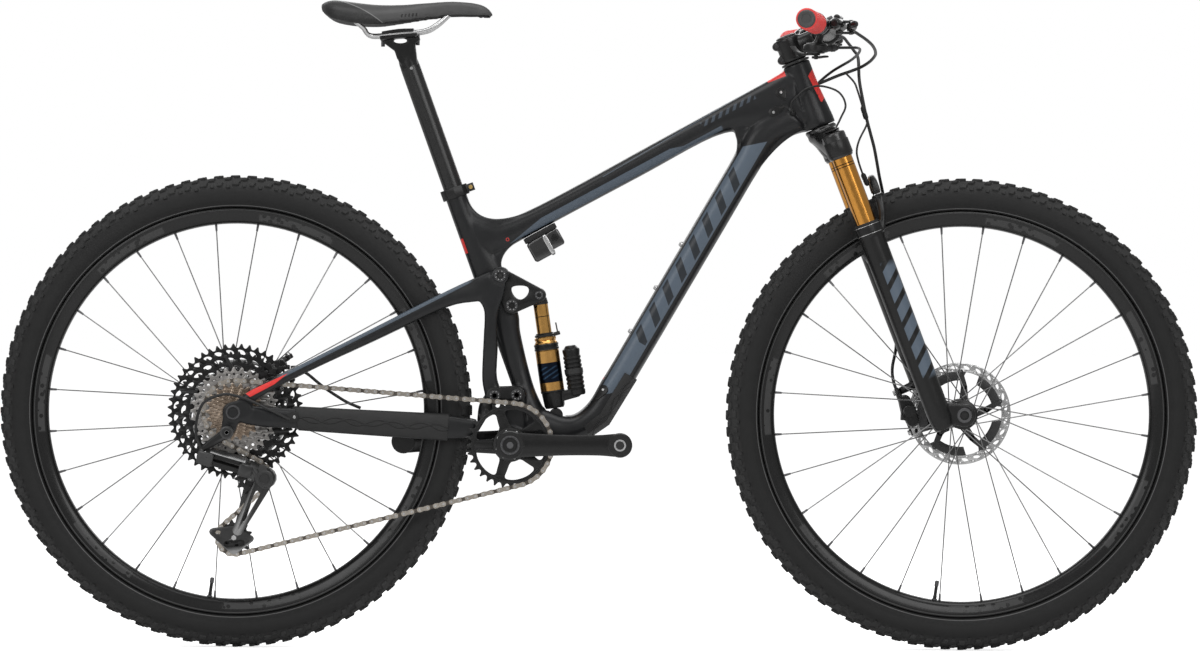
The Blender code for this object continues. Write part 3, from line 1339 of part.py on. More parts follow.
def knuckle_ear(node, along, corner_along):
    """The plate that carries two pins, and its way round to the corner block."""
    low, high = -LINK_HALF_THICKNESS - 0.0048, -LINK_HALF_THICKNESS - GAP * 2
    shifts = (-LINK_SPACING / 2, LINK_SPACING / 2)
    node.join(
        hull(*[link_pin(along, shift, low, high, 0.0052, 8) for shift in shifts]),
        hull(*[link_pin(corner_along, shift, low, 0.0050, 0.0042) for shift in shifts]),
        hull(
            *[link_pin(along, shift, low, high, 0.0042) for shift in shifts],
            *[link_pin(corner_along, shift, low, high, 0.0042) for shift in shifts],
        ),
    )
    for shift in shifts:
        node.join(link_pin(along, shift, low + 0.001, LINK_HALF_THICKNESS, LINK_PIN_RADIUS))


def b_knuckle():
    """The knuckle bolted to the hanger, which carries the links."""
    outer = HANGER_OUTER + GAP
    corner = -0.0160
    bolt = cross_rod(HANGER, -outer, -outer - 0.0110, 0.0105, steps=10)
    arm = hull(
        cross_rod(HANGER, -outer - 0.0010, -outer - 0.0100, 0.0085, steps=8),
        link_pin(corner, -LINK_SPACING / 2, -0.0040, 0.0040, 0.0040),
    )
    node = Node("derailleur_b_knuckle", bolt, "black_metal", HANGER + Y * -outer)
    node.join(arm, cross_rod(HANGER, -outer + 0.0050, -outer - 0.002, 0.0040, steps=SMALL_STEPS))
    knuckle_ear(node, 0.0, corner)
    node.cut(cross_rod(HANGER, -outer - 0.0080, -outer - 0.0150, 0.0045, steps=6))


CAGE_GAP = 0.0052
CAGE_PLATE = 0.0016
BARREL_INNER = CHAIN_OFFSET - CAGE_GAP - CAGE_PLATE - GAP


def p_knuckle():
    """The knuckle with the clutch barrel, from which the cage hangs."""
    barrel = cross_rod(CAGE_PIVOT, BARREL_INNER, BARREL_INNER - 0.038, 0.0165, steps=14)
    node = Node("derailleur_p_knuckle", barrel, "black_metal", link_place(LINK_LENGTH, -LINK_SPACING / 2, 0.0))
    corner = LINK_LENGTH + 0.0110
    node.join(
        cross_rod(CAGE_PIVOT, BARREL_INNER - 0.037, BARREL_INNER - 0.0405, 0.0110, 0.0100, steps=10),
        hull(
            cross_rod(CAGE_PIVOT, BARREL_INNER - 0.008, BARREL_INNER - 0.034, 0.0120, steps=8),
            *[link_pin(corner + 0.002, shift, -0.0100, 0.0045, 0.0040)
              for shift in (-LINK_SPACING / 2, LINK_SPACING / 2)],
        ),
    )
    knuckle_ear(node, LINK_LENGTH, corner)
    node.cut(cross_rod(CAGE_PIVOT, BARREL_INNER + 0.001, BARREL_INNER - 0.010, clear(0.0062, 8), steps=8))


def cage():
    """Outer and inner cage plates, held apart by the pulleys' bolts."""
    outer_far = CHAIN_OFFSET - CAGE_GAP - CAGE_PLATE
    outer_near = CHAIN_OFFSET - CAGE_GAP
    lower_front = TENSION_PULLEY + Vector((0.0250, 0.0, -0.0020))
    lower_back = TENSION_PULLEY + Vector((-0.0330, 0.0, 0.0090))
    foot = [(TENSION_PULLEY + Z * -0.0180, 0.0080), (lower_front, 0.0055), (lower_back, 0.0055),
            (TENSION_PULLEY + Z * 0.0100, 0.0080)]
    arm_low = TENSION_PULLEY + Vector((0.0060, 0.0, 0.0120))
    arm = [(CAGE_PIVOT, 0.0140), (arm_low, 0.0085)]
    slot = [(CAGE_PIVOT.lerp(arm_low, 0.30), 0.0042), (CAGE_PIVOT.lerp(arm_low, 0.80), 0.0026)]
    node = Node("derailleur_cage", plate([belt(foot, 8)], outer_far, outer_near), "black_metal", CAGE_PIVOT)
    node.join(
        plate([belt(arm, 12), belt(slot, 8)], outer_far - 0.00005, outer_near + 0.00005),
        plate([belt([(CAGE_PIVOT, 0.0120), (GUIDE_PULLEY, 0.0080)], 10)], outer_far + 0.0001, outer_near - 0.0001),
        cross_rod(CAGE_PIVOT, outer_near - 0.001, BARREL_INNER - 0.0095, 0.0062, steps=8),
    )
    inner_near = CHAIN_OFFSET + CAGE_GAP
    inner_far = inner_near + CAGE_PLATE
    node.join(
        plate(
            [belt([(GUIDE_PULLEY, 0.0105), (arm_low, 0.0070)], 10)], inner_near + 0.00005,
            inner_far + 0.00005,
        ),
        plate([belt(foot, 8)], inner_near, inner_far),
    )
    for place in (GUIDE_PULLEY, TENSION_PULLEY):
        node.join(cross_rod(place, outer_far - 0.0015, inner_far - 0.0003, 0.0030, steps=SMALL_STEPS))
    window = [(TENSION_PULLEY + Vector((0.0120, 0.0, -0.0080)), 0.0050),
              (TENSION_PULLEY + Vector((-0.0110, 0.0, -0.0100)), 0.0050)]
    node.cut(plate([belt(window, 8)], outer_far - 0.003, outer_near + 0.001))
    node.cut(plate([belt([(lower_back + Vector((0.006, 0.0, -0.001)), 0.0030),
                          (lower_back + Vector((0.010, 0.0, -0.001)), 0.0030)], 8)],
                   outer_far - 0.003, outer_near + 0.001))


def pulley(name, centre, index):
    """A jockey wheel with its sealed hub."""
    half = PULLEY_THICKNESS / 2
    bore = clear(0.0030, 8)
    outlines = [toothed(centre, PULLEY_TEETH, root_angle(index)), circle(centre, bore, 8)]
    place = centre + Y * CHAIN_OFFSET
    node = Node(name, plate(outlines, CHAIN_OFFSET - half, CHAIN_OFFSET + half), "black_plastic", place)
    reach = CAGE_GAP - GAP
    hub_profile = [(-reach, bore), (-reach, 0.0060), (reach, 0.0060), (reach, bore)]
    node.join(turned(hub_profile, place, steps=8, closed=True))


# --- Fork -----------------------------------------------------------------------------------
LEG_OUT = FORK_LEG_SPACING / 2
CROWN_SEAT = 0.0222
STANCHION_END = 0.3620
SEAL_TOP = 0.1686
FOOT_END = 0.5075


def leg_rod(side, first, last, radius, end_radius=None, steps=ROUND_STEPS):
    """A cylinder on the axis of one fork leg."""
    start = STEER.at(first, FORK_LEG_AHEAD, side * LEG_OUT)
    end = STEER.at(last, FORK_LEG_AHEAD, side * LEG_OUT)
    return rod(start, end, radius, end_radius, steps)


def fork_crown():
    """The steerer, the crown race and the crown with its two leg sockets."""
    steerer = turned(
        [(-BAR_RISE - 0.0185, 0.0), (-BAR_RISE - 0.0185, STEERER_RADIUS), (0.0010, STEERER_RADIUS),
         (0.0010, 0.0245), (0.0040, 0.0255), (0.0120, 0.0225), (0.0120, 0.0)],
        STEER.origin, STEER.first,
    )
    node = Node("fork_crown", steerer, "black_metal", STEER.origin)
    stations = (
        (-1.0, 0.0205, 0.0560, 0.0185), (-0.80, 0.0170, 0.0520, 0.0200), (-0.45, 0.0075, 0.0340, 0.0225),
        (0.0, 0.0050, 0.0220, 0.0240),
    )
    rings = []
    for share, top, bottom, half_depth in stations + stations[2::-1]:
        side = share if len(rings) < 4 else -share
        ahead = FORK_LEG_AHEAD * abs(side)
        middle = STEER.at((top + bottom) / 2, ahead, side * LEG_OUT)
        ring = []
        for k in range(TUBE_POINTS):
            angle = math.tau * k / TUBE_POINTS
            across, along = math.cos(angle), math.sin(angle)
            across = math.copysign(abs(across) ** (2 / 3), across) * half_depth
            along = math.copysign(abs(along) ** (2 / 3), along) * (bottom - top) / 2
            ring.append(middle + STEER.second * across + STEER.first * along)
        rings.append(ring)
    node.join(loft(rings))
    for side in (-1, 1):
        node.join(
            leg_rod(side, 0.0180, 0.0580, 0.0190),
            leg_rod(side, 0.0165, 0.0190, 0.0160),
        )
        node.cut(leg_rod(side, CROWN_SEAT, 0.0600, clear(STANCHION_RADIUS)))


def stanchion(name, side):
    """One of the upper tubes."""
    node = Node(
        name, leg_rod(side, CROWN_SEAT + GAP, STANCHION_END, STANCHION_RADIUS), "bronze",
        STEER.at(CROWN_SEAT, FORK_LEG_AHEAD, side * LEG_OUT),
    )
    node.cut(leg_rod(side, STANCHION_END - 0.020, STANCHION_END + 0.001, STANCHION_RADIUS - 0.0025, steps=8))


def fork_lowers():
    """Two lower legs with their dropouts, joined by the arch in front of the tyre."""
    inner = clear(STANCHION_RADIUS)
    node = None
    for side in (-1, 1):
        profile = [
            (SEAL_TOP, 0.0), (SEAL_TOP, 0.0205), (SEAL_TOP + 0.0090, 0.0215), (SEAL_TOP + 0.0100, 0.0198),
            (0.4650, 0.0188), (0.4950, 0.0180), (FOOT_END, 0.0120), (FOOT_END, 0.0),
        ]
        leg = turned(
            profile, STEER.at(0.0, FORK_LEG_AHEAD, side * LEG_OUT), STEER.first,
        )
        if node is None:
            node = Node("fork_lowers", leg, "black_metal", FRONT.origin)
        else:
            node.join(leg)
        drop_in, drop_out = FRONT_HUB_WIDTH / 2 + GAP, FRONT_HUB_WIDTH / 2 + 0.0180
        low, high = sorted((side * drop_in, side * drop_out))
        node.join(
            plate(
                [belt([(FRONT.origin, 0.0175), (STEER.at(0.4800, FORK_LEG_AHEAD + 0.002), 0.0150)])],
                low, high,
            ),
            leg_rod(side, FOOT_END - 0.004, FOOT_END + 0.0040, 0.0070, steps=SMALL_STEPS),
        )
    rings = []
    half = (
        (-1.0, 0.1830, 0.0300, 0.0130, 0.0065), (-0.92, 0.1560, 0.0400, 0.0115, 0.0062),
        (-0.70, 0.1300, 0.0450, 0.0095, 0.0062), (-0.35, 0.1120, 0.0465, 0.0085, 0.0062),
        (0.0, 0.1060, 0.0470, 0.0082, 0.0062),
    )
    for share, along, ahead, half_height, half_depth in half + half[3::-1]:
        side = share if len(rings) < 5 else -share
        middle = STEER.at(along, ahead, side * LEG_OUT * 0.97)
        lean = max(0.0, abs(side) - 0.30) / 0.70
        rise = (STEER.first * (1.0 - lean * 0.8) - Y * math.copysign(lean * 0.9, -side)).normalized()
        rise = rise if side else STEER.first
        depth = STEER.second
        rings.append([
            middle + rise * half_height + depth * half_depth * 0.6,
            middle + rise * half_height * 0.5 + depth * half_depth,
            middle - rise * half_height * 0.5 + depth * half_depth,
            middle - rise * half_height + depth * half_depth * 0.6,
            middle - rise * half_height - depth * half_depth,
            middle + rise * half_height - depth * half_depth,
        ])
    node.join(loft(rings), *caliper_mounts())
    for side in (-1, 1):
        node.join(hull(
            rod(STEER.at(0.1720, 0.0300, side * LEG_OUT), STEER.at(0.1960, 0.0285, side * LEG_OUT), 0.0085,
                steps=8),
            rod(STEER.at(0.1750, FORK_LEG_AHEAD + 0.0125, side * LEG_OUT),
                STEER.at(0.2080, FORK_LEG_AHEAD + 0.0125, side * LEG_OUT), 0.0050, steps=6),
        ))
        node.cut(leg_rod(side, SEAL_TOP - 0.010, 0.4680, inner))
    node.cut(cross_rod(FRONT.origin, -0.090, 0.090, clear(AXLE_RADIUS)))


CALIPER_SPREAD = 0.0330
CALIPER_REACH = 0.0255
FRONT_CALIPER = Datum(
    STEER.at(FORK_LENGTH - 0.0326, FORK_LEG_AHEAD - STANCHION_RADIUS - 0.0212, FRONT_ROTOR_OFFSET),
    -STEER.first, -STEER.second,
)


def caliper_mounts():
    """Two posts behind the left leg that carry the caliper."""
    mounts = []
    for along in (-CALIPER_SPREAD, CALIPER_SPREAD):
        leg = FRONT_CALIPER.at(along * 1.05, -CALIPER_REACH)
        seat = FRONT_CALIPER.at(along, 0.0010)
        leg.y, seat.y = LEG_OUT - 0.004, FRONT_ROTOR_OFFSET + 0.0110
        mounts.append(hull(
            rod(leg - FRONT_CALIPER.first * 0.008, leg + FRONT_CALIPER.first * 0.008, 0.0060,
                steps=SMALL_STEPS),
            rod(seat - FRONT_CALIPER.second * 0.004, seat, 0.0062, steps=SMALL_STEPS),
        ))
    return mounts


def front_axle():
    """The through axle of the front wheel, with its head on the left."""
    reach = FRONT_HUB_WIDTH / 2 + 0.0180
    node = Node(
        "front_axle", cross_rod(FRONT.origin, -reach + 0.001, reach + 0.001, AXLE_RADIUS, steps=10),
        "black_metal", FRONT.origin,
    )
    node.join(cross_rod(FRONT.origin, reach + GAP, reach + 0.0045, 0.0100))
    node.cut(cross_rod(FRONT.origin, reach, reach + 0.008, 0.0032, steps=6))


# --- Cockpit --------------------------------------------------------------------------------
STEM_BORE = clear(STEERER_RADIUS)
BAR_CLAMP_BORE = clear(BAR_CLAMP_RADIUS)
BAR_BORE = clear(BAR_END_RADIUS, gap=GAP * 1.5)


def stem():
    """The spacer, steerer clamp, arm and four-bolt handlebar clamp."""
    lower = -HEAD_TUBE_LENGTH - GAP
    profile = [
        (lower, 0.0), (lower, 0.0225), (lower - 0.0035, 0.0225), (lower - 0.0040, 0.0190),
        (-BAR_RISE + 0.0195, 0.0190), (-BAR_RISE + 0.0190, 0.0198), (-BAR_RISE - 0.0190, 0.0198),
        (-BAR_RISE - 0.0205, 0.0165), (-BAR_RISE - 0.0235, 0.0165), (-BAR_RISE - 0.0240, 0.0),
    ]
    node = Node(
        "stem", turned(profile, STEER.origin, STEER.first), "black_metal", STEM_CENTRE,
    )
    run = slope(STEM_RISE_ANGLE)
    up = slope(STEM_RISE_ANGLE + 90.0)
    rings = []
    for share, half_height, half_width in ((0.0, 0.0160, 0.0160), (0.45, 0.0145, 0.0130), (0.85, 0.0150, 0.0170)):
        centre = STEM_CENTRE + run * STEM_LENGTH * share
        rings.append(oval(centre + up * half_height, centre - up * half_height, half_width, power=3.0))
    half_clamp = 0.0225
    ears = [
        hull(
            cross_rod(STEER.at(-BAR_RISE + offset, -0.0230), -0.0095, 0.0095, 0.0058, steps=8),
            cross_rod(STEER.at(-BAR_RISE + offset, -0.0120), -0.0115, 0.0115, 0.0070, steps=8),
        )
        for offset in (-0.0115, 0.0115)
    ]
    node.join(
        loft(rings),
        cross_rod(BAR_CENTRE, -half_clamp, half_clamp, BAR_CLAMP_RADIUS + 0.0056),
        *ears,
    )
    for side in (-1, 1):
        for angle in (50.0, -50.0):
            out = slope(STEM_RISE_ANGLE + angle) * (BAR_CLAMP_RADIUS + 0.0045)
            place = BAR_CENTRE + out + Y * side * 0.0160
            node.join(rod(place - run * 0.0140, place + run * 0.0055, 0.0046, steps=6))
    node.cut(
        rod(STEER.at(-BAR_RISE + 0.060, 0.0), STEER.at(-BAR_RISE - 0.0190, 0.0), STEM_BORE),
        cross_rod(BAR_CENTRE, -0.040, 0.040, BAR_CLAMP_BORE),
        block(STEER.at(-BAR_RISE - 0.0020, -0.0250), (0.0300, 0.0016, 0.018), STEER.first),
    )


def bar_radius(out):
    """The handlebar's radius this far out."""
    if out <= BAR_STRAIGHT:
        return BAR_CLAMP_RADIUS
    if out >= BAR_BEND + 0.030:
        return BAR_END_RADIUS
    share = (out - BAR_STRAIGHT) / (BAR_BEND + 0.030 - BAR_STRAIGHT)
    return BAR_CLAMP_RADIUS + (BAR_END_RADIUS - BAR_CLAMP_RADIUS) * share


def bar_tangent(out, side):
    """The direction of the handlebar, from right to left."""
    if out <= BAR_BEND:
        return Y
    return bar_run(side) * side


def handlebar():
    """The flat handlebar, thick in the clamp and swept back towards the grips."""
    outs = (0.0, BAR_STRAIGHT, 0.075, BAR_BEND + 0.010, 0.150, BAR_WIDTH / 2)
    rings = []
    for side, row in ((-1, outs[::-1]), (1, outs[1:])):
        for out in row:
            rings.append(round_ring(bar_point(out, side), bar_tangent(out, side), bar_radius(out)))
    Node("handlebar", loft(rings), "black_metal", BAR_CENTRE)


def bar_run(side):
    """The outward direction of the handlebar at the grips."""
    return (bar_point(0.35, side) - bar_point(0.20, side)).normalized()


def on_bar(side, out, inner, outer, width, steps=ROUND_STEPS):
    """A ring round the handlebar, centred this far out."""
    run = bar_run(side)
    half = width / 2
    profile = [(-half, inner), (-half, outer), (half, outer), (half, inner)]
    return turned(profile, bar_point(out, side), run, steps=steps, closed=True)


def grip(name, side):
    """A lock-on grip: rubber sleeve, clamp ring inside and a closed end outside."""
    run = bar_run(side)
    lean = abs(run.y)
    start = BAR_WIDTH / 2 + 0.0040 - GRIP_LENGTH * lean
    bore = BAR_BORE
    end = GRIP_LENGTH
    closed_from = (BAR_WIDTH / 2 - start) / lean + 0.0006
    profile = [
        (0.0, bore), (0.0, GRIP_RADIUS + 0.0006), (0.0090, GRIP_RADIUS + 0.0006), (0.0095, GRIP_RADIUS - 0.0006),
        (end - 0.0060, GRIP_RADIUS), (end, GRIP_RADIUS - 0.0030),
        (end, 0.0), (closed_from, 0.0), (closed_from, bore),
    ]
    Node(name, turned(profile, bar_point(start, side), run, closed=True), "red_rubber",
         bar_point(start, side))


LEVER_PIVOT_OUT = -0.0100
LEVER_PIN_RADIUS = 0.0022


def brake_place(side, out, ahead, above):
    """A place of the brake lever group, measured from the handlebar."""
    return bar_point(BRAKE_CLAMP_OUT + out, side, ahead, above)


def brake_body(name, side):
    """The clamp and master cylinder of a brake lever."""
    node = Node(name, on_bar(side, BRAKE_CLAMP_OUT, BAR_BORE, 0.0152, 0.0120), "black_metal",
                bar_point(BRAKE_CLAMP_OUT, side))
    inner = brake_place(side, -0.0470, 0.0300, 0.0010)
    outer = brake_place(side, 0.0330, 0.0270, 0.0010)
    run = (outer - inner).normalized()
    node.join(
        rod(inner, outer, 0.0100, steps=10),
        rod(inner - run * 0.0120, inner + run * 0.001, 0.0050, 0.0060, steps=SMALL_STEPS),
        hull(
            rod(brake_place(side, -0.0050, 0.0130, 0.0), brake_place(side, 0.0050, 0.0130, 0.0), 0.0080, steps=6),
            rod(brake_place(side, -0.0110, 0.0280, 0.0), brake_place(side, 0.0110, 0.0270, 0.0), 0.0085, steps=6),
        ),
    )
    pivot = brake_place(side, LEVER_PIVOT_OUT, 0.0475, -0.0030)
    for offset in (-0.0085, 0.0085):
        node.join(hull(
            rod(pivot + Z * (offset - 0.0018), pivot + Z * (offset + 0.0018), 0.0060, steps=8),
            rod(pivot + Vector((-0.0150, 0.0, offset - 0.0018)), pivot + Vector((-0.0150, 0.0, offset + 0.0018)),
                0.0085, steps=8),
        ))
    node.join(rod(pivot - Z * 0.0100, pivot + Z * 0.0100, LEVER_PIN_RADIUS, steps=6))
    node.cut(cross_bar_bore(side))


def cross_bar_bore(side):
    """The bore that a clamp keeps clear for the handlebar."""
    reach = SHIFTER_INSET * 2
    start, end = bar_point(BRAKE_CLAMP_OUT - reach, side), bar_point(BRAKE_CLAMP_OUT + reach, side)
    return rod(start, end, BAR_BORE)


def brake_blade(name, side):
    """The lever blade, hooked forwards from its pivot and reaching outwards."""
    pivot = brake_place(side, LEVER_PIVOT_OUT, 0.0475, -0.0030)
    stations = (
        (-0.0100, 0.0475, 0.0055), (0.0050, 0.0545, 0.0055), (0.0230, 0.0565, 0.0055), (0.0450, 0.0560, 0.0058),
        (0.0650, 0.0580, 0.0058), (0.0780, 0.0660, 0.0050),
    )
    rings = []
    for index, (out, ahead, half_height) in enumerate(stations):
        centre = brake_place(side, out, ahead, -0.0030)
        low, high = stations[max(index - 1, 0)], stations[min(index + 1, len(stations) - 1)]
        run = brake_place(side, high[0], high[1], 0.0) - brake_place(side, low[0], low[1], 0.0)
        run.z = 0.0
        deep = run.normalized().cross(Z)
        rings.append([
            centre + deep * across * 0.0036 + Z * up * half_height
            for across, up in ((-1, -0.6), (-0.3, -1), (0.3, -1), (1, -0.6), (1, 0.6), (0.3, 1), (-0.3, 1), (-1, 0.6))
        ])
    node = Node(name, loft(rings), "black_metal", pivot)
    node.join(rod(pivot - Z * 0.0058, pivot + Z * 0.0058, 0.0060, steps=8))
    node.cut(rod(pivot - Z * 0.02, pivot + Z * 0.02, clear(LEVER_PIN_RADIUS, 6), steps=6))


SHIFTER_CENTRE = (-0.0085, -0.0340)


def shifter_place(ahead, above, out=0.0):
    """A place of the shifter, measured from its own middle."""
    return bar_point(SHIFTER_CLAMP_OUT + out, -1, SHIFTER_CENTRE[0] + ahead, SHIFTER_CENTRE[1] + above)


def shifter_body():
    """The shifter's clamp and housing under the right side of the handlebar."""
    node = Node(
        "shifter_body", on_bar(-1, SHIFTER_CLAMP_OUT, BAR_BORE, 0.0145, 0.0100),
        "black_plastic", bar_point(SHIFTER_CLAMP_OUT, -1),
    )
    centre = shifter_place(0.0, 0.0)
    node.join(
        hull(
            rod(centre - Z * 0.0060, centre + Z * 0.0060, 0.0190, steps=12),
            rod(centre + Z * 0.0060, centre + Z * 0.0085, 0.0150, steps=12),
        ),
        hull(
            rod(shifter_place(0.0, 0.0060), shifter_place(0.0, 0.0080), 0.0090, steps=SMALL_STEPS),
            rod(shifter_place(0.0070, 0.0180), shifter_place(0.0070, 0.0215), 0.0060, steps=SMALL_STEPS),
        ),
        rod(shifter_place(0.0140, 0.0, 0.0), shifter_place(0.0330, 0.0020, -0.0120), 0.0052, 0.0045,
            steps=SMALL_STEPS),
        rod(shifter_place(0.0, -0.0165), shifter_place(0.0, -0.0050), 0.0030, steps=SMALL_STEPS),
    )
    node.cut(cross_bar_bore(-1))


def shift_lever(name, stations, above, half_height):
    """A lever that turns on the shifter's post, from its eye out to its paddle."""
    pivot = shifter_place(0.0, above)
    rings = []
    for index, (ahead, out, half, rise) in enumerate(stations):
        before, after = stations[max(index - 1, 0)], stations[min(index + 1, len(stations) - 1)]
        run = shifter_place(after[0], above, after[1]) - shifter_place(before[0], above, before[1])
        run.z = 0.0
        across = run.normalized().cross(Z) * half
        centre = shifter_place(ahead, above + rise, out)
        tall = Z * half_height
        rings.append([centre + across + tall, centre - across + tall, centre - across - tall, centre + across - tall])
    node = Node(name, loft(rings), "black_plastic", pivot)
    node.join(rod(pivot - Z * half_height, pivot + Z * half_height, 0.0065, steps=8))
    node.cut(rod(pivot - Z * 0.02, pivot + Z * 0.02, clear(0.0030, 6), steps=6))


# --- Seat -----------------------------------------------------------------------------------
SADDLE_CLAMP_WIDTH = 0.0440


def seatpost():
    """The post and its head, with the lower rail cradles."""
    node = Node(
        "seatpost",
        rod(SEAT.at(-SEATPOST_INSERTED, 0.0), SEAT.at(SEATPOST_EXPOSED - 0.030, 0.0), SEATPOST_RADIUS),
        "black_metal", SEAT.origin,
    )
    neck = [
        oval(SEAT.at(SEATPOST_EXPOSED - 0.0320, 0.0145), SEAT.at(SEATPOST_EXPOSED - 0.0320, -0.0145), 0.0145),
        oval(SEAT.at(SEATPOST_EXPOSED - 0.0120, 0.0190), SEAT.at(SEATPOST_EXPOSED - 0.0180, -0.0185), 0.0145, power=3.0),
        oval(SEAT.at(SEATPOST_EXPOSED + 0.0080, 0.0215), SEAT.at(SEATPOST_EXPOSED + 0.0050, -0.0270), 0.0155, power=4.0),
        oval(SEAT.at(SEATPOST_EXPOSED + 0.0140, 0.0150), SEAT.at(SEATPOST_EXPOSED + 0.0130, -0.0220), 0.0150, power=4.0),
    ]
    node.join(loft(neck))
    half = SADDLE_CLAMP_WIDTH / 2 + 0.0050
    cradle = [
        oval(rail_place(-0.0318, -0.0005), rail_place(-0.0298, -0.0110), half, power=5.0),
        oval(rail_place(0.0122, -0.0005), rail_place(0.0102, -0.0110), half, power=5.0),
    ]
    node.join(loft(cradle))
    for side in (-1, 1):
        node.cut(tube(saddle_rail(side), SADDLE_RAIL_RADIUS + GAP, 1))


def rail_place(ahead, above, out=0.0):
    """A place on the rails' straight part, moved above it and out to the side."""
    return SADDLE.at(ahead, 0.0279 + ahead * 0.1015 + above, out)


def saddle_rail(side):
    """The route of one saddle rail, from its rear socket to its nose socket."""
    half = SADDLE_CLAMP_WIDTH / 2
    route = [
        SADDLE.at(-0.0778, 0.0465, side * 0.0415), SADDLE.at(-0.0648, 0.0362, side * 0.0335),
        rail_place(-0.0518, 0.0010, side * half), rail_place(-0.0098, 0.0, side * half),
        rail_place(0.0302, 0.0, side * half), SADDLE.at(0.0492, 0.0402, side * half * 0.90),
        SADDLE.at(0.0692, 0.0574, side * half * 0.55),
    ]
    return smooth_route(route, 0.020)


def saddle_rails():
    """The two rails, bent from one rod and joined at the nose, with the upper clamp plate."""
    node = Node("saddle_rails", tube(saddle_rail(-1), SADDLE_RAIL_RADIUS, 1), "steel", rail_place(0.0, 0.0))
    bridge = [saddle_rail(side)[-1] for side in (-1, 1)]
    node.join(
        tube(saddle_rail(1), SADDLE_RAIL_RADIUS, 1),
        tube(bridge, SADDLE_RAIL_RADIUS * 0.98, 1),
    )
    half = SADDLE_CLAMP_WIDTH / 2 + 0.0050
    top = [
        oval(rail_place(-0.0288, 0.0070), rail_place(-0.0288, 0.0008), half, power=5.0),
        oval(rail_place(0.0082, 0.0070), rail_place(0.0082, 0.0008), half, power=5.0),
    ]
    node.join(loft(top))


SADDLE_REAR = -0.1308
SADDLE_STATIONS = (
    # (share of the length, top height, bottom height, share of the half width, crown drop)
    (0.000, 0.0732, 0.0602, 0.42), (0.035, 0.0777, 0.0512, 0.78), (0.090, 0.0787, 0.0442, 0.96),
    (0.190, 0.0752, 0.0402, 1.00), (0.330, 0.0717, 0.0392, 0.82), (0.470, 0.0722, 0.0442, 0.58),
    (0.620, 0.0757, 0.0502, 0.40), (0.770, 0.0782, 0.0542, 0.31), (0.900, 0.0762, 0.0547, 0.27),
    (0.965, 0.0702, 0.0542, 0.22), (1.000, 0.0602, 0.0547, 0.11),
)


def saddle():
    """The padded saddle: broad behind, waisted, with a long nose and a hollow underside."""
    rings = []
    for share, top, bottom, width in SADDLE_STATIONS:
        x = SADDLE_REAR + SADDLE_LENGTH * share
        half = SADDLE_WIDTH / 2 * width
        tall = top - bottom
        dish = 0.0030 if 0.1 < share < 0.7 else 0.0
        section = (
            (0.0, top - dish), (0.42, top), (0.78, top - tall * 0.16), (0.98, top - tall * 0.48),
            (1.0, top - tall * 0.74), (0.90, bottom), (0.55, bottom + tall * 0.45), (0.0, bottom + tall * 0.50),
        )
        right = [SADDLE.at(x, z, -across * half) for across, z in section]
        left = [SADDLE.at(x, z, across * half) for across, z in section[-2:0:-1]]
        rings.append(right + left)
    Node("saddle", loft(rings), "saddle_cover", SADDLE.at(0.0, 0.055))


# --- Brakes and cables ----------------------------------------------------------------------
STAY_TOP_LOW, STAY_TOP_HIGH = REAR.at(0.0250, 0.0330), REAR.at(0.0959, 0.0705)
STAY_RUN = (STAY_TOP_HIGH - STAY_TOP_LOW).normalized()
REAR_CALIPER = Datum(
    STAY_TOP_LOW.lerp(STAY_TOP_HIGH, 0.46) + STAY_RUN.cross(Y) * 0.0150 + Y * REAR_ROTOR_OFFSET,
    STAY_RUN, STAY_RUN.cross(Y),
)


def caliper(name, datum, axle, seat, side_step):
    """A caliper over the edge of a rotor: two halves, ears with bolts and the hose inlet."""
    wide = 0.0130

    def bar(along, out, radius, reach=wide, steps=10):
        """A cylinder across the rotor at a place of the caliper."""
        place = datum.at(along, out)
        return rod(place - Y * reach, place + Y * reach, radius, steps=steps)

    node = Node(
        name, hull(bar(-0.0170, 0.0, 0.0100), bar(0.0170, 0.0, 0.0100), bar(0.0, 0.0, 0.0125)),
        "steel", datum.origin,
    )
    for along in (-CALIPER_SPREAD, CALIPER_SPREAD):
        low, high = seat + GAP, seat + 0.0075
        place = datum.at(along, low, side_step)
        root = datum.at(along * 0.5, low, side_step * 0.5)
        node.join(
            hull(
                rod(place, datum.at(along, high, side_step), 0.0068, steps=10),
                rod(root, datum.at(along * 0.5, high, side_step * 0.5), 0.0075, steps=10),
            ),
            rod(datum.at(along, high - 0.001, side_step), datum.at(along, high + 0.0040, side_step), 0.0046,
                steps=SMALL_STEPS),
        )
    for side in (-1, 1):
        node.join(rod(datum.at(0.0, 0.0, side * (wide - 0.001)), datum.at(0.0, 0.0, side * (wide + 0.0012)), 0.0092))
    centre = axle + Y * datum.origin.y
    clear = ROTOR_THICKNESS / 2 + 0.0010
    slot = rod(centre - Y * clear, centre + Y * clear, ROTOR_RADIUS + 0.0015, steps=30)
    node.cut(slot)
    return node


FRONT_SEAT = 0.0010
REAR_SEAT = 0.0010


def front_caliper():
    """The front caliper, bolted to the posts behind the left leg."""
    node = caliper("front_caliper", FRONT_CALIPER, FRONT.origin, FRONT_SEAT, 0.0110)
    node.join(rod(FRONT_CALIPER.at(0.0180, 0.004, -0.0060), FRONT_CALIPER.at(0.0300, 0.006, -0.0060), 0.0040, steps=8))


def rear_caliper():
    """The rear caliper, on top of the left seatstay."""
    node = caliper("rear_caliper", REAR_CALIPER, REAR.origin, REAR_SEAT, 0.0095)
    node.join(rod(REAR_CALIPER.at(0.0140, -0.0020, -0.0060), REAR_CALIPER.at(0.0280, -0.0100, -0.0060), 0.0040, steps=8))


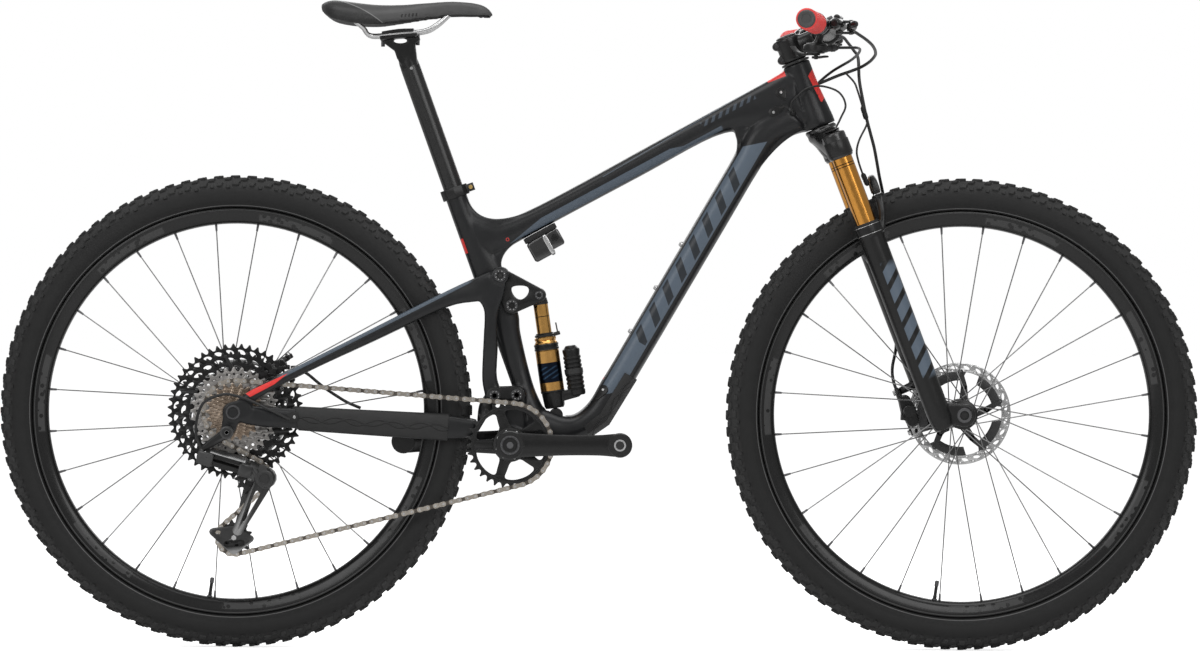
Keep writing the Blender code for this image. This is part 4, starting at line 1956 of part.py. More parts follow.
def stay_posts():
    """Two bosses on the left seatstay that carry the rear caliper."""
    posts = []
    for along in (-CALIPER_SPREAD, CALIPER_SPREAD):
        seat = REAR_CALIPER.at(along, REAR_SEAT, 0.0095)
        foot = REAR_CALIPER.at(along, -0.0200, 0.0095)
        posts.append(rod(foot, seat, 0.0060, 0.0062, steps=10))
    return posts


HOSE_RADIUS = 0.0025
HOUSING_RADIUS = 0.0022
WIRE_RADIUS = 0.0016
HOSE_SPACING = 0.022


def hose(name, route, radius, pivot, spacing=HOSE_SPACING):
    """A hose, housing or wire along its route."""
    return Node(name, tube(smooth_route(route, spacing), radius, 1), "rubber", pivot)


def hoses():
    """The hoses, housings and wires along their routes."""
    left_lever = brake_place(1, -0.0590, 0.0303, 0.0010) - bar_run(1) * GAP
    right_lever = brake_place(-1, -0.0590, 0.0303, 0.0010) - bar_run(-1) * GAP
    leg_side = LEG_OUT + 0.0198 + HOSE_RADIUS + GAP
    inlet = FRONT_CALIPER.at(0.0308, 0.0060, -0.0060)
    hose("front_brake_hose", [
        left_lever, left_lever + Vector((0.0120, -0.0350, -0.0030)), STEER.at(-0.080, 0.0970, 0.0600),
        STEER.at(-0.0480, 0.0860, 0.0440), STEER.at(0.0130, 0.0750, 0.0400), STEER.at(0.0600, 0.0700, 0.0420),
        STEER.at(0.1050, 0.0620, 0.0480), STEER.at(0.1360, 0.0575, 0.0580),
        STEER.at(0.1680, 0.0500, 0.0760), STEER.at(0.2050, 0.0320, leg_side + 0.001),
        STEER.at(0.2600, 0.0150, leg_side), STEER.at(0.3300, 0.0050, leg_side),
        STEER.at(0.3650, -0.0060, leg_side - 0.005), STEER.at(0.3930, -0.0240, 0.0640),
        STEER.at(0.4130, -0.0310, 0.0440), inlet,
    ], HOSE_RADIUS, STEER.origin, 0.030)
    hose("rear_brake_hose", [
        right_lever, right_lever + Vector((0.0150, 0.0350, -0.0040)), HEAD.at(0.0757, 0.1267, -0.0700),
        HEAD.at(0.0845, 0.1106, -0.0150), HEAD.at(0.0657, 0.0947, 0.0250), HEAD.at(0.0310, 0.0817, 0.0360),
        HEAD.at(0.0018, 0.0695, 0.0335), HEAD.at(-0.0323, 0.0577, 0.0335), LEFT_PORTS[0] + Y * 0.0050,
    ], HOSE_RADIUS, STEER.origin)
    start = shifter_place(0.0330 + GAP, 0.0020, -0.0122)
    hose("shift_housing", [
        start, start + Vector((0.0250, 0.0180, 0.0010)), HEAD.at(0.0577, 0.1177, -0.0850),
        HEAD.at(0.0567, 0.1117, -0.0300), HEAD.at(0.0457, 0.1027, 0.0180), HEAD.at(0.0217, 0.0887, 0.0440),
        HEAD.at(-0.0043, 0.0667, 0.0470), HEAD.at(-0.0343, 0.0327, 0.0430), LEFT_PORTS[1] + Y * 0.0050,
    ], HOUSING_RADIUS, STEER.origin)
    right_port = RIGHT_WIRE_PORT
    hose("suspension_wire", [
        right_port, HEAD.at(-0.0463, 0.0347, -0.0345), HEAD.at(-0.0218, 0.0583, -0.0340),
        HEAD.at(0.0007, 0.0623, -0.0340), HEAD.at(0.0274, 0.0531, -0.0360), HEAD.at(0.0379, 0.0327, -0.0450),
        HEAD.at(0.0302, 0.0127, -0.0550), STEER.at(0.0145, FORK_LEG_AHEAD + 0.004, -LEG_OUT + 0.0004),
    ], WIRE_RADIUS, STEER.origin)
    hose("rear_brake_hose_rear", [
        REAR.at(0.1914, 0.0042, 0.0530), REAR.at(0.1704, 0.0130, 0.0535), REAR.at(0.1354, 0.0350, 0.0545),
        REAR.at(0.1094, 0.0560, 0.0545), REAR_CALIPER.at(0.0380, -0.0160, -0.0060),
        REAR_CALIPER.at(0.0290, -0.0107, -0.0060),
    ], HOSE_RADIUS, LOWER_SWING)
    hose("rear_shift_housing", [
        REAR.at(0.0874, -0.0110, -0.0778), REAR.at(0.0554, 0.0050, -0.0870), REAR.at(0.0204, 0.0210, -0.0905),
        REAR.at(-0.0140, 0.0280, -0.0915), REAR.at(-0.0426, 0.0170, -0.0915), REAR.at(-0.0546, -0.0080, -0.0910),
        REAR.at(-0.0561, -0.0330, -0.0900), HOUSING_STOP,
    ], HOUSING_RADIUS, LOWER_SWING)


LEFT_PORTS = (STEER.at(-0.0610, -0.0330, 0.0262), STEER.at(-0.0330, -0.0480, 0.0262))
RIGHT_WIRE_PORT = STEER.at(-0.0345, -0.0330, -0.0306)
HOUSING_STOP = REAR.at(-0.0498, -0.0520, -0.0880)


def sensor_wire():
    """The fork sensor's lead with its two moulded connectors."""
    route = smooth_route([
        HEAD.at(0.0400, 0.0841, 0.0050), HEAD.at(0.0530, 0.0700, 0.0020), HEAD.at(0.0584, 0.0569, 0.0000),
        HEAD.at(0.0660, 0.0329, 0.0000), HEAD.at(0.0728, 0.0112, 0.0000), HEAD.at(0.0724, 0.0021, 0.0000),
        HEAD.at(0.0614, -0.0198, -0.0080), HEAD.at(0.0570, -0.0373, -0.0150), HEAD.at(0.0591, -0.0525, -0.0200),
        HEAD.at(0.0656, -0.0723, -0.0220), HEAD.at(0.0743, -0.0919, -0.0230),
    ], HOSE_SPACING)
    node = Node("sensor_wire", tube(route, WIRE_RADIUS, 1), "rubber", STEER.origin)
    node.join(
        rod(HEAD.at(0.0660, 0.0329, 0.0000), HEAD.at(0.0728, 0.0112, 0.0000), 0.0042),
        rod(HEAD.at(0.0656, -0.0723, -0.0220), HEAD.at(0.0743, -0.0919, -0.0230), 0.0042),
    )


# --- Assembly -------------------------------------------------------------------------------
def build():
    """Build every sub-part."""
    for name, datum in (("front", FRONT), ("rear", REAR)):
        tyre(f"{name}_tyre", datum)
        rim(f"{name}_rim", datum)
    front_hub()
    rear_hub()
    rotor("front_rotor", FRONT, FRONT_ROTOR_OFFSET)
    rotor("rear_rotor", REAR, REAR_ROTOR_OFFSET)
    for part in (
        front_frame, bottom_bracket, seat_clamp, downtube_guard, suspension_battery, swingarm,
        chainstay_guard, rear_axle, upper_link, lower_link, shock_can, shock_shaft, fork_crown,
        fork_lowers, front_axle, stem, handlebar, shifter_body, seatpost, saddle_rails, saddle,
        cassette, chain, chainring, b_knuckle, p_knuckle, cage, front_caliper, rear_caliper, hoses,
        sensor_wire,
    ):
        part()
    for label, side in (("left", 1), ("right", -1)):
        stanchion(f"stanchion_{label}", side)
        grip(f"grip_{label}", side)
        brake_body(f"brake_body_{label}", side)
        brake_blade(f"brake_blade_{label}", side)
    crank("crank_right", -1, 1)
    crank("crank_left", 1, -1)
    shift_lever(
        "shift_thumb_lever",
        ((-0.004, 0.0, 0.0060, 0.0), (-0.0200, -0.0060, 0.0050, 0.0), (-0.0300, -0.0120, 0.0065, 0.0040),
         (-0.0380, -0.0180, 0.0075, 0.0120)), -0.0085, 0.0020,
    )
    shift_lever(
        "shift_release_lever",
        ((0.004, 0.0, 0.0055, 0.0), (0.0120, 0.0160, 0.0045, 0.0), (0.0180, 0.0260, 0.0055, 0.0)), -0.0135,
        0.0018,
    )
    derailleur_link("derailleur_outer_link", -LINK_SPACING / 2)
    derailleur_link("derailleur_inner_link", LINK_SPACING / 2)
    pulley("guide_pulley", GUIDE_PULLEY, 2)
    pulley("tension_pulley", TENSION_PULLEY, 1)


build()
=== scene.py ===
"""The look of the mountain bike: detailed shapes and finishes laid over its solid model.

Metres.  +X points forward, +Y to the rider's left and +Z up; the origin lies on the ground, midway
between the axles.  Each sub-assembly is a class whose fields are its sizes.
"""

import json
import logging
import math
from collections.abc import Callable, Iterable, Sequence
from dataclasses import dataclass, field
from enum import Enum
from typing import Any

import bmesh
import bpy
from mathutils import Matrix, Vector

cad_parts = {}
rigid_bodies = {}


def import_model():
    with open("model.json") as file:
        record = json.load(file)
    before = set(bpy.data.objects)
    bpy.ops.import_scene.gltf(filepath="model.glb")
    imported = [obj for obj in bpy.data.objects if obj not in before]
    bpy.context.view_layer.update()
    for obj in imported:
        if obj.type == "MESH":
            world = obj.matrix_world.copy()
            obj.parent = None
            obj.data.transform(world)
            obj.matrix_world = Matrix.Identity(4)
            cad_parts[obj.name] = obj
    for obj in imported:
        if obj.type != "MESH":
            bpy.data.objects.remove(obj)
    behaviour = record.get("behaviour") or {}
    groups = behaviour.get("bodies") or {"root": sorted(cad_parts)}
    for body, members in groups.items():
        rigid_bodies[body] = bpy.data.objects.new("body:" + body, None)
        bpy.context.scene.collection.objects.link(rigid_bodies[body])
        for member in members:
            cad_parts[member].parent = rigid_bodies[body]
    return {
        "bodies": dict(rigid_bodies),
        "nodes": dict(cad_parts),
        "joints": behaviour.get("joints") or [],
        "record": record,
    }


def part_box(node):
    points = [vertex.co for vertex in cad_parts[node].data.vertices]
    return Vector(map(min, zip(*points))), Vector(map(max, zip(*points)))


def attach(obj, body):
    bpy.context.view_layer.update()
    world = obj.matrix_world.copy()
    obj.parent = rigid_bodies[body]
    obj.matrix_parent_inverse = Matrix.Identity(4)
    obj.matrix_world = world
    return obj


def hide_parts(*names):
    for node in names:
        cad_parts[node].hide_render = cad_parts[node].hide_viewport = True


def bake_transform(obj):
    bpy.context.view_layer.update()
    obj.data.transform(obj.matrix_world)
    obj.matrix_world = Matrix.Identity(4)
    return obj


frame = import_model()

log = logging.getLogger("bike")
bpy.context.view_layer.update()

X = Vector((1.0, 0.0, 0.0))
Y = Vector((0.0, 1.0, 0.0))
Z = Vector((0.0, 0.0, 1.0))
Colour = tuple[float, float, float]
Outline = list[tuple[float, float]]
Station = tuple[tuple[float, float], tuple[float, float], float]
MERGE = 0.000002


# --- Places ---------------------------------------------------------------------------------
@dataclass
class Datum:
    """A point with two directions of the side view, from which places are measured."""

    origin: Vector
    first: Vector
    second: Vector

    def at(self, along: float, across: float, y: float = 0.0) -> Vector:
        """The place this far along both directions, and y to the left."""
        return self.origin + self.first * along + self.second * across + Y * y

    def each(self, *spots: tuple[float, ...]) -> list[Vector]:
        """Several places, each given as at() takes it."""
        return [self.at(*spot) for spot in spots]


def slope(angle: float) -> Vector:
    """The unit direction of the side view at this angle above +X, in degrees."""
    return Vector((math.cos(math.radians(angle)), 0.0, math.sin(math.radians(angle))))


def middle_of(node: str) -> Vector:
    """The centre of a solid's box, moved to the middle plane of the bike."""
    low, high = (Vector(corner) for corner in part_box(node))
    return Vector(((low.x + high.x) / 2, 0.0, (low.z + high.z) / 2))


@dataclass
class Layout:
    """The bike's main places."""

    head_angle: float = 69.0
    seat_angle: float = 70.2
    fork_length: float = 0.4976
    fork_ahead: float = 0.0115
    rear: Datum = field(init=False)
    front: Datum = field(init=False)
    bracket: Datum = field(init=False)
    steer: Datum = field(init=False)
    seat: Datum = field(init=False)
    head: Datum = field(init=False)
    saddle: Datum = field(init=False)
    front_caliper: Datum = field(init=False)

    def __post_init__(self) -> None:
        """Works the datums out from the solids' own places."""
        self.rear = Datum(middle_of("rear_rim"), X, Z)
        self.front = Datum(middle_of("front_rim"), X, Z)
        self.bracket = Datum(middle_of("bottom_bracket"), X, Z)
        down = slope(-self.head_angle)
        ahead = slope(90.0 - self.head_angle)
        self.steer = Datum(Vector((0.34233, 0.0, 0.8153006)), down, ahead)
        collar = self.bracket.at(-0.0904, 0.3953)
        self.seat = Datum(collar, slope(180.0 - self.seat_angle), slope(90.0 - self.seat_angle))
        self.head = Datum(self.steer.origin, X, Z)
        self.saddle = Datum(self.seat.at(0.229, 0.0), X, Z)
        mount = self.steer.at(self.fork_length - 0.0326, self.fork_ahead - 0.016 - 0.0212, 0.0425)
        self.front_caliper = Datum(mount, -down, -ahead)


PLACE = Layout()


# --- Shapes ---------------------------------------------------------------------------------
@dataclass
class Shape:
    """Points and faces of a mesh under construction."""

    points: list[Vector] = field(default_factory=list)
    faces: list[tuple[int, ...]] = field(default_factory=list)

    def join(self, *others: "Shape") -> "Shape":
        """Adds other shapes to this one and returns it."""
        for other in others:
            base = len(self.points)
            self.points.extend(other.points)
            self.faces.extend(tuple(k + base for k in face) for face in other.faces)
        return self

    def placed(self, place: Matrix) -> "Shape":
        """A copy of the shape moved by a matrix."""
        return Shape([place @ point for point in self.points], list(self.faces))

    def mesh(self, name: str) -> bpy.types.Mesh:
        """The shape as a mesh with its faces pointing outwards."""
        made = bpy.data.meshes.new(name)
        made.from_pydata([tuple(point) for point in self.points], [], self.faces)
        work = bmesh.new()
        work.from_mesh(made)
        bmesh.ops.remove_doubles(work, verts=work.verts, dist=MERGE)
        bmesh.ops.recalc_face_normals(work, faces=work.faces)
        work.to_mesh(made)
        work.free()
        return made


def turn_to(direction: Vector) -> Matrix:
    """The rotation that takes +Z to this direction."""
    return Vector(direction).to_track_quat("Z", "Y").to_matrix().to_4x4()


def skin(rings: Sequence[Sequence[Vector]], closed: bool = False, caps: bool = True) -> Shape:
    """A skin through rings that have the same number of points.

    Args:
        rings: the rings in order.
        closed: whether the last ring joins the first.
        caps: whether the two ends are filled.

    Returns:
        The shape.
    """
    count = len(rings[0])
    points = [point.copy() for ring in rings for point in ring]
    faces: list[tuple[int, ...]] = []
    rows = len(rings)
    for row in range(rows if closed else rows - 1):
        low, high = row * count, (row + 1) % rows * count
        for k in range(count):
            after = (k + 1) % count
            faces.append((low + k, low + after, high + after, high + k))
    if caps and not closed:
        faces.append(tuple(range(count)))
        faces.append(tuple(range((rows - 1) * count, rows * count)))
    return Shape(points, faces)


def ring_about(centre: Vector, normal: Vector, radius: float, steps: int, phase: float = 0.0) -> list[Vector]:
    """A round ring about a centre, square to the normal."""
    turn = turn_to(normal)
    ring = []
    for k in range(steps):
        angle = phase + math.tau * k / steps
        ring.append(centre + turn @ Vector((radius * math.cos(angle), radius * math.sin(angle), 0.0)))
    return ring


def rod(start: Vector, end: Vector, radius: float, end_radius: float | None = None, steps: int = 24,
        edge: float = 0.0) -> Shape:
    """A cylinder or cone, with its rims eased by edge."""
    last = radius if end_radius is None else end_radius
    run = (end - start).normalized()
    stations = [(start, radius), (end, last)]
    if edge:
        stations = [(start, radius - edge), (start + run * edge, radius), (end - run * edge, last),
            (end, last - edge)]
    return skin([ring_about(place, run, size, steps) for place, size in stations])


def across(centre: Vector, y_from: float, y_to: float, radius: float, end_radius: float | None = None,
        steps: int = 24, edge: float = 0.0) -> Shape:
    """A cylinder across the bike through a place of the side view."""
    start, end = centre.copy(), centre.copy()
    start.y, end.y = y_from, y_to
    return rod(start, end, radius, end_radius, steps, edge)


def lathe(profile: Sequence[tuple[float, float]], centre: Vector, axis: Vector = Y, steps: int = 48,
        closed: bool = False) -> Shape:
    """A profile of (distance along the axis, radius) turned round the axis."""
    turn = turn_to(axis)
    rings = []
    for k in range(steps):
        angle = math.tau * k / steps
        spoke = Vector((math.cos(angle), math.sin(angle), 0.0))
        rings.append([centre + turn @ (spoke * radius + Z * along) for along, radius in profile])
    count = len(profile)
    points = [point for ring in rings for point in ring]
    faces = []
    for row in range(steps):
        low, high = row * count, (row + 1) % steps * count
        for k in range(count if closed else count - 1):
            after = (k + 1) % count
            faces.append((low + k, low + after, high + after, high + k))
    return Shape(points, faces)


def curve_at(a: Vector, b: Vector, c: Vector, d: Vector, t: float) -> Vector:
    """The place at share t from b to c on a smooth curve through all four."""
    return ((b * 2) + (c - a) * t + (a * 2 - b * 5 + c * 4 - d) * t**2 + (b * 3 - a - c * 3 + d) * t**3) / 2


def smooth_route(points: Sequence[Vector], spacing: float) -> list[Vector]:
    """Points at about this spacing on a smooth curve through the route's own points."""
    ends = [points[0] * 2 - points[1], *points, points[-1] * 2 - points[-2]]
    route = []
    for a, b, c, d in zip(ends, ends[1:], ends[2:], ends[3:]):
        pieces = max(1, round((c - b).length / spacing))
        for k in range(pieces):
            route.append(curve_at(a, b, c, d, k / pieces))
    route.append(points[-1])
    return route


def sweep(route: Sequence[Vector], radius: float | Callable[[float], float], steps: int = 12,
        caps: bool = True) -> Shape:
    """A round tube along a route, with its rings carried along without twist.

    Args:
        route: the points that the tube follows.
        radius: its radius, or a function of the share of the route.
        steps: points in each ring.
        caps: whether the ends are filled.

    Returns:
        The shape.
    """
    rings = []
    side: Vector | None = None
    for k, point in enumerate(route):
        before, after = route[max(k - 1, 0)], route[min(k + 1, len(route) - 1)]
        run = (after - before).normalized()
        if side is None:
            side = run.orthogonal().normalized()
        side = (side - run * side.dot(run)).normalized()
        up = run.cross(side)
        size = radius(k / (len(route) - 1)) if callable(radius) else radius
        rings.append([point + (side * math.cos(math.tau * j / steps) + up * math.sin(math.tau * j / steps)) * size
                for j in range(steps)])
    return skin(rings, caps=caps)


def oval(top: Vector, bottom: Vector, half_width: float, y: float = 0.0, power: float = 2.4,
        points: int = 32) -> list[Vector]:
    """A ring between two places of the side view, round at power 2 and boxy above it."""
    centre = (top + bottom) / 2
    rise = (top - bottom) / 2
    ring = []
    for k in range(points):
        wide, tall = squared(math.tau * k / points, 2 / power)
        ring.append(centre + rise * tall + Y * (y + half_width * wide))
    return ring


def ovals(at: Callable[..., Vector], stations: Sequence["Station"], power: float) -> list[list[Vector]]:
    """Ovals at stations of (top, bottom, half width), which one datum's function places."""
    return [oval(at(*top), at(*bottom), half, power=power) for top, bottom, half in stations]


def squared(angle: float, power: float) -> tuple[float, float]:
    """The cosine and sine of an angle, drawn towards a square by a power below 1."""
    wide, tall = math.cos(angle), math.sin(angle)
    return math.copysign(abs(wide) ** power, wide), math.copysign(abs(tall) ** power, tall)


def smooth_rings(rings: Sequence[Sequence[Vector]], pieces: int = 4, closed: bool = False) -> list[list[Vector]]:
    """More rings on smooth curves through the points of the given ones."""
    count = len(rings)
    made = []
    for k in range(count if closed else count - 1):
        if closed:
            four = [rings[(k + step) % count] for step in (-1, 0, 1, 2)]
        else:
            four = [rings[min(max(k + step, 0), count - 1)] for step in (-1, 0, 1, 2)]
        for piece in range(pieces):
            made.append([curve_at(a, b, c, d, piece / pieces) for a, b, c, d in zip(*four)])
    if not closed:
        made.append([point.copy() for point in rings[-1]])
    return made


def loft(rings: Sequence[Sequence[Vector]], pieces: int) -> Shape:
    """A skin drawn smoothly through a few rings."""
    return skin(smooth_rings(rings, pieces))


def circle(centre: Vector, radius: float, steps: int = 48, phase: float = 0.0) -> Outline:
    """A round outline about a place of the side view."""
    return [(centre.x + radius * math.cos(phase + math.tau * k / steps),
            centre.z + radius * math.sin(phase + math.tau * k / steps)) for k in range(steps)]


def polar(centre: Vector, radius: float, angle: float) -> Vector:
    """A place of the side view by distance and angle from a centre."""
    return centre + Vector((math.cos(angle), 0.0, math.sin(angle))) * radius


def flat(points: Iterable[Vector]) -> Outline:
    """Places of the side view as an outline."""
    return [(point.x, point.z) for point in points]


def belt(rounds: Sequence[tuple[Vector, float]], steps: int = 48) -> Outline:
    """The outline of a belt drawn tight around circles of (centre, radius)."""
    points = sorted({place for centre, radius in rounds for place in circle(centre, radius, steps)})

    def half(ordered: list[tuple[float, float]]) -> Outline:
        """One side of the belt."""
        chain: Outline = []
        for point in ordered:
            while len(chain) > 1:
                (ax, az), (bx, bz) = chain[-2], chain[-1]
                if (bx - ax) * (point[1] - az) - (bz - az) * (point[0] - ax) > 1e-10:
                    break
                chain.pop()
            chain.append(point)
        return chain[:-1]

    return half(points) + half(points[::-1])


def eased(outline: Outline, pieces: int = 5, pull: float = 0.5) -> Outline:
    """The outline with its corners drawn round by repeated corner cutting."""
    for _ in range(pieces):
        made: Outline = []
        for (ax, az), (bx, bz) in zip(outline, outline[1:] + outline[:1]):
            low, high = 0.5 - pull / 2, 0.5 + pull / 2
            made.append((ax + (bx - ax) * low, az + (bz - az) * low))
            made.append((ax + (bx - ax) * high, az + (bz - az) * high))
        outline = made
    return outline


def opening(centre: Vector, first: float, step: float, spots: Sequence[tuple[float, float]]) -> Outline:
    """A rounded opening through places of (distance from the centre, steps beyond the first angle)."""
    return eased(flat([polar(centre, reach, first + step * share) for reach, share in spots]), 2)


def read_shape(source: bpy.types.Object, place: Matrix) -> Shape:
    """The evaluated mesh of a helper object as a shape; the helper is removed."""
    bpy.context.view_layer.update()
    evaluated = source.evaluated_get(bpy.context.evaluated_depsgraph_get())
    mesh = bpy.data.meshes.new_from_object(evaluated)
    shape = Shape([place @ vertex.co for vertex in mesh.vertices], [tuple(face.vertices) for face in mesh.polygons])
    bpy.data.objects.remove(source)
    bpy.data.meshes.remove(mesh)
    return shape


def plate(outlines: Sequence[Outline], y_from: float, y_to: float, edge: float = 0.0) -> Shape:
    """A flat plate across the bike; the first outline is its rim and the others are holes.

    Args:
        outlines: closed outlines of the side view.
        y_from: one face of the plate.
        y_to: its other face.
        edge: how far the rims are eased.

    Returns:
        The shape.
    """
    curve = bpy.data.curves.new("outline", "CURVE")
    curve.dimensions = "2D"
    curve.fill_mode = "BOTH"
    curve.extrude = abs(y_to - y_from) / 2 - edge
    curve.bevel_depth = edge
    curve.bevel_resolution = 1
    curve.offset = -edge
    for outline in outlines:
        spline = curve.splines.new("POLY")
        spline.points.add(len(outline) - 1)
        for point, place in zip(spline.points, outline):
            point.co = (place[0], place[1], 0.0, 1.0)
        spline.use_cyclic_u = True
    source = bpy.data.objects.new("outline", curve)
    bpy.context.scene.collection.objects.link(source)
    upright = Matrix.Rotation(math.pi / 2, 4, "X")
    return read_shape(source, Matrix.Translation(Y * (y_from + y_to) / 2) @ upright)


def block(centre: Vector, size: Sequence[float], direction: Vector = X, taper: float = 1.0) -> Shape:
    """A box of size (along direction, across the bike, third), its far end scaled by taper."""
    run = direction.normalized()
    third = run.cross(Y).normalized()
    corners = []
    for up in (-0.5, 0.5):
        scale = taper if up > 0 else 1.0
        for along, wide in ((-0.5, -0.5), (0.5, -0.5), (0.5, 0.5), (-0.5, 0.5)):
            corners.append(centre + run * size[0] * along * scale + Y * size[1] * wide * scale + third * size[2] * up)
    faces = [(3, 2, 1, 0), (4, 5, 6, 7), (0, 1, 5, 4), (1, 2, 6, 5), (2, 3, 7, 6), (3, 0, 4, 7)]
    return Shape(corners, faces)


def of_node(name: str) -> Shape:
    """The shape of one of the solids."""
    mesh = frame["nodes"][name].data
    return Shape([vertex.co.copy() for vertex in mesh.vertices], [tuple(face.vertices) for face in mesh.polygons])


# --- Pieces ---------------------------------------------------------------------------------
BODY_OF = {node: body for body, nodes in frame["record"]["behaviour"]["bodies"].items() for node in nodes}
SLOT_OF = {row["node"]: row["material_slot"] for row in frame["record"]["subparts"]}


@dataclass(frozen=True)
class Make:
    """How a piece's mesh is worked after it is drawn.

    Attributes:
        voxel: the grain of a remesh that melts its shapes into one, or 0.
        relax: smoothing passes after that.
        bevel: how far sharp edges are eased, or 0.
        subdivide: levels of subdivision.
        sharp: the angle above which an edge stays crisp, in degrees.
    """

    voxel: float = 0.0
    relax: int = 0
    bevel: float = 0.0
    subdivide: int = 0
    sharp: float = 38.0


CRISP = Make(sharp=30.0)


def work_mesh(item: bpy.types.Object, make: Make) -> None:
    """Applies a piece's working steps to its mesh."""
    if make.bevel and not make.voxel:
        dissolve = item.modifiers.new("Faces", "DECIMATE")
        dissolve.decimate_type = "DISSOLVE"
        dissolve.angle_limit = math.radians(1.0)
        bevel = item.modifiers.new("Edges", "BEVEL")
        bevel.width = make.bevel
        bevel.segments = 2
        bevel.limit_method = "ANGLE"
        bevel.angle_limit = math.radians(make.sharp)
        bevel.use_clamp_overlap = True
    if make.voxel:
        remesh = item.modifiers.new("Melt", "REMESH")
        remesh.mode = "VOXEL"
        remesh.voxel_size = make.voxel
        remesh.use_smooth_shade = True
    if make.relax:
        relax = item.modifiers.new("Relax", "SMOOTH")
        relax.factor = 0.5
        relax.iterations = make.relax
    if make.subdivide:
        rounded = item.modifiers.new("Round", "SUBSURF")
        rounded.levels = make.subdivide
        rounded.render_levels = make.subdivide
    if item.modifiers:
        apply_steps(item)


def apply_steps(item: bpy.types.Object) -> None:
    """Turns a piece's modifiers into its mesh."""
    bpy.context.view_layer.update()
    evaluated = item.evaluated_get(bpy.context.evaluated_depsgraph_get())
    mesh = bpy.data.meshes.new_from_object(evaluated)
    item.modifiers.clear()
    before = item.data
    item.data = mesh
    bpy.data.meshes.remove(before)


def carve(item: bpy.types.Object, cut: Shape) -> None:
    """Takes a closed shape out of a piece."""
    knife = bpy.data.objects.new("knife", cut.mesh("knife"))
    bpy.context.scene.collection.objects.link(knife)
    boolean = item.modifiers.new("Carve", "BOOLEAN")
    boolean.operation = "DIFFERENCE"
    boolean.solver = "EXACT"
    boolean.object = knife
    apply_steps(item)
    bpy.data.objects.remove(knife)


def add_piece(name: str, shape: Shape, finish: "Finish", node: str = "", body: str = "", make: Make = Make(),
        replaces: bool = True, cut: Shape | None = None) -> bpy.types.Object:
    """Makes a piece from a shape, dresses it and sets it on its body.

    Args:
        name: the piece's own name.
        shape: its shape, in place.
        finish: its finish.
        node: the solid that it stands for or goes with.
        body: the body that it rides, where that isn't the node's.
        make: how its mesh is worked.
        replaces: whether the node is hidden by it.
        cut: a closed shape that is taken out of it first.

    Returns:
        The piece.
    """
    item = bpy.data.objects.new(name, shape.mesh(name))
    bpy.context.scene.collection.objects.link(item)
    if cut:
        work_mesh(item, Make(voxel=make.voxel))
        carve(item, cut)
    work_mesh(item, make)
    item.data.shade_smooth()
    item.data.set_sharp_from_angle(angle=math.radians(make.sharp))
    item.data.materials.clear()
    item.data.materials.append(finish.material())
    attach(item, body or BODY_OF[node])
    if node and replaces:
        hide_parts(node)
    node in SLOT_OF
    log.info("%s: %d faces, %s", name, len(item.data.polygons), finish.name)
    return item


def add_trim(name: str, shape: Shape, finish: "Finish", node: str, make: Make = Make()) -> bpy.types.Object:
    """Makes a piece that goes with a solid without standing for it."""
    return add_piece(name, shape, finish, node, make=make, replaces=False)


def dress_node(node: str, finish: "Finish", make: Make = Make(bevel=0.0005)) -> bpy.types.Object:
    """Stands an eased copy of a solid in its place, with its finish."""
    return add_piece(f"{node}_skin", of_node(node), finish, node, make=make)


# --- Shading --------------------------------------------------------------------------------
class Field:
    """A number or vector that varies over a surface, written into maths with plain operators."""

    def __init__(self, shader: "Shader", socket: bpy.types.NodeSocket) -> None:
        """Wraps a socket of the shader's nodes."""
        self.shader = shader
        self.socket = socket

    def maths(self, operation: str, *values: "Field | float") -> "Field":
        """A Math node over these values, in order."""
        return self.shader.node("ShaderNodeMath", {"operation": operation}, dict(enumerate(values)))

    def __add__(self, other: "Field | float") -> "Field":
        """This plus another."""
        return self.maths("ADD", self, other)

    __radd__ = __add__

    def __sub__(self, other: "Field | float") -> "Field":
        """This minus another."""
        return self.maths("SUBTRACT", self, other)

    def __rsub__(self, other: "Field | float") -> "Field":
        """Another minus this."""
        return self.maths("SUBTRACT", other, self)

    def __mul__(self, other: "Field | float") -> "Field":
        """This times another."""
        return self.maths("MULTIPLY", self, other)

    __rmul__ = __mul__

    def __truediv__(self, other: "Field | float") -> "Field":
        """This over another."""
        return self.maths("DIVIDE", self, other)

    def __abs__(self) -> "Field":
        """Its size without its sign."""
        return self.maths("ABSOLUTE", self)

    def __mod__(self, other: float) -> "Field":
        """What is left after whole steps of another."""
        return self.maths("FLOORED_MODULO", self, other)

    def sine(self) -> "Field":
        """Its sine."""
        return self.maths("SINE", self)

    def largest(self, other: "Field | float") -> "Field":
        """The larger of this and another."""
        return self.maths("MAXIMUM", self, other)

    def least(self, other: "Field | float") -> "Field":
        """The smaller of this and another."""
        return self.maths("MINIMUM", self, other)

    def clipped(self) -> "Field":
        """It held between 0 and 1."""
        return self.largest(0.0).least(1.0)

    def above(self, edge: "Field | float", soft: float = 0.0006) -> "Field":
        """1 where it is above an edge and 0 below, over a soft step."""
        return ((self - edge) / soft + 0.5).clipped()

    def between(self, low: float, high: float, soft: float = 0.0006) -> "Field":
        """1 between two edges and 0 outside."""
        return self.above(low, soft) * (1.0 - self.above(high, soft))


Input = Field | float | tuple[float, ...]


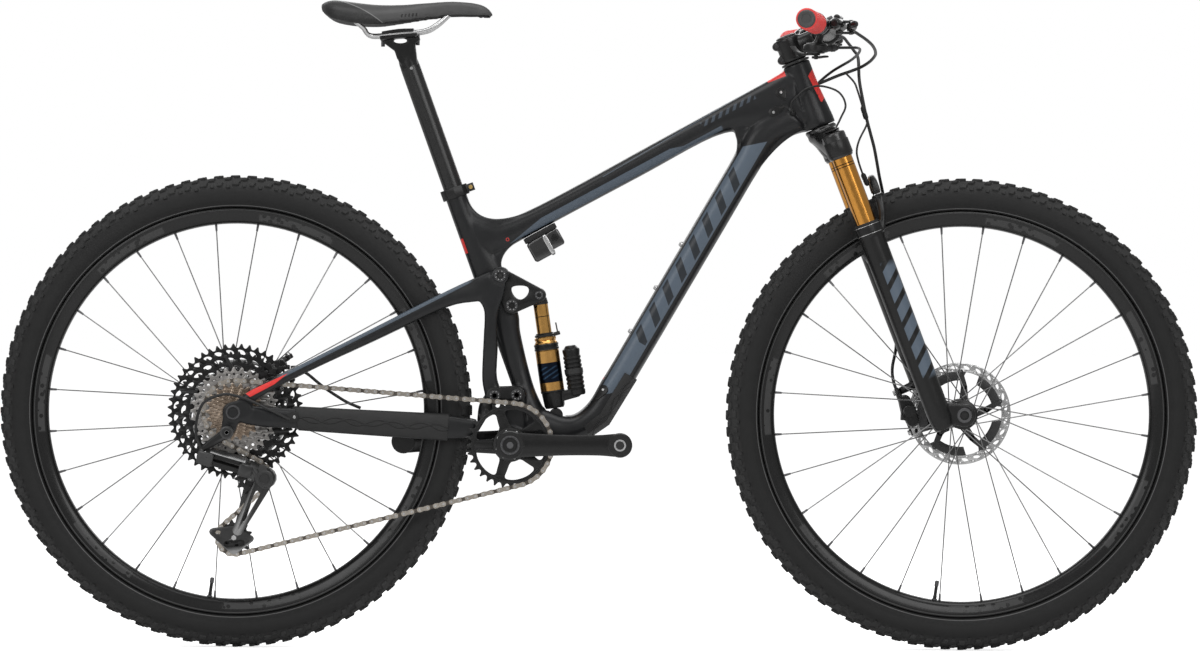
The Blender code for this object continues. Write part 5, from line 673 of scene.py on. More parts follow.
class Shader:
    """The nodes of one material."""

    def __init__(self, name: str) -> None:
        """Starts a material with its surface and its object coordinates."""
        self.material = bpy.data.materials.new(name)
        self.material.use_nodes = True
        self.tree = self.material.node_tree
        self.surface = self.tree.nodes["Principled BSDF"]
        self.place = self.node("ShaderNodeTexCoord", output="Object")

    def node(self, kind: str, settings: dict[str, Any] | None = None, sockets: dict[int | str, Input] | None = None,
            output: int | str = 0) -> Field:
        """Adds a node.

        Args:
            kind: the node's type.
            settings: its properties; "stops" holds a ramp's (position, colour) pairs.
            sockets: values or links of its inputs, by index or name.
            output: the output that is wanted.

        Returns:
            The output as a field.
        """
        made = self.tree.nodes.new(kind)
        for key, value in (settings or {}).items():
            if key == "stops":
                ramp = made.color_ramp.elements
                while len(ramp) < len(value):
                    ramp.new(1.0)
                for element, (position, colour) in zip(ramp, value):
                    element.position = position
                    element.color = (*colour, 1.0)
            else:
                setattr(made, key, value)
        for key, value in (sockets or {}).items():
            if isinstance(value, Field):
                self.tree.links.new(value.socket, made.inputs[key])
            elif isinstance(value, tuple) and made.inputs[key].type == "RGBA":
                made.inputs[key].default_value = (*value, 1.0)
            else:
                made.inputs[key].default_value = value
        return Field(self, made.outputs[output])

    def parts(self, vector: Field | None = None) -> tuple[Field, Field, Field]:
        """The x, y and z of a vector, or of the place on the surface."""
        first = self.node("ShaderNodeSeparateXYZ", sockets={0: vector or self.place})
        made = first.socket.node
        return first, Field(self, made.outputs[1]), Field(self, made.outputs[2])

    def away(self, centre: Vector) -> Field:
        """The place on the surface, measured from a centre."""
        return self.node("ShaderNodeVectorMath", {"operation": "SUBTRACT"}, {0: self.place, 1: tuple(centre)})

    def reach(self, centre: Vector) -> Field:
        """How far the surface lies from a centre in the side view."""
        x, _, z = self.parts(self.away(centre))
        return self.node("ShaderNodeVectorMath", {"operation": "LENGTH"},
            {0: self.node("ShaderNodeCombineXYZ", sockets={0: x, 2: z})}, "Value")

    def bearing(self, centre: Vector) -> Field:
        """The angle round a centre in the side view, in radians."""
        x, _, z = self.parts(self.away(centre))
        return z.maths("ARCTAN2", z, x)

    def noise(self, scale: float, detail: float = 3.0, stretch: tuple[float, float, float] = (1.0, 1.0,
            1.0)) -> Field:
        """Smooth noise from 0 to 1 at this scale per metre, stretched along the axes."""
        where = self.node("ShaderNodeVectorMath", {"operation": "MULTIPLY"}, {0: self.place, 1: stretch})
        return self.node("ShaderNodeTexNoise", {}, {"Vector": where, "Scale": scale, "Detail": detail})

    def cells(self, scale: float, feature: str = "F1") -> Field:
        """Distance from scattered cell points at this scale per metre."""
        return self.node("ShaderNodeTexVoronoi", {"feature": feature}, {"Vector": self.place, "Scale": scale},
            "Distance")

    def mix(self, share: Input, first: Input, second: Input) -> Field:
        """A colour from the first to the second by a share."""
        return self.node("ShaderNodeMix", {"data_type": "RGBA"}, {0: share, 6: first, 7: second}, 2)

    def edges(self) -> Field:
        """1 on outward edges and 0 on flats."""
        pointed = self.node("ShaderNodeNewGeometry", output="Pointiness")
        return ((pointed - 0.53) * 12.0).clipped()

    def set(self, socket: str, value: Input) -> None:
        """Gives one input of the surface its value or link."""
        target = self.surface.inputs[socket]
        if isinstance(value, Field):
            self.tree.links.new(value.socket, target)
        elif isinstance(value, tuple):
            target.default_value = (*value, 1.0)
        else:
            target.default_value = value

    def bump(self, height: Field, distance: float, strength: float = 1.0) -> None:
        """Raises the surface by a height field of this distance."""
        self.set("Normal", self.node("ShaderNodeBump", {}, {"Height": height, "Distance": distance,
                "Strength": strength}))


def grey(level: float) -> Colour:
    """A neutral colour."""
    return (level, level, level)


def scaled(colour: Colour, by: float) -> Colour:
    """A colour made lighter or darker."""
    return (colour[0] * by, colour[1] * by, colour[2] * by)


class Grain(Enum):
    """The small relief of a finish."""

    FINE = "fine"
    LEATHER = "leather"
    BRUSHED = "brushed"
    MOULDED = "moulded"


MATERIALS: dict[str, bpy.types.Material] = {}


@dataclass(frozen=True)
class Finish:
    """A finish with its grain, its uneven tone, and its edges lightened partly by wear and partly as a painted
    highlight.

    Attributes:
        name: the finish's own name.
        colour: its base colour.
        roughness: its mean roughness.
        metallic: 1 for bare metal.
        gloss: its specular level.
        coat: the weight of a clear coat.
        grain: its kind of relief.
        depth: how deep the relief is, in metres.
        uneven: how far its tone wanders.
        edge_wear_and_highlight: how far its edges are lightened, partly as wear and partly as a painted highlight.
        edge_wear_and_highlight_colour: the colour of those lightened edges.
    """

    name: str
    colour: Colour
    roughness: float = 0.45
    metallic: float = 0.0
    gloss: float = 0.4
    coat: float = 0.0
    grain: Grain = Grain.FINE
    depth: float = 0.00003
    uneven: float = 0.12
    edge_wear_and_highlight: float = 0.0
    edge_wear_and_highlight_colour: Colour = (0.25, 0.25, 0.26)

    def base(self, shader: Shader) -> Field:
        """The colour before wear, with its uneven tone."""
        wander = shader.noise(38.0, 2.0)
        return shader.mix(wander, scaled(self.colour, 1.0 - self.uneven), scaled(self.colour, 1.0 + self.uneven))

    def height(self, shader: Shader) -> Field:
        """The height field of the grain."""
        if self.grain is Grain.LEATHER:
            return shader.cells(900.0, "SMOOTH_F1") + shader.noise(2400.0, 2.0) * 0.3
        if self.grain is Grain.BRUSHED:
            return shader.noise(300.0, 3.0, (1.0, 14.0, 1.0))
        if self.grain is Grain.MOULDED:
            return shader.noise(1100.0, 4.0)
        return shader.noise(2600.0, 2.0)

    def dress(self, shader: Shader) -> None:
        """Links the finish's colour, roughness and relief."""
        colour = self.base(shader)
        smudge = shader.noise(90.0, 4.0)
        rough = smudge * 0.16 + (self.roughness - 0.08)
        # Edges found by pointiness are lightened: partly rubbed wear, partly a painted highlight where light catches
        # them.
        if self.edge_wear_and_highlight:
            share = shader.edges() * self.edge_wear_and_highlight
            colour = shader.mix(share, colour, self.edge_wear_and_highlight_colour)
            rough = rough - share * 0.1
        shader.set("Base Color", colour)
        shader.set("Roughness", rough)
        shader.bump(self.height(shader), self.depth)

    def material(self) -> bpy.types.Material:
        """The finish's material, made once."""
        if self.name not in MATERIALS:
            shader = Shader(self.name)
            shader.set("Metallic", self.metallic)
            shader.set("Specular IOR Level", self.gloss)
            shader.set("Coat Weight", self.coat)
            shader.set("Coat Roughness", 0.08)
            self.dress(shader)
            MATERIALS[self.name] = shader.material
        return MATERIALS[self.name]


@dataclass(frozen=True)
class Panel:
    """A straight edge of the side view, from which painted areas are measured."""

    start: Vector
    end: Vector

    def along(self, shader: Shader) -> Field:
        """The distance along the edge."""
        run = (self.end - self.start).normalized()
        x, _, z = shader.parts(shader.away(self.start))
        return x * run.x + z * run.z

    def above(self, shader: Shader) -> Field:
        """The distance to the edge's left, looking along it."""
        run = (self.end - self.start).normalized()
        x, _, z = shader.parts(shader.away(self.start))
        return z * run.x - x * run.z


# --- Wheels ---------------------------------------------------------------------------------
@dataclass(frozen=True)
class TyreFinish(Finish):
    """Tyre rubber: satin sidewalls with fine rings and a dry, greyer tread."""

    centre: Vector = field(default_factory=Vector)
    tread_from: float = 0.3475
    bead_at: float = 0.3205

    def dress(self, shader: Shader) -> None:
        """Links sidewall, tread and bead line by the distance from the axle."""
        reach = shader.reach(self.centre)
        tread = reach.above(self.tread_from + 0.002, 0.006)
        dust = shader.noise(55.0, 5.0)
        side = shader.mix(dust, scaled(self.colour, 0.75), scaled(self.colour, 1.15))
        dry = shader.mix(dust, grey(0.018), grey(0.04))
        bead = reach.between(self.bead_at - 0.0005, self.bead_at + 0.0005, 0.0004)
        panel = reach.between(0.3225, 0.329) * shader.cells(240.0).above(0.42, 0.1)
        shader.set("Base Color", shader.mix(bead, shader.mix(tread, side, dry), grey(0.1)))
        shader.set("Roughness", tread * 0.28 + 0.46 + panel * 0.12 + dust * 0.08)
        rings = (reach * (math.tau / 0.0011)).sine() * (1.0 - tread) * 0.25
        nubs = shader.noise(700.0, 3.0) * (tread * 0.9 + 0.2)
        shader.bump(rings + nubs, 0.00022)


@dataclass(frozen=True)
class RimFinish(Finish):
    """Gloss black composite with a woven undertone and a thin line by the flange."""

    centre: Vector = field(default_factory=Vector)
    line_at: float = 0.3135

    def dress(self, shader: Shader) -> None:
        """Links the weave, the line and the clear coat's small waves."""
        x, _, z = shader.parts()
        weave = ((x + z) * 2600.0).sine() * ((x - z) * 2600.0).sine()
        tone = shader.mix(weave.above(0.0, 0.8), scaled(self.colour, 0.7), scaled(self.colour, 1.7))
        reach = shader.reach(self.centre)
        sector = (shader.bearing(self.centre) * (7.0 / math.tau)) % 1.0
        patch = reach.between(0.2985, 0.3085) * sector.between(0.18, 0.62, 0.01)
        chips = patch * shader.cells(95.0).above(0.34, 0.03)
        line = reach.between(self.line_at - 0.0005, self.line_at + 0.0005, 0.0004)
        shader.set("Base Color", shader.mix((line + chips * 0.55).clipped(), tone, grey(0.055)))
        shader.set("Roughness", shader.noise(60.0, 3.0) * 0.1 + 0.18 + chips * 0.2)
        shader.bump(shader.noise(160.0, 2.0), 0.00005)


SPOKE_STEEL = Finish("spoke_steel", grey(0.2), 0.3, 1.0, grain=Grain.BRUSHED, depth=0.000008)
# hub_black and rotor_black lighten their edges: a painted highlight, partly wear.
HUB_BLACK = Finish("hub_black", grey(0.01), 0.3, 0.35, edge_wear_and_highlight=0.35)
ROTOR_STEEL = Finish("rotor_steel", grey(0.4), 0.26, 1.0, grain=Grain.BRUSHED, depth=0.00002, uneven=0.2)
ROTOR_BLACK = Finish("rotor_black", grey(0.02), 0.42, 0.2, edge_wear_and_highlight=0.4)


# Each row of tread blocks: pitches late; angle across and its change on odd pitches; length and its change;
# width; share of the full height; skew.
TREAD_ROWS = ((0.0, 0.2, 0.0, 0.0085, 0.0, 0.0062, 1.0, 0.001), (0.5, 0.52, 0.06, 0.0095, 0.0, 0.0062, 1.0, 0.0014),
    (0.0, 0.9, 0.05, 0.011, -0.003, 0.0066, 0.95, 0.0012), (0.5, 1.1, -0.05, 0.006, 0.0, 0.005, 0.55, 0.0))


@dataclass
class Wheel:
    """One wheel: tyre, rim, hub with its spokes and nipples, and rotor.

    Attributes:
        end: front or rear.
        centre: the axle's middle.
        hub_profile: (across, radius) of the hub shell.
        flanges: where the spokes leave the hub.
        rotor_at: how far left the rotor lies.
    """

    end: str
    centre: Vector
    hub_profile: list[tuple[float, float]]
    flanges: tuple[float, float]
    rotor_at: float
    tyre_radius: float = 0.368
    rim_radius: float = 0.317
    rim_depth: float = 0.0248
    rim_half: float = 0.015
    tyre_half: float = 0.0285
    knob_height: float = 0.0036
    pitches: int = 88
    spokes: int = 28
    spoke_radius: float = 0.00095
    flange_radius: float = 0.0208
    rotor_radius: float = 0.08

    @property
    def body(self) -> str:
        """The body that the wheel's pieces ride."""
        return f"{self.end}_wheel"

    def casing_point(self, turn: float, rise: float = 0.0) -> tuple[float, float]:
        """(across, radius) of the casing at an angle from the crown, raised outwards."""
        half = self.tyre_half - 0.0012
        middle = self.tyre_radius - self.knob_height - half
        return (half + rise) * math.sin(turn), middle + (half + rise) * math.cos(turn)

    def casing(self) -> Shape:
        """The round casing down to its beads."""
        turns = [math.radians(angle) for angle in range(-132, 133, 6)]
        crown = [self.casing_point(turn) for turn in turns]
        bead = [(0.0155, self.rim_radius + 0.0012), (0.0121, self.rim_radius), (0.0121, self.rim_radius - 0.0042)]
        profile = [(-across, radius) for across, radius in reversed(bead)] + crown + bead
        return lathe(profile, self.centre, Y, 168, closed=True)

    def knob(self, angle: float, turn: float, size: tuple[float, float], rise: float, skew: float) -> Shape:
        """One tread block, standing square on the casing and narrower at its top.

        Args:
            angle: its place round the wheel.
            turn: its place across the casing.
            size: its length and width at the foot.
            rise: its height.
            skew: how far its leading edge is set off.

        Returns:
            The block.
        """
        out = Vector((math.cos(angle), 0.0, math.sin(angle)))
        ahead = Vector((-math.sin(angle), 0.0, math.cos(angle)))
        rings = []
        for height, share in ((-0.0015, 1.0), (rise * 0.75, 0.9), (rise, 0.74)):
            spread = size[1] / 2 * share / (self.tyre_half - 0.0012)
            ring = []
            for along, side in ((-1, -1), (1, -1), (1.15, 0), (1, 1), (-1, 1), (-0.85, 0)):
                a, r = self.casing_point(turn + spread * side, height)
                ring.append(self.centre + out * r + Y * a + ahead * (size[0] / 2 * share * along + skew * side))
            rings.append(ring)
        return skin(rings)

    def tread(self) -> Shape:
        """All the tread blocks, in paired rows that alternate round the wheel."""
        shape = Shape()
        step = math.tau / self.pitches
        for k in range(self.pitches):
            odd = k % 2
            for side in (-1, 1):
                shift = step * (0.25 if side > 0 else 0.0)
                for late, turn, turn_by, long, long_by, wide, tall, skew in TREAD_ROWS:
                    shape.join(self.knob(step * (k + late) + shift, side * (turn + turn_by * odd),
                            (long + long_by * odd, wide), self.knob_height * tall, skew * side))
        return shape

    def rim(self) -> Shape:
        """The deep rim with eased flanges and a rounded nose."""
        bed = self.rim_radius - 0.0048
        nose = self.rim_radius - self.rim_depth
        side = [(0.0, bed), (0.0118, bed), (0.0126, self.rim_radius - 0.0008), (0.0134, self.rim_radius),
            (0.0144, self.rim_radius - 0.0004), (self.rim_half, self.rim_radius - 0.0016),
            (0.0146, self.rim_radius - 0.005), (0.0128, nose + 0.01), (0.0096, nose + 0.0034),
            (0.0058, nose + 0.0008), (0.0, nose)]
        profile = side + [(-across, radius) for across, radius in side[-2:0:-1]]
        return lathe(profile, self.centre, Y, 168, closed=True)

    def valve(self) -> Shape:
        """The valve that stands inwards from the rim."""
        nose = self.rim_radius - self.rim_depth
        out = slope(262.0)
        foot, tip = self.centre + out * (nose + 0.002), self.centre + out * (nose - 0.03)
        route = [foot.lerp(tip, share) for share in (0.0, 0.1, 0.11, 0.25, 0.26, 0.72, 0.73, 0.97, 1.0)]
        sizes = (0.0045, 0.0045, 0.003, 0.003, 0.0026, 0.0026, 0.0033, 0.0033, 0.002)
        return skin([ring_about(point, out, size, 12) for point, size in zip(route, sizes)])

    def spoke_ends(self, k: int) -> tuple[Vector, Vector]:
        """Where a spoke leaves the hub and meets the rim."""
        step = math.tau / self.spokes
        sense = 1 if (k // 2) % 2 else -1
        rim_angle = step * (k + 0.5)
        hub_angle = rim_angle + sense * math.radians(51.4)
        foot = Vector((math.cos(hub_angle), 0.0, math.sin(hub_angle))) * self.flange_radius
        head = Vector((math.cos(rim_angle), 0.0, math.sin(rim_angle))) * (self.rim_radius - self.rim_depth + 0.001)
        across = Y * (self.flanges[k % 2] + sense * 0.0014)
        return self.centre + foot + across, self.centre + head

    def lacing(self) -> tuple[Shape, Shape]:
        """The spokes and their nipples."""
        spokes, nipples = Shape(), Shape()
        for k in range(self.spokes):
            foot, head = self.spoke_ends(k)
            run = (head - foot).normalized()
            spokes.join(rod(foot - run * 0.002, head, self.spoke_radius, steps=8))
            nipples.join(rod(head - run * 0.011, head, 0.0016, 0.0021, steps=8))
        return spokes, nipples

    def hub(self) -> Shape:
        """The hub shell with eased flanges."""
        return lathe(self.hub_profile, self.centre, Y, 48)

    def rotor(self) -> tuple[Shape, Shape]:
        """The steel ring with its slots, and the black carrier with fins and curved arms."""
        outlines = [circle(self.centre, self.rotor_radius, 120), circle(self.centre, 0.0655, 96)]
        for k in range(24):
            first = math.tau * k / 24
            outlines.append(opening(self.centre, first, 1.0, ((0.0705, 0.045), (0.0702, 0.115), (0.0728, 0.18),
                    (0.0752, 0.19), (0.0752, 0.11), (0.0728, 0.055))))
            outlines.append(circle(polar(self.centre, 0.0768, first + 0.02), 0.0009, 10))
            outlines.append(circle(polar(self.centre, 0.0682, first + 0.17), 0.0009, 10))
        ring = plate(outlines, self.rotor_at - 0.0009, self.rotor_at + 0.0009, 0.0002)
        carrier = Shape()
        for k in range(5):
            first = math.tau * k / 5
            arc = [polar(self.centre, 0.0662, first + 0.16 + 0.94 * share / 12) for share in range(13)]
            arc += [polar(self.centre, 0.052, first + 1.06 - 0.8 * share / 12) for share in range(13)]
            carrier.join(plate([flat(arc)], self.rotor_at - 0.0014, self.rotor_at + 0.0014, 0.0003))
            for near, far in (((0.016, -0.1, 0.0078), (0.043, 0.16, 0.005)),
                    ((0.043, 0.16, 0.005), (0.0655, 0.3, 0.004))):
                sizes = [(polar(self.centre, reach, first + lean), size) for reach, lean, size in (near, far)]
                carrier.join(plate([belt(sizes, 20), circle(sizes[1][0], 0.0016, 12)], self.rotor_at - 0.0015,
                        self.rotor_at + 0.0015, 0.0004))
        spider = plate([circle(self.centre, 0.0235, 48), circle(self.centre, 0.0125, 32)], self.rotor_at - 0.0021,
            self.rotor_at + 0.0021, 0.0005)
        lock = lathe([(-0.0035, 0.0128), (-0.0035, 0.0175), (0.003, 0.02), (0.0052, 0.02), (0.0052, 0.0128)],
            self.centre + Y * self.rotor_at, Y, 40, closed=True)
        return ring, carrier.join(spider, lock)

    def build(self) -> None:
        """Makes and dresses the wheel's pieces."""
        rubber = TyreFinish(f"{self.end}_tyre_rubber", grey(0.011), gloss=0.22, centre=self.centre)
        gloss = RimFinish(f"{self.end}_rim_gloss", grey(0.0045), gloss=0.28, coat=0.15, centre=self.centre)
        spokes, nipples = self.lacing()
        ring, carrier = self.rotor()
        pieces = (("tyre_casing", self.casing(), rubber, "tyre", Make()),
            ("tread_blocks", self.tread(), rubber, "tyre", Make(sharp=25.0)),
            ("deep_rim", self.rim(), gloss, "rim", Make(sharp=50.0)),
            ("hub_shell", self.hub(), HUB_BLACK, "hub", CRISP), ("spokes", spokes, SPOKE_STEEL, "hub", Make()),
            ("nipples", nipples.join(self.valve()), HUB_BLACK, "hub", Make()),
            ("rotor_ring", ring, ROTOR_STEEL, "rotor", Make()), ("rotor_carrier", carrier, ROTOR_BLACK, "rotor",
                Make()))
        for part, shape, finish, node, make in pieces:
            add_piece(f"{self.end}_{part}", shape, finish, f"{self.end}_{node}", make=make)


def flange(offset: float, radius: float = 0.023) -> list[tuple[float, float]]:
    """The eased profile points of a hub flange."""
    return [(offset - 0.0026, radius - 0.001), (offset - 0.0014, radius), (offset + 0.0014, radius),
        (offset + 0.0026, radius - 0.001)]


def front_wheel() -> Wheel:
    """The front wheel with its sizes."""
    profile = [(-0.055, 0.0072), (-0.055, 0.01), (-0.053, 0.0115), (-0.04, 0.0128), *flange(-0.0345), (-0.03, 0.014),
        (-0.02, 0.0116), (0.012, 0.0116), (0.021, 0.014), *flange(0.0255), (0.029, 0.0168), (0.0412, 0.0165),
        (0.0412, 0.0125), (0.054, 0.0118), (0.055, 0.01), (0.055, 0.0072)]
    return Wheel("front", PLACE.front.origin, profile, (-0.0345, 0.0255), 0.0425)


def rear_wheel() -> Wheel:
    """The rear wheel with its sizes."""
    profile = [(-0.074, 0.0072), (-0.074, 0.0095), (-0.073, 0.0105), (-0.068, 0.0114), (-0.0245, 0.0114),
        *flange(-0.0195), (-0.015, 0.015), (-0.004, 0.013), (0.02, 0.0126), (0.028, 0.015), *flange(0.033),
        (0.037, 0.0168), (0.0587, 0.0165), (0.0587, 0.0125), (0.073, 0.0118), (0.074, 0.01), (0.074, 0.0072)]
    return Wheel("rear", PLACE.rear.origin, profile, (-0.0195, 0.033), 0.06)


# --- Drivetrain -----------------------------------------------------------------------------
# Finishes with edge_wear_and_highlight lighten their edges: on the sprockets and chain partly wear, on the black
# parts and the dark chrome link a painted highlight.
CHAIN_STEEL = Finish("chain_steel", (0.3, 0.27, 0.235), 0.3, 1.0, uneven=0.3, edge_wear_and_highlight=0.4,
    edge_wear_and_highlight_colour=(0.62, 0.58, 0.52), grain=Grain.BRUSHED, depth=0.00002)
SPROCKET_GREY = Finish("sprocket_grey", (0.24, 0.23, 0.22), 0.3, 1.0, edge_wear_and_highlight=0.6, edge_wear_and_highlight_colour=grey(0.6),
    grain=Grain.BRUSHED, depth=0.00002)
SPROCKET_WARM = Finish("sprocket_warm", (0.17, 0.13, 0.098), 0.26, 1.0, uneven=0.4, edge_wear_and_highlight=0.9,
    edge_wear_and_highlight_colour=(0.62, 0.52, 0.43), grain=Grain.BRUSHED, depth=0.00002)
CHAIN_DARK = Finish("chain_dark", (0.1, 0.088, 0.076), 0.38, 1.0, uneven=0.3, depth=0.00002)
SPROCKET_BLACK = Finish("sprocket_black", grey(0.01), 0.34, 0.6, edge_wear_and_highlight=0.7, edge_wear_and_highlight_colour=grey(0.16))
CRANK_BLACK = Finish("crank_black", grey(0.008), 0.24, 0.35, gloss=0.45, edge_wear_and_highlight=0.35, edge_wear_and_highlight_colour=grey(0.1))
BOLT_SILVER = Finish("bolt_silver", grey(0.5), 0.25, 1.0, grain=Grain.BRUSHED, depth=0.00002)
DERAILLEUR_BLACK = Finish("derailleur_black", grey(0.0065), 0.34, gloss=0.3, edge_wear_and_highlight=0.4, edge_wear_and_highlight_colour=grey(0.1))
LINK_CHROME = Finish("link_chrome", grey(0.02), 0.22, 0.8, edge_wear_and_highlight=1.0, edge_wear_and_highlight_colour=grey(0.62))
CLUTCH_GREY = Finish("clutch_grey", grey(0.02), 0.42, gloss=0.3, edge_wear_and_highlight=0.4, edge_wear_and_highlight_colour=grey(0.1))
CAGE_GREY = Finish("cage_grey", grey(0.04), 0.34, 0.7, edge_wear_and_highlight=0.7, edge_wear_and_highlight_colour=grey(0.34))
PULLEY_BLACK = Finish("pulley_black", grey(0.011), 0.55, grain=Grain.MOULDED)


@dataclass
class ChainRun:
    """The chain's way round its wheels, and the teeth that it meets."""

    pitch: float = 0.0127
    line: float = 0.052
    cassette_teeth: tuple[int, ...] = (10, 12, 14, 16, 18, 21, 24, 28, 33, 39, 45, 51)
    spacing: float = 0.00355
    smallest_at: float = 0.065
    on_sprocket: int = 6
    ring_teeth: int = 32
    pulley_teeth: int = 13

    def radius(self, teeth: int) -> float:
        """The radius on which the pins lie."""
        return self.pitch / (2 * math.sin(math.pi / teeth))

    def sprocket_at(self, index: int) -> float:
        """Where a sprocket lies across the bike."""
        return -(self.smallest_at - self.spacing * index)

    @property
    def wheels(self) -> list[tuple[Vector, int, float, int]]:
        """(centre, teeth, place across, sense) of the wheels in order."""
        offset = self.sprocket_at(self.on_sprocket)
        return [(PLACE.bracket.origin, self.ring_teeth, -self.line, 1),
            (PLACE.rear.at(0.0, -0.1952), self.pulley_teeth, offset, 1),
            (PLACE.rear.at(0.0285, -0.1008), self.pulley_teeth, offset, -1),
            (PLACE.rear.origin, self.cassette_teeth[self.on_sprocket], offset, 1)]

    def pieces(self) -> list[tuple[str, float, tuple[Any, ...]]]:
        """The wraps and straight runs in order: (kind, length, values)."""
        wheels = [(Vector((c.x, c.z)), self.radius(teeth), offset, sense) for c, teeth, offset, sense in self.wheels]
        headings = []
        for (a, ra, _, sa), (b, rb, _, sb) in zip(wheels, wheels[1:] + wheels[:1]):
            apart = b - a
            headings.append(math.atan2(apart.y, apart.x) - math.asin((sa * ra - sb * rb) / apart.length))
        made: list[tuple[str, float, tuple[Any, ...]]] = []
        for k, (centre, radius, offset, sense) in enumerate(wheels):
            arriving, leaving = headings[k - 1], headings[k]
            turn = (arriving - leaving) % math.tau if sense > 0 else (leaving - arriving) % math.tau
            made.append(("wrap", turn * radius, (centre, radius, offset, sense, arriving)))
            target = wheels[(k + 1) % len(wheels)]
            out = Vector((math.cos(leaving + math.pi / 2), math.sin(leaving + math.pi / 2)))
            start, end = centre + out * sense * radius, target[0] + out * target[3] * target[1]
            made.append(("run", (end - start).length, (start, end, offset, target[2], leaving)))
        return made

    def place(self, pieces: list[tuple[str, float, tuple[Any, ...]]], distance: float) -> tuple[Vector, Vector]:
        """The chain's place and its outward direction at this distance along it."""
        for kind, length, values in pieces:
            if distance <= length:
                break
            distance -= length
        if kind == "wrap":
            centre, radius, offset, sense, arriving = values
            normal = arriving - sense * distance / radius + math.pi / 2
            out = Vector((math.cos(normal), math.sin(normal)))
            point = centre + out * sense * radius
            return Vector((point.x, offset, point.y)), Vector((out.x, 0.0, out.y))
        start, end, first, last, heading = values
        share = distance / length
        point = start.lerp(end, share)
        out = Vector((math.cos(heading + math.pi / 2), 0.0, math.sin(heading + math.pi / 2)))
        return Vector((point.x, first + (last - first) * share, point.y)), out

    def pins(self) -> list[Vector]:
        """The places of all the pins."""
        pieces = self.pieces()
        total = sum(piece[1] for piece in pieces)
        links = 2 * round(total / self.pitch / 2)
        return [self.place(pieces, total / links * k)[0] for k in range(links)]

    def root_angle(self, index: int) -> float:
        """The angle at which a wheel has a root under a pin."""
        pieces = self.pieces()
        total = sum(piece[1] for piece in pieces)
        links = 2 * round(total / self.pitch / 2)
        middle = sum(piece[1] for piece in pieces[:2 * index]) + pieces[2 * index][1] / 2
        spacing = total / links
        point, _ = self.place(pieces, round(middle / spacing) * spacing)
        centre = self.wheels[index][0]
        return math.atan2(point.z - centre.z, point.x - centre.x)

    def toothed(self, centre: Vector, teeth: int, root: float, tip: float = 0.0024) -> Outline:
        """The outline of a toothed wheel with round seats between its teeth."""
        radius = self.radius(teeth)
        step = math.tau / teeth
        outline = []
        for k in range(teeth):
            for share, rise in ((-0.2, -0.003), (-0.08, -0.004), (0.08, -0.004), (0.2, -0.003), (0.32, -0.0002),
                    (0.42, tip), (0.58, tip), (0.68, -0.0002)):
                angle = root + step * (k + share)
                outline.append((centre.x + (radius + rise) * math.cos(angle),
                        centre.z + (radius + rise) * math.sin(angle)))
        return outline


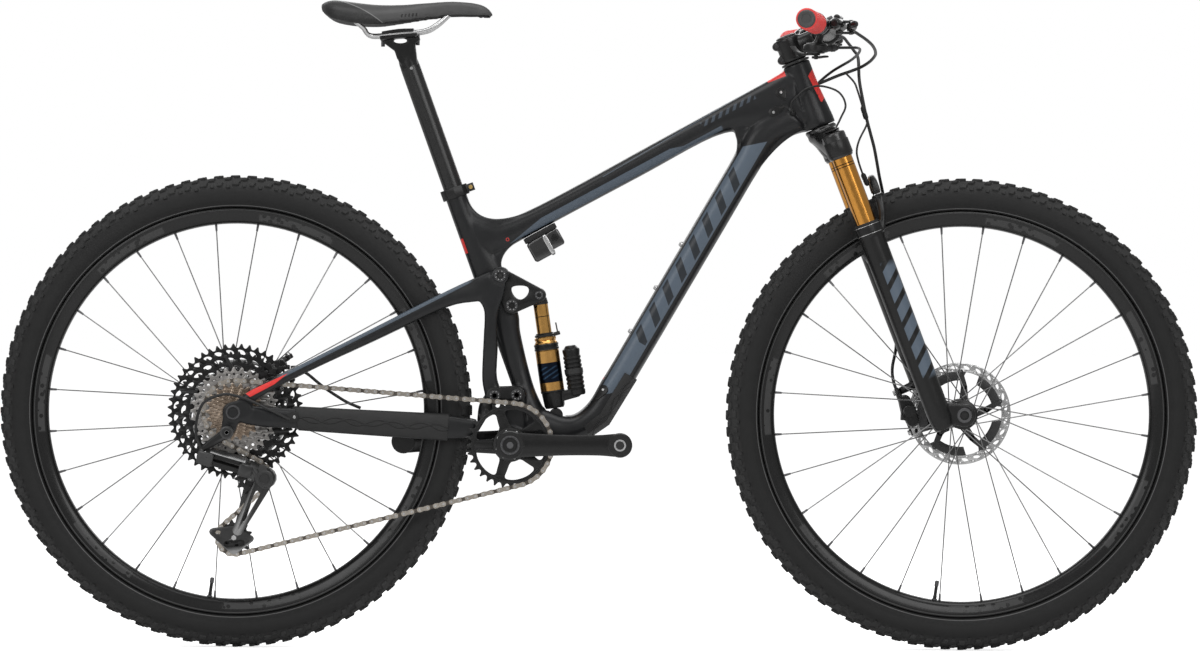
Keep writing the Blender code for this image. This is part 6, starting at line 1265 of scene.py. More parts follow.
@dataclass
class Drivetrain:
    """Chain, cassette, chainring, cranks, bottom bracket and rear derailleur."""

    run: ChainRun = field(default_factory=ChainRun)
    crank_length: float = 0.17
    crank_inner: float = 0.0565

    def link_plate(self, start: Vector, end: Vector, across: float, thick: float, tall: float) -> Shape:
        """One waisted side plate of the chain between two pins."""
        run = (end - start).normalized()
        rise = run.cross(Y).normalized()
        half = (end - start).length / 2
        middle = (start + end) / 2
        profile = []
        for angle in range(-105, 106, 35):
            a = math.radians(angle)
            profile.append((half + tall * math.cos(a), tall * math.sin(a)))
        waist = tall * 0.74
        outline = profile + [(0.0, waist)] + [(-x, z) for x, z in reversed(profile)] + [(0.0, -waist)]
        rings = []
        for side in (-0.5, 0.5):
            rings.append([middle + run * x + rise * z + Y * (across + thick * side) for x, z in outline])
        return skin(rings)

    def chain(self) -> None:
        """The roller chain, link by link."""
        pins = self.run.pins()
        plates, inner, pins_shape = Shape(), Shape(), Shape()
        for k, (start, end) in enumerate(zip(pins, pins[1:] + pins[:1])):
            outer = k % 2 == 0
            for side in (-1, 1):
                across = side * (0.0021 if outer else 0.0013)
                target = plates if outer else inner
                target.join(self.link_plate(start, end, across, 0.0008, 0.0041 if outer else 0.0038))
            inner.join(rod(start - Y * 0.0012, start + Y * 0.0012, 0.0037, steps=10))
            pins_shape.join(rod(start - Y * 0.0027, start + Y * 0.0027, 0.0017, steps=8))
        add_piece("chain_plates", plates, CHAIN_STEEL, "chain", make=CRISP)
        add_piece("chain_inner_plates", inner, CHAIN_DARK, "chain", make=CRISP)
        add_piece("chain_pins", pins_shape, BOLT_SILVER, "chain", make=CRISP)

    def cassette(self) -> None:
        """Twelve sprockets: windowed black ones behind and grey ones on their carrier."""
        centre = PLACE.rear.origin
        root = self.run.root_angle(3)
        dark, bright, small = Shape(), Shape(), Shape()
        for index, teeth in enumerate(self.run.cassette_teeth):
            offset = self.run.sprocket_at(index)
            turn = root if index % 2 == 0 else root + math.pi / teeth
            radius = self.run.radius(teeth)
            inner = 0.0145 if index < 7 else radius * 0.62 if index < 9 else (0.064, 0.0715, 0.0848)[index - 9]
            outlines = [self.run.toothed(centre, teeth, turn), circle(centre, inner, 40)]
            if index > 8:
                outlines += self.windows(centre, radius - 0.014, radius - 0.007, (18, 26, 32)[index - 9], index)
            elif index > 5:
                outlines += [circle(polar(centre, radius - 0.0085, turn + math.tau * (k + 0.5) / teeth), 0.0021, 12)
                    for k in range(teeth)]
            target = dark if index > 8 else bright if index > 5 else small
            target.join(plate(outlines, offset - 0.0008, offset + 0.0008, 0.0002))
        for k in range(6):
            dark.join(self.spider_arm(centre, math.tau * k / 6 + 0.2))
        carrier = lathe([(-0.0655, 0.012), (-0.0655, 0.0155), (-0.064, 0.0165), (-0.045, 0.0185), (-0.04, 0.03),
                (-0.027, 0.033), (-0.0258, 0.03), (-0.0258, 0.012)], centre, Y, 48, closed=True)
        lock = lathe([(-0.0685, 0.0085), (-0.0685, 0.013), (-0.067, 0.014), (-0.0655, 0.014), (-0.0655, 0.0085)],
            centre, Y, 36, closed=True)
        add_piece("cassette_large_sprockets", dark, SPROCKET_BLACK, "cassette", make=CRISP)
        add_piece("cassette_sprockets", bright, SPROCKET_GREY, "cassette", make=CRISP)
        add_piece("cassette_small_sprockets", small, SPROCKET_WARM, "cassette", make=CRISP)
        add_piece("cassette_carrier", carrier.join(lock), SPROCKET_BLACK, "cassette")

    def windows(self, centre: Vector, low: float, high: float, count: int, phase: float) -> list[Outline]:
        """Rounded slanting openings in a ring between two radii."""
        made = []
        for k in range(count):
            first = math.tau * k / count + phase
            step = math.tau / count
            spots = [(low, 0.1), (low, 0.5), ((low + high) / 2, 0.72), (high, 0.8), (high, 0.42),
                ((low + high) / 2, 0.14)]
            made.append(opening(centre, first, step, spots))
        return made

    def spider_arm(self, centre: Vector, angle: float) -> Shape:
        """An arm of the carrier behind the grey sprockets."""
        rounds = [(polar(centre, 0.027, angle), 0.0045), (polar(centre, 0.064, angle + 0.35), 0.0028),
            (polar(centre, 0.087, angle + 0.5), 0.0022)]
        arm = plate([belt(rounds[:2], 16)], -0.0352, -0.0332, 0.0004)
        return arm.join(plate([belt(rounds[1:], 16)], -0.0352, -0.0245, 0.0004))

    def chainring(self) -> None:
        """The chainring with rounded arms, and its bolts."""
        centre = PLACE.bracket.origin
        outlines = [self.run.toothed(centre, self.run.ring_teeth, self.run.root_angle(0), 0.003)]
        outlines.append(circle(centre, 0.0125, 32))
        for k in range(5):
            first = math.tau * (k + 0.5) / 5
            step = math.tau / 5
            spots = [(0.0275, 0.24), (0.04, 0.16), (0.0535, 0.1), (0.0552, 0.3), (0.0552, 0.5), (0.0552, 0.7),
                (0.0535, 0.9), (0.04, 0.84), (0.0275, 0.76), (0.0262, 0.5)]
            outlines.append(opening(centre, first, step, spots))
        line = -self.run.line
        ring = plate(outlines, line - 0.0011, line + 0.0011, 0.0003)
        rim = [circle(centre, 0.0605, 96), circle(centre, 0.056, 96)]
        ring.join(plate(rim, line - 0.0018, line + 0.0018, 0.0005))
        collar = lathe([(-self.crank_inner + 0.0003, 0.0123), (-self.crank_inner + 0.0003, 0.026), (-0.0545, 0.0268),
                (-0.05, 0.023), (-0.0476, 0.019), (-0.0476, 0.0123)], centre, Y, 48, closed=True)
        bolts = Shape()
        for k in range(8):
            spot = polar(centre, 0.0215, math.tau * k / 8 + 0.3)
            bolts.join(across(spot, -0.0574, -0.056, 0.002, steps=12, edge=0.0003))
        add_piece("toothed_ring", ring.join(collar), CRANK_BLACK, "chainring", make=Make(sharp=32.0))
        add_trim("ring_bolts", bolts, BOLT_SILVER, "chainring")

    def crank(self, side: int, direction: int) -> None:
        """A crank arm with bevelled flanks, its cap and the pedal eye's bright bush."""
        label = "right" if side < 0 else "left"
        stations = ((-0.06, 0.015, 0.01, 0.013), (0.0, 0.02, 0.0105, 0.018), (0.18, 0.018, 0.012, 0.017),
            (0.5, 0.0158, 0.016, 0.0155), (0.8, 0.0158, 0.0185, 0.015), (1.0, 0.0178, 0.0195, 0.0148),
            (1.09, 0.012, 0.0195, 0.013))
        rings = []
        for share, tall, out, thick in stations:
            centre = PLACE.bracket.at(direction * share * self.crank_length, 0.0005 * share)
            middle = side * (self.crank_inner - 0.0008 + out)
            ring = []
            for wide, up in ((-0.5, -1.0), (0.5, -1.0), (0.86, -0.72), (1.0, -0.3), (1.0, 0.3), (0.86, 0.72),
                    (0.5, 1.0), (-0.5, 1.0), (-0.9, 0.7), (-0.9, -0.7)):
                ring.append(centre + Z * tall * up + Y * (middle + side * thick / 2 * wide))
            rings.append(ring)
        arm = loft(rings, 6)
        eye = PLACE.bracket.at(direction * self.crank_length, 0.0005)
        far = side * (self.crank_inner + 0.0275)
        arm.join(across(PLACE.bracket.origin, side * self.crank_inner, side * (self.crank_inner + 0.021), 0.0222,
                steps=48, edge=0.0015), across(eye, side * (self.crank_inner + 0.011), far, 0.019, steps=48,
                edge=0.0015))
        bush = lathe([(0.0, 0.0066), (0.0, 0.0088), (0.0004, 0.0092), (0.001, 0.0092), (0.001, 0.0066)],
            eye + Y * (far - 0.0006 * side), Y * side, 36, closed=True)
        well = across(eye, far - side * 0.0004, far + side * 0.0001, 0.0067, steps=30)
        cap_at = side * (self.crank_inner + 0.0212)
        cap = lathe([(0.0, 0.0), (0.0, 0.015), (0.001, 0.0146), (0.0012, 0.0112), (0.0003, 0.0104), (0.0003, 0.0052),
                (-0.006, 0.0048), (-0.006, 0.0)], PLACE.bracket.origin + Y * cap_at, Y * side, 40)
        notches = Shape()
        for k in range(8):
            spot = polar(PLACE.bracket.origin, 0.0132, math.tau * k / 8)
            notches.join(across(spot, cap_at, cap_at + side * 0.0016, 0.0012, steps=10))
        node = f"crank_{label}"
        add_piece(f"{node}_arm", arm, CRANK_BLACK, node, make=Make(sharp=40.0))
        add_piece(f"{node}_cap", cap.join(notches), HUB_BLACK, node, make=CRISP)
        add_piece(f"{node}_bush", bush, BOLT_SILVER, node)
        add_piece(f"{node}_eye_well", well, PULLEY_BLACK, node)

    def derailleur(self) -> None:
        """The derailleur's knuckles, links, cage and pulleys, with bolts and a clutch cap."""
        for node in ("derailleur_b_knuckle", "derailleur_inner_link", "derailleur_p_knuckle"):
            dress_node(node, DERAILLEUR_BLACK, Make(bevel=0.0016, sharp=30.0))
        dress_node("derailleur_outer_link", LINK_CHROME, Make(bevel=0.0012, sharp=30.0))
        dress_node("derailleur_cage", CAGE_GREY, Make(bevel=0.0004, sharp=30.0))
        pivot = PLACE.rear.at(0.0499, -0.1017)
        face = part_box("derailleur_p_knuckle")[0].y
        cap = lathe([(-0.0002, 0.0), (-0.0002, 0.0072), (0.0006, 0.008), (0.0006, 0.0118), (-0.0004, 0.013),
                (-0.0034, 0.0132), (-0.0034, 0.0)], pivot + Y * (face + 0.001), -Y, 48)
        boss = across(pivot + Vector((-0.003, 0.0, 0.015)), face + 0.004, face + 0.0008, 0.0068, steps=32,
            edge=0.0008)
        add_trim("clutch_cap", cap, CLUTCH_GREY, "derailleur_p_knuckle")
        add_trim("clutch_boss", boss, CLUTCH_GREY, "derailleur_p_knuckle")
        hanger = PLACE.rear.at(-0.0089, -0.031)
        outer = -(0.074 + 0.0003 + 0.008 + 0.0003)
        bolt = lathe([(0.0105, 0.0), (0.0105, 0.003), (0.0114, 0.0034), (0.0116, 0.0072), (0.011, 0.008),
                (0.0095, 0.0082), (0.0095, 0.0)], hanger + Y * outer, -Y, 36)
        add_trim("hanger_bolt", bolt, DERAILLEUR_BLACK, "derailleur_b_knuckle")
        socket = lathe([(0.0, 0.0), (0.0, 0.0026), (0.0005, 0.003), (0.0005, 0.0036), (-0.0004, 0.0038),
                (-0.0004, 0.0)], hanger + Y * (outer - 0.0105), -Y, 24)
        add_trim("hanger_socket", socket, BOLT_SILVER, "derailleur_b_knuckle")
        for index, (node, spot) in enumerate((("tension_pulley", self.run.wheels[1][0]),
                ("guide_pulley", self.run.wheels[2][0]))):
            at = self.run.sprocket_at(self.run.on_sprocket)
            outlines = [self.run.toothed(spot, self.run.pulley_teeth, self.run.root_angle(index + 1), 0.002),
                circle(spot, 0.0034, 20)]
            for k in range(5):
                angle = math.tau * k / 5
                outlines.append(circle(polar(spot, 0.0135, angle), 0.003, 14))
            wheel = plate(outlines, at - 0.001, at + 0.001, 0.0002)
            hub = lathe([(-0.0045, 0.0034), (-0.0045, 0.006), (-0.002, 0.0085), (0.002, 0.0085), (0.0045, 0.006),
                    (0.0045, 0.0034)], spot + Y * at, Y, 32, closed=True)
            add_piece(f"{node}_wheel", wheel.join(hub), PULLEY_BLACK, node, make=CRISP)
            cap = across(spot, at - 0.0085, at - 0.0066, 0.004, steps=20, edge=0.0004)
            add_trim(f"{node}_bolt", cap, BOLT_SILVER, "derailleur_cage")

    def build(self) -> None:
        """Makes and dresses the drivetrain."""
        self.chain()
        self.cassette()
        self.chainring()
        self.crank(-1, 1)
        self.crank(1, -1)
        dress_node("bottom_bracket", HUB_BLACK, Make(bevel=0.0004))
        self.derailleur()


# --- Frame, suspension and fork -------------------------------------------------------------
PAINT = (0.0076, 0.0079, 0.0086)
SLATE = (0.078, 0.1, 0.128)
ACCENT_RED = (0.62, 0.035, 0.03)


def mottled(shader: Shader, colour: Colour) -> Field:
    """A paint's colour, a little darker and lighter in broad patches."""
    return shader.mix(shader.noise(30.0, 3.0), scaled(colour, 0.85), scaled(colour, 1.2))


@dataclass(frozen=True)
class FramePaint(Finish):
    """Satin charcoal over composite, with slate panels, slanted bars and red accents."""

    def base(self, shader: Shader) -> Field:
        """The charcoal with its panels."""
        colour = mottled(shader, self.colour)
        colour = shader.mix(self.down_tube(shader), colour, SLATE)
        colour = shader.mix(self.top_tube(shader), colour, scaled(SLATE, 0.85))
        return shader.mix(self.red(shader), colour, ACCENT_RED)

    def down_tube(self, shader: Shader) -> Field:
        """The slate panel along the down tube, broken by slanted bars."""
        line = Panel(Vector((0.0384, 0.0, 0.4322)), Vector((0.2258, 0.0, 0.7544)))
        along, above = line.along(shader), line.above(shader)
        panel = above.between(-0.0105, 0.0178) * (along + above * 0.9).between(-0.038, 0.412)
        step = (along - above * 0.85) / 0.0405 % 1.0
        bars = step.between(0.22, 0.62, 0.012) * above.between(-0.0078, 0.015)
        return panel * (1.0 - bars * along.between(0.052, 0.362) * 0.86)

    def top_tube(self, shader: Shader) -> Field:
        """The slate stripe that follows the top tube's lower side, and its fading hatch."""
        line = Panel(Vector((-0.1342, 0.0, 0.6297)), Vector((0.2217, 0.0, 0.8226)))
        along, above = line.along(shader), line.above(shader)
        rise = (along * 0.2 + 0.0045).clipped().least(0.016)
        drop = ((along - 0.285) * 0.3).clipped().least(0.006)
        stripe = (rise - drop - above).above(0.0) * above.above(0.0035) * along.between(-0.012, 0.372, 0.003)
        hatch = ((along - above * 0.9) / 0.0125 % 1.0).between(0.25, 0.72, 0.03)
        marks = hatch * above.between(0.0215, 0.0295) * along.between(0.345, 0.44, 0.002)
        pin = (above - along * 0.0387).between(0.0197, 0.0209) * along.between(0.172, 0.475)
        return (stripe + marks * 0.6 + pin * 0.8).clipped()

    def red(self, shader: Shader) -> Field:
        """The red accents round the head tube, seat tube and main pivot."""
        down = Panel(PLACE.steer.origin, PLACE.steer.origin + PLACE.steer.first)
        along, ahead = down.along(shader), down.above(shader)
        front = (ahead - along * 0.1).above(0.018) * (along + ahead * 0.8).between(-0.072, -0.022)
        chips = shader.cells(140.0).above(0.26, 0.02) + (along * -1.0).above(0.048)
        crown = (along * -1.0).above(0.0925) * ahead.between(-0.052, -0.022)
        post = Panel(PLACE.seat.origin, PLACE.seat.origin + PLACE.seat.first)
        rear = post.above(shader).above(0.012) * post.along(shader).between(-0.1, -0.076)
        ring = shader.reach(Vector((-0.1435, 0.0, 0.6374))).between(0.0018, 0.0027, 0.0003)
        spot = 1.0 - shader.reach(Vector((0.0047, 0.0, 0.4235))).above(0.003)
        return (front * chips.clipped() + crown + rear + ring + spot).clipped()


@dataclass(frozen=True)
class StayPaintAndHighlight(Finish):
    """The swingarm's charcoal with a painted slate highlight along the stays' upper side, where light falls, and a
    red wedge.
    """

    def base(self, shader: Shader) -> Field:
        """The charcoal with its painted highlight along the stays and its red wedge."""
        colour = mottled(shader, self.colour)
        stay = Panel(PLACE.rear.at(0.0959, 0.0705), PLACE.bracket.at(-0.1072, 0.2347))
        along, above = stay.along(shader), stay.above(shader)
        # stripe is a painted highlight: the stays' upper side is drawn lighter, as if lit from above.
        stripe = above.between(-0.0058, 0.005) * along.between(-0.03, 0.3, 0.01)
        foot = Panel(PLACE.rear.at(0.0178, 0.03), PLACE.rear.at(0.0841, 0.0606))
        low, rise = foot.along(shader), foot.above(shader)
        wedge = (rise - low * 0.0574).above(-0.0095) * (rise - low * 0.2625).above(-0.0192)
        wedge = wedge * (rise * -1.0).above(0.0) * (low + rise * 0.576).above(0.0)
        # The painted highlight is mixed in as slate over the top of the stays.
        colour = shader.mix(stripe * 0.85, colour, SLATE)
        return shader.mix(wedge, colour, ACCENT_RED)


@dataclass(frozen=True)
class ForkPaint(Finish):
    """Satin black fork legs with slanted slate bars."""

    def base(self, shader: Shader) -> Field:
        """The black with its slate bars."""
        down = Panel(PLACE.steer.origin, PLACE.steer.origin + PLACE.steer.first)
        along, ahead = down.along(shader), down.above(shader)
        slanted = (along + ahead * 0.9) / 0.031
        block = (slanted % 1.0).between(0.12, 0.8, 0.02)
        patch = block * along.between(0.235, 0.42, 0.01) * ahead.between(0.0075, 0.03, 0.001)
        colour = mottled(shader, self.colour)
        return shader.mix(patch, colour, scaled(SLATE, 1.1))


@dataclass(frozen=True)
class Bronze(Finish):
    """Bronze anodised metal with thin dark rings or a dark, barred band."""

    axis: Panel | None = None
    rings: tuple[float, ...] = ()
    label: tuple[float, float] = (0.0, 0.0)

    def base(self, shader: Shader) -> Field:
        """The bronze with its rings and its plain label."""
        tone = shader.mix(shader.noise(220.0, 2.0), scaled(self.colour, 0.9), scaled(self.colour, 1.08))
        if self.axis is None:
            return tone
        along, above = self.axis.along(shader), self.axis.above(shader)
        for at in self.rings:
            tone = shader.mix(along.between(at - 0.0006, at + 0.0006, 0.0003), tone, grey(0.012))
        if self.label[1] > self.label[0]:
            face = along.between(*self.label)
            marks = ((along + above * 0.5) / 0.0075 % 1.0).between(0.3, 0.62, 0.05)
            inner = along.between(self.label[0] + 0.006, self.label[1] - 0.006) * marks
            blue = shader.mix(inner, (0.01, 0.014, 0.024), (0.035, 0.07, 0.12))
            tone = shader.mix(face, tone, blue)
        return tone


@dataclass(frozen=True)
class GuardRubber(Finish):
    """Moulded rubber with raised ridges and hexagons."""

    start: Vector = field(default_factory=Vector)
    end: Vector = field(default_factory=lambda: Vector(X))

    def height(self, shader: Shader) -> Field:
        """Long waves that cross into raised cells."""
        line = Panel(self.start, self.end)
        along, above = line.along(shader), line.above(shader)
        wave = (along * 95.0).sine() * 0.0042 - above
        back = (along * 95.0 + 2.1).sine() * 0.0052 - above
        ridges = (1.0 - abs(wave).above(0.0011, 0.001)) + (1.0 - abs(back).above(0.0009, 0.001)) * 0.8
        return ridges.clipped() * 6.0 + shader.noise(1500.0, 3.0) * 0.3


CHARCOAL = FramePaint("satin_charcoal", PAINT, 0.32, gloss=0.32, depth=0.000015)
STAY_CHARCOAL_AND_HIGHLIGHT = StayPaintAndHighlight("stay_charcoal_and_highlight", PAINT, 0.32, gloss=0.32, depth=0.000015)
# satin_black's lightened edges are a painted highlight, partly wear.
SATIN_BLACK = Finish("satin_black", grey(0.008), 0.3, 0.2, gloss=0.3, edge_wear_and_highlight=0.3, edge_wear_and_highlight_colour=grey(0.09))
FORK_BLACK = ForkPaint("fork_black", grey(0.007), 0.32, gloss=0.3, depth=0.00001)
CROWN_BLACK = Finish("crown_black", grey(0.006), 0.24, gloss=0.5, coat=0.3, depth=0.00001)
RUBBER = Finish("plain_rubber", grey(0.01), 0.62, gloss=0.3, grain=Grain.MOULDED, depth=0.00006)
HOSE_BLACK = Finish("hose_black", grey(0.008), 0.36, gloss=0.4, grain=Grain.FINE)
BRASS = Finish("brass_bolt", (0.55, 0.38, 0.14), 0.3, 1.0, grain=Grain.BRUSHED, depth=0.00001)


def spread(rings: list[list[Vector]], grow: float) -> list[list[Vector]]:
    """Rings moved outwards from their own middles."""
    made = []
    for ring in rings:
        middle = sum(ring, Vector()) / len(ring)
        made.append([point + (point - middle).normalized() * grow for point in ring])
    return made


def corner_web(corner: Vector, first: Vector, second: Vector, half_width: float) -> Shape:
    """A web whose free edge is drawn in a hollow curve between two tubes."""
    outline = [corner]
    for k in range(13):
        t = k / 12
        outline.append(first * (1 - t) ** 2 + corner * 2 * t * (1 - t) + second * t**2)
    return plate([flat(outline)], -half_width, half_width, 0.0015)


@dataclass
class MainFrame:
    """The front triangle with its ports, bolts and guard, and what is fixed to it."""

    power: float = 2.5
    cradle: tuple[Station, ...] = (((0.01, 0.056), (-0.01, -0.021), 0.028), ((0.05, 0.057), (0.042, -0.0185), 0.028),
        ((0.0816, 0.0462), (0.086, -0.0065), 0.027), ((0.1007, 0.0478), (0.1235, 0.0125), 0.027),
        ((0.1226, 0.0671), (0.152, 0.032), 0.027), ((0.1418, 0.1006), (0.1775, 0.0745), 0.027),
        ((0.1566, 0.1245), (0.1945, 0.102), 0.027))
    seat_tube_radius: float = 0.0172
    grain: float = 0.0017

    def down_tube(self) -> Shape:
        """The cradle under the shock and the down tube up to the head."""
        b, s = PLACE.bracket, PLACE.steer
        low_top, low_bottom = (b.at(*pair) for pair in self.cradle[-1][:2])
        high_top, high_bottom = s.at(-0.0028, -0.1443), s.at(0.0331, -0.117)
        rings = ovals(b.at, self.cradle, self.power)
        for share, half in ((0.35, 0.028), (0.75, 0.029), (1.0, 0.0285)):
            rings.append(oval(low_top.lerp(high_top, share), low_bottom.lerp(high_bottom, share), half,
                    power=self.power))
        rings.append(oval(s.at(-0.04, -0.104), s.at(0.0005, -0.068), 0.028, power=self.power))
        rings.append(oval(s.at(-0.06, -0.045), s.at(-0.0008, -0.02), 0.025, power=self.power))
        return loft(rings, 5)

    def top_tube(self) -> Shape:
        """The sloping top tube, which deepens into the head tube."""
        b, s, t = PLACE.bracket, PLACE.steer, PLACE.seat
        low_top, low_bottom = b.at(0.0743, 0.3887), b.at(0.0744, 0.3501)
        high_top, high_bottom = s.at(-0.0965, -0.0476), s.at(-0.05, -0.11)
        rings = ovals(t.at, (((-0.03, 0.008), (-0.125, 0.008), 0.0165), ((-0.062, 0.034), (-0.116, 0.039), 0.017)),
            self.power)
        rings += ovals(b.at, (((0.0, 0.353), (0.003, 0.3107), 0.0175),), self.power)
        for share, half in ((0.0, 0.0185), (0.45, 0.0205), (0.85, 0.0225)):
            rings.append(oval(low_top.lerp(high_top, share), low_bottom.lerp(high_bottom, share), half,
                    power=self.power))
        rings.append(oval(high_top, s.at(-0.03, -0.098), 0.0235, power=self.power))
        rings.append(oval(s.at(-0.103, -0.012), s.at(-0.004, -0.02), 0.022, power=self.power))
        return loft(rings, 5)

    def seat_tube(self) -> Shape:
        """The seat tube down to the strut behind the shock."""
        t, r = PLACE.seat, self.seat_tube_radius
        stations = ((0.0, r, r), (-0.045, r, r), (-0.12, 0.029, r), (-0.165, 0.031, 0.0165), (-0.215, 0.0304, 0.0165),
            (-0.242, 0.0237, 0.0165), (-0.292, 0.0175, 0.0165), (-0.335, 0.015, 0.02), (-0.372, 0.0185, 0.027))
        rings = [oval(t.at(up, front), t.at(up, -r), half, power=2.2) for up, front, half in stations]
        return loft(rings, 5)

    def webs(self) -> Shape:
        """Hollow-edged webs at the tube junctions."""
        b, s, t = PLACE.bracket, PLACE.steer, PLACE.seat
        behind = corner_web(t.at(-0.072, 0.012), t.at(-0.014, 0.016), b.at(0.02, 0.36), 0.0125)
        under = corner_web(s.at(-0.012, -0.052), s.at(-0.0012, -0.012), s.at(0.029, -0.113), 0.0165)
        pivot = corner_web(t.at(-0.118, 0.02), b.at(0.012, 0.317), t.at(-0.16, 0.03), 0.0125)
        inner = corner_web(s.at(-0.036, -0.118), s.at(-0.056, -0.134), s.at(-0.006, -0.138), 0.018)
        fill = across(s.at(-0.032, -0.1165), -0.018, 0.018, 0.0115, steps=32)
        return behind.join(under, pivot, inner, fill)

    def shell(self) -> Shape:
        """Head tube, bottom bracket shell and pivot tower."""
        b = PLACE.bracket
        head = lathe([(0.0, 0.0), (0.0, 0.0255), (-0.012, 0.0255), (-0.06, 0.0215), (-0.1054, 0.0215),
                (-0.1054, 0.0)], PLACE.steer.origin, PLACE.steer.first, 48)
        tower = plate([belt([(b.at(0.0093, 0.0768), 0.013), (b.origin, 0.0236)])], -0.03, 0.03, 0.0015)
        return head.join(tower, across(b.origin, -0.0445, 0.0445, 0.0262, steps=48))

    def slot(self) -> Shape:
        """The room for the shock's lower eye between its lugs."""
        base = PLACE.bracket.at(0.0702, 0.0452)
        return plate([belt([(base, 0.014), (base + Z * 0.03, 0.0205)])], -0.0133, 0.0133)

    def details(self, shell: bpy.types.Object) -> None:
        """Bottle bolts, cable ports with their screws, and the cable guides."""
        b, s, h = PLACE.bracket, PLACE.steer, PLACE.head
        low, high = b.at(*self.cradle[-1][0]), s.at(-0.0028, -0.1443)
        run = (high - low).normalized()
        normal = Vector((-run.z, 0.0, run.x))
        bolts = Shape()
        for share in (0.16, 0.37, 0.58):
            place = low.lerp(high, share)
            rings = [ring_about(place + normal * rise, normal, radius, 24)
                for rise, radius in ((-0.002, 0.0044), (0.0018, 0.0044), (0.0022, 0.0038), (0.0036, 0.0036),
                    (0.0044, 0.0026), (0.0044, 0.0014), (0.0024, 0.0012))]
            bolts.join(skin(rings))
        covers, screws = Shape(), Shape()
        spots = [(h.at(-0.0615, 0.0526), h.at(-0.056, 0.044)), (h.at(-0.073, 0.0215), h.at(-0.059, 0.03)),
            (b.at(0.144, 0.085), b.at(0.134, 0.072))]
        for centre, nose in spots:
            for side in (-1, 1):
                hit, place, normal, _ = shell.ray_cast(centre + Y * side * 0.2, Y * -side)
                if not hit:
                    continue
                turn = (Y * side).rotation_difference(normal).to_matrix().to_4x4()
                seat = Matrix.Translation(place) @ turn @ Matrix.Translation(centre * -1.0)
                edge = belt([(centre, 0.0078), (nose, 0.0032)], 40)
                low, high = sorted((side * -0.003, side * 0.0014))
                covers.join(plate([edge], low, high, 0.0007).placed(seat))
                screws.join(across(centre, side * 0.001, side * 0.0024, 0.0022, steps=20, edge=0.0003).placed(seat))
        add_trim("bottle_bolts", bolts, BOLT_SILVER, "front_frame")
        add_trim("port_covers", covers, SATIN_BLACK, "front_frame")
        add_trim("port_screws", screws, BOLT_SILVER, "front_frame")
        guides = Shape()
        for at in (s.at(-0.061, -0.033, 0.0262), s.at(-0.033, -0.048, 0.0262)):
            guides.join(rod(at - Y * 0.012, at, 0.0062, 0.0046, 20, 0.0006))
        wire = s.at(-0.0345, -0.033, -0.0306)
        guides.join(rod(wire + Y * 0.012, wire, 0.0056, 0.0032, 20, 0.0006))
        add_trim("cable_guides", guides, RUBBER, "front_frame")

    def guard(self) -> None:
        """The moulded rubber guard under the bend of the down tube."""
        b = PLACE.bracket
        finish = GuardRubber("downtube_rubber", grey(0.011), 0.6, grain=Grain.MOULDED, depth=0.0004,
            start=b.at(0.13, 0.02), end=b.at(0.195, 0.11))
        dress_node("downtube_guard", finish, Make(bevel=0.0006, sharp=32.0))

    def clamp(self) -> None:
        """The seat collar with its bolt."""
        dress_node("seat_clamp", SATIN_BLACK, Make(bevel=0.0007, sharp=30.0))
        place = PLACE.seat.at(-0.0045, 0.0262)
        head = across(place, -0.0102, -0.0075, 0.0036, steps=20, edge=0.0005)
        add_trim("clamp_bolt", head.join(across(place, 0.0075, 0.01, 0.003, steps=6)), BRASS, "seat_clamp")

    def battery(self) -> None:
        """The controller under the top tube: mount, gloss case, strap and button."""
        rear, front = PLACE.bracket.at(0.003, 0.3107), PLACE.bracket.at(0.0744, 0.3501)
        run = (front - rear).normalized()
        down = Vector((run.z, 0.0, -run.x))
        seat = rear + run * 0.0165 + down * 0.0003
        place = Datum(seat, run, down)

        def slab(ahead: float, low: float, high: float, long: float, wide: float, ease: float) -> Shape:
            """A soft-edged block between two depths below the tube."""
            middle = place.at(ahead, (low + high) / 2)
            rings = []
            for across_by, share in ((-1.0, 0.86), (-0.86, 1.0), (0.86, 1.0), (1.0, 0.86)):
                half_long, half_tall = long / 2 * share, (high - low) / 2 * share
                corners = [Vector((half_long * x, half_tall * z, 0.0))
                    for x, z in ((-1, -1 + ease), (-1 + ease, -1), (1 - ease, -1), (1, -1 + ease), (1, 1 - ease),
                        (1 - ease, 1), (-1 + ease, 1), (-1, 1 - ease))]
                rings.append([middle + run * c.x + down * c.y + Y * (wide / 2 * across_by) for c in corners])
            return skin(rings)

        mount = slab(0.028, 0.0, 0.009, 0.0555, 0.0272, 0.15)
        for k in range(7):
            mount.join(slab(0.008 + 0.0065 * k, 0.0062, 0.0092, 0.0026, 0.03, 0.3))
        case = slab(0.017, 0.0088, 0.042, 0.033, 0.0315, 0.18)
        case.join(slab(0.044, 0.0088, 0.0365, 0.023, 0.03, 0.22))
        strap = slab(0.0315, 0.0086, 0.0432, 0.008, 0.034, 0.3)
        clip = slab(0.0315, 0.0335, 0.044, 0.006, 0.02, 0.3)
        button = across(place.at(0.045, 0.0205), -0.017, -0.0145, 0.0062, steps=32, edge=0.0008)
        gloss = Finish("battery_gloss", grey(0.006), 0.1, gloss=0.6, coat=0.8, grain=Grain.FINE, depth=0.000005)
        steel = Finish("strap_steel", grey(0.55), 0.22, 1.0, grain=Grain.BRUSHED, depth=0.00001)
        add_piece("battery_mount", mount, RUBBER, "suspension_battery", make=Make(bevel=0.0004))
        add_piece("battery_case", case, gloss, "suspension_battery", make=Make(bevel=0.0012, sharp=20.0))
        add_piece("battery_strap", strap, steel, "suspension_battery", make=Make(bevel=0.0005))
        add_piece("battery_clip", clip.join(button), SATIN_BLACK, "suspension_battery", make=Make(bevel=0.0004))

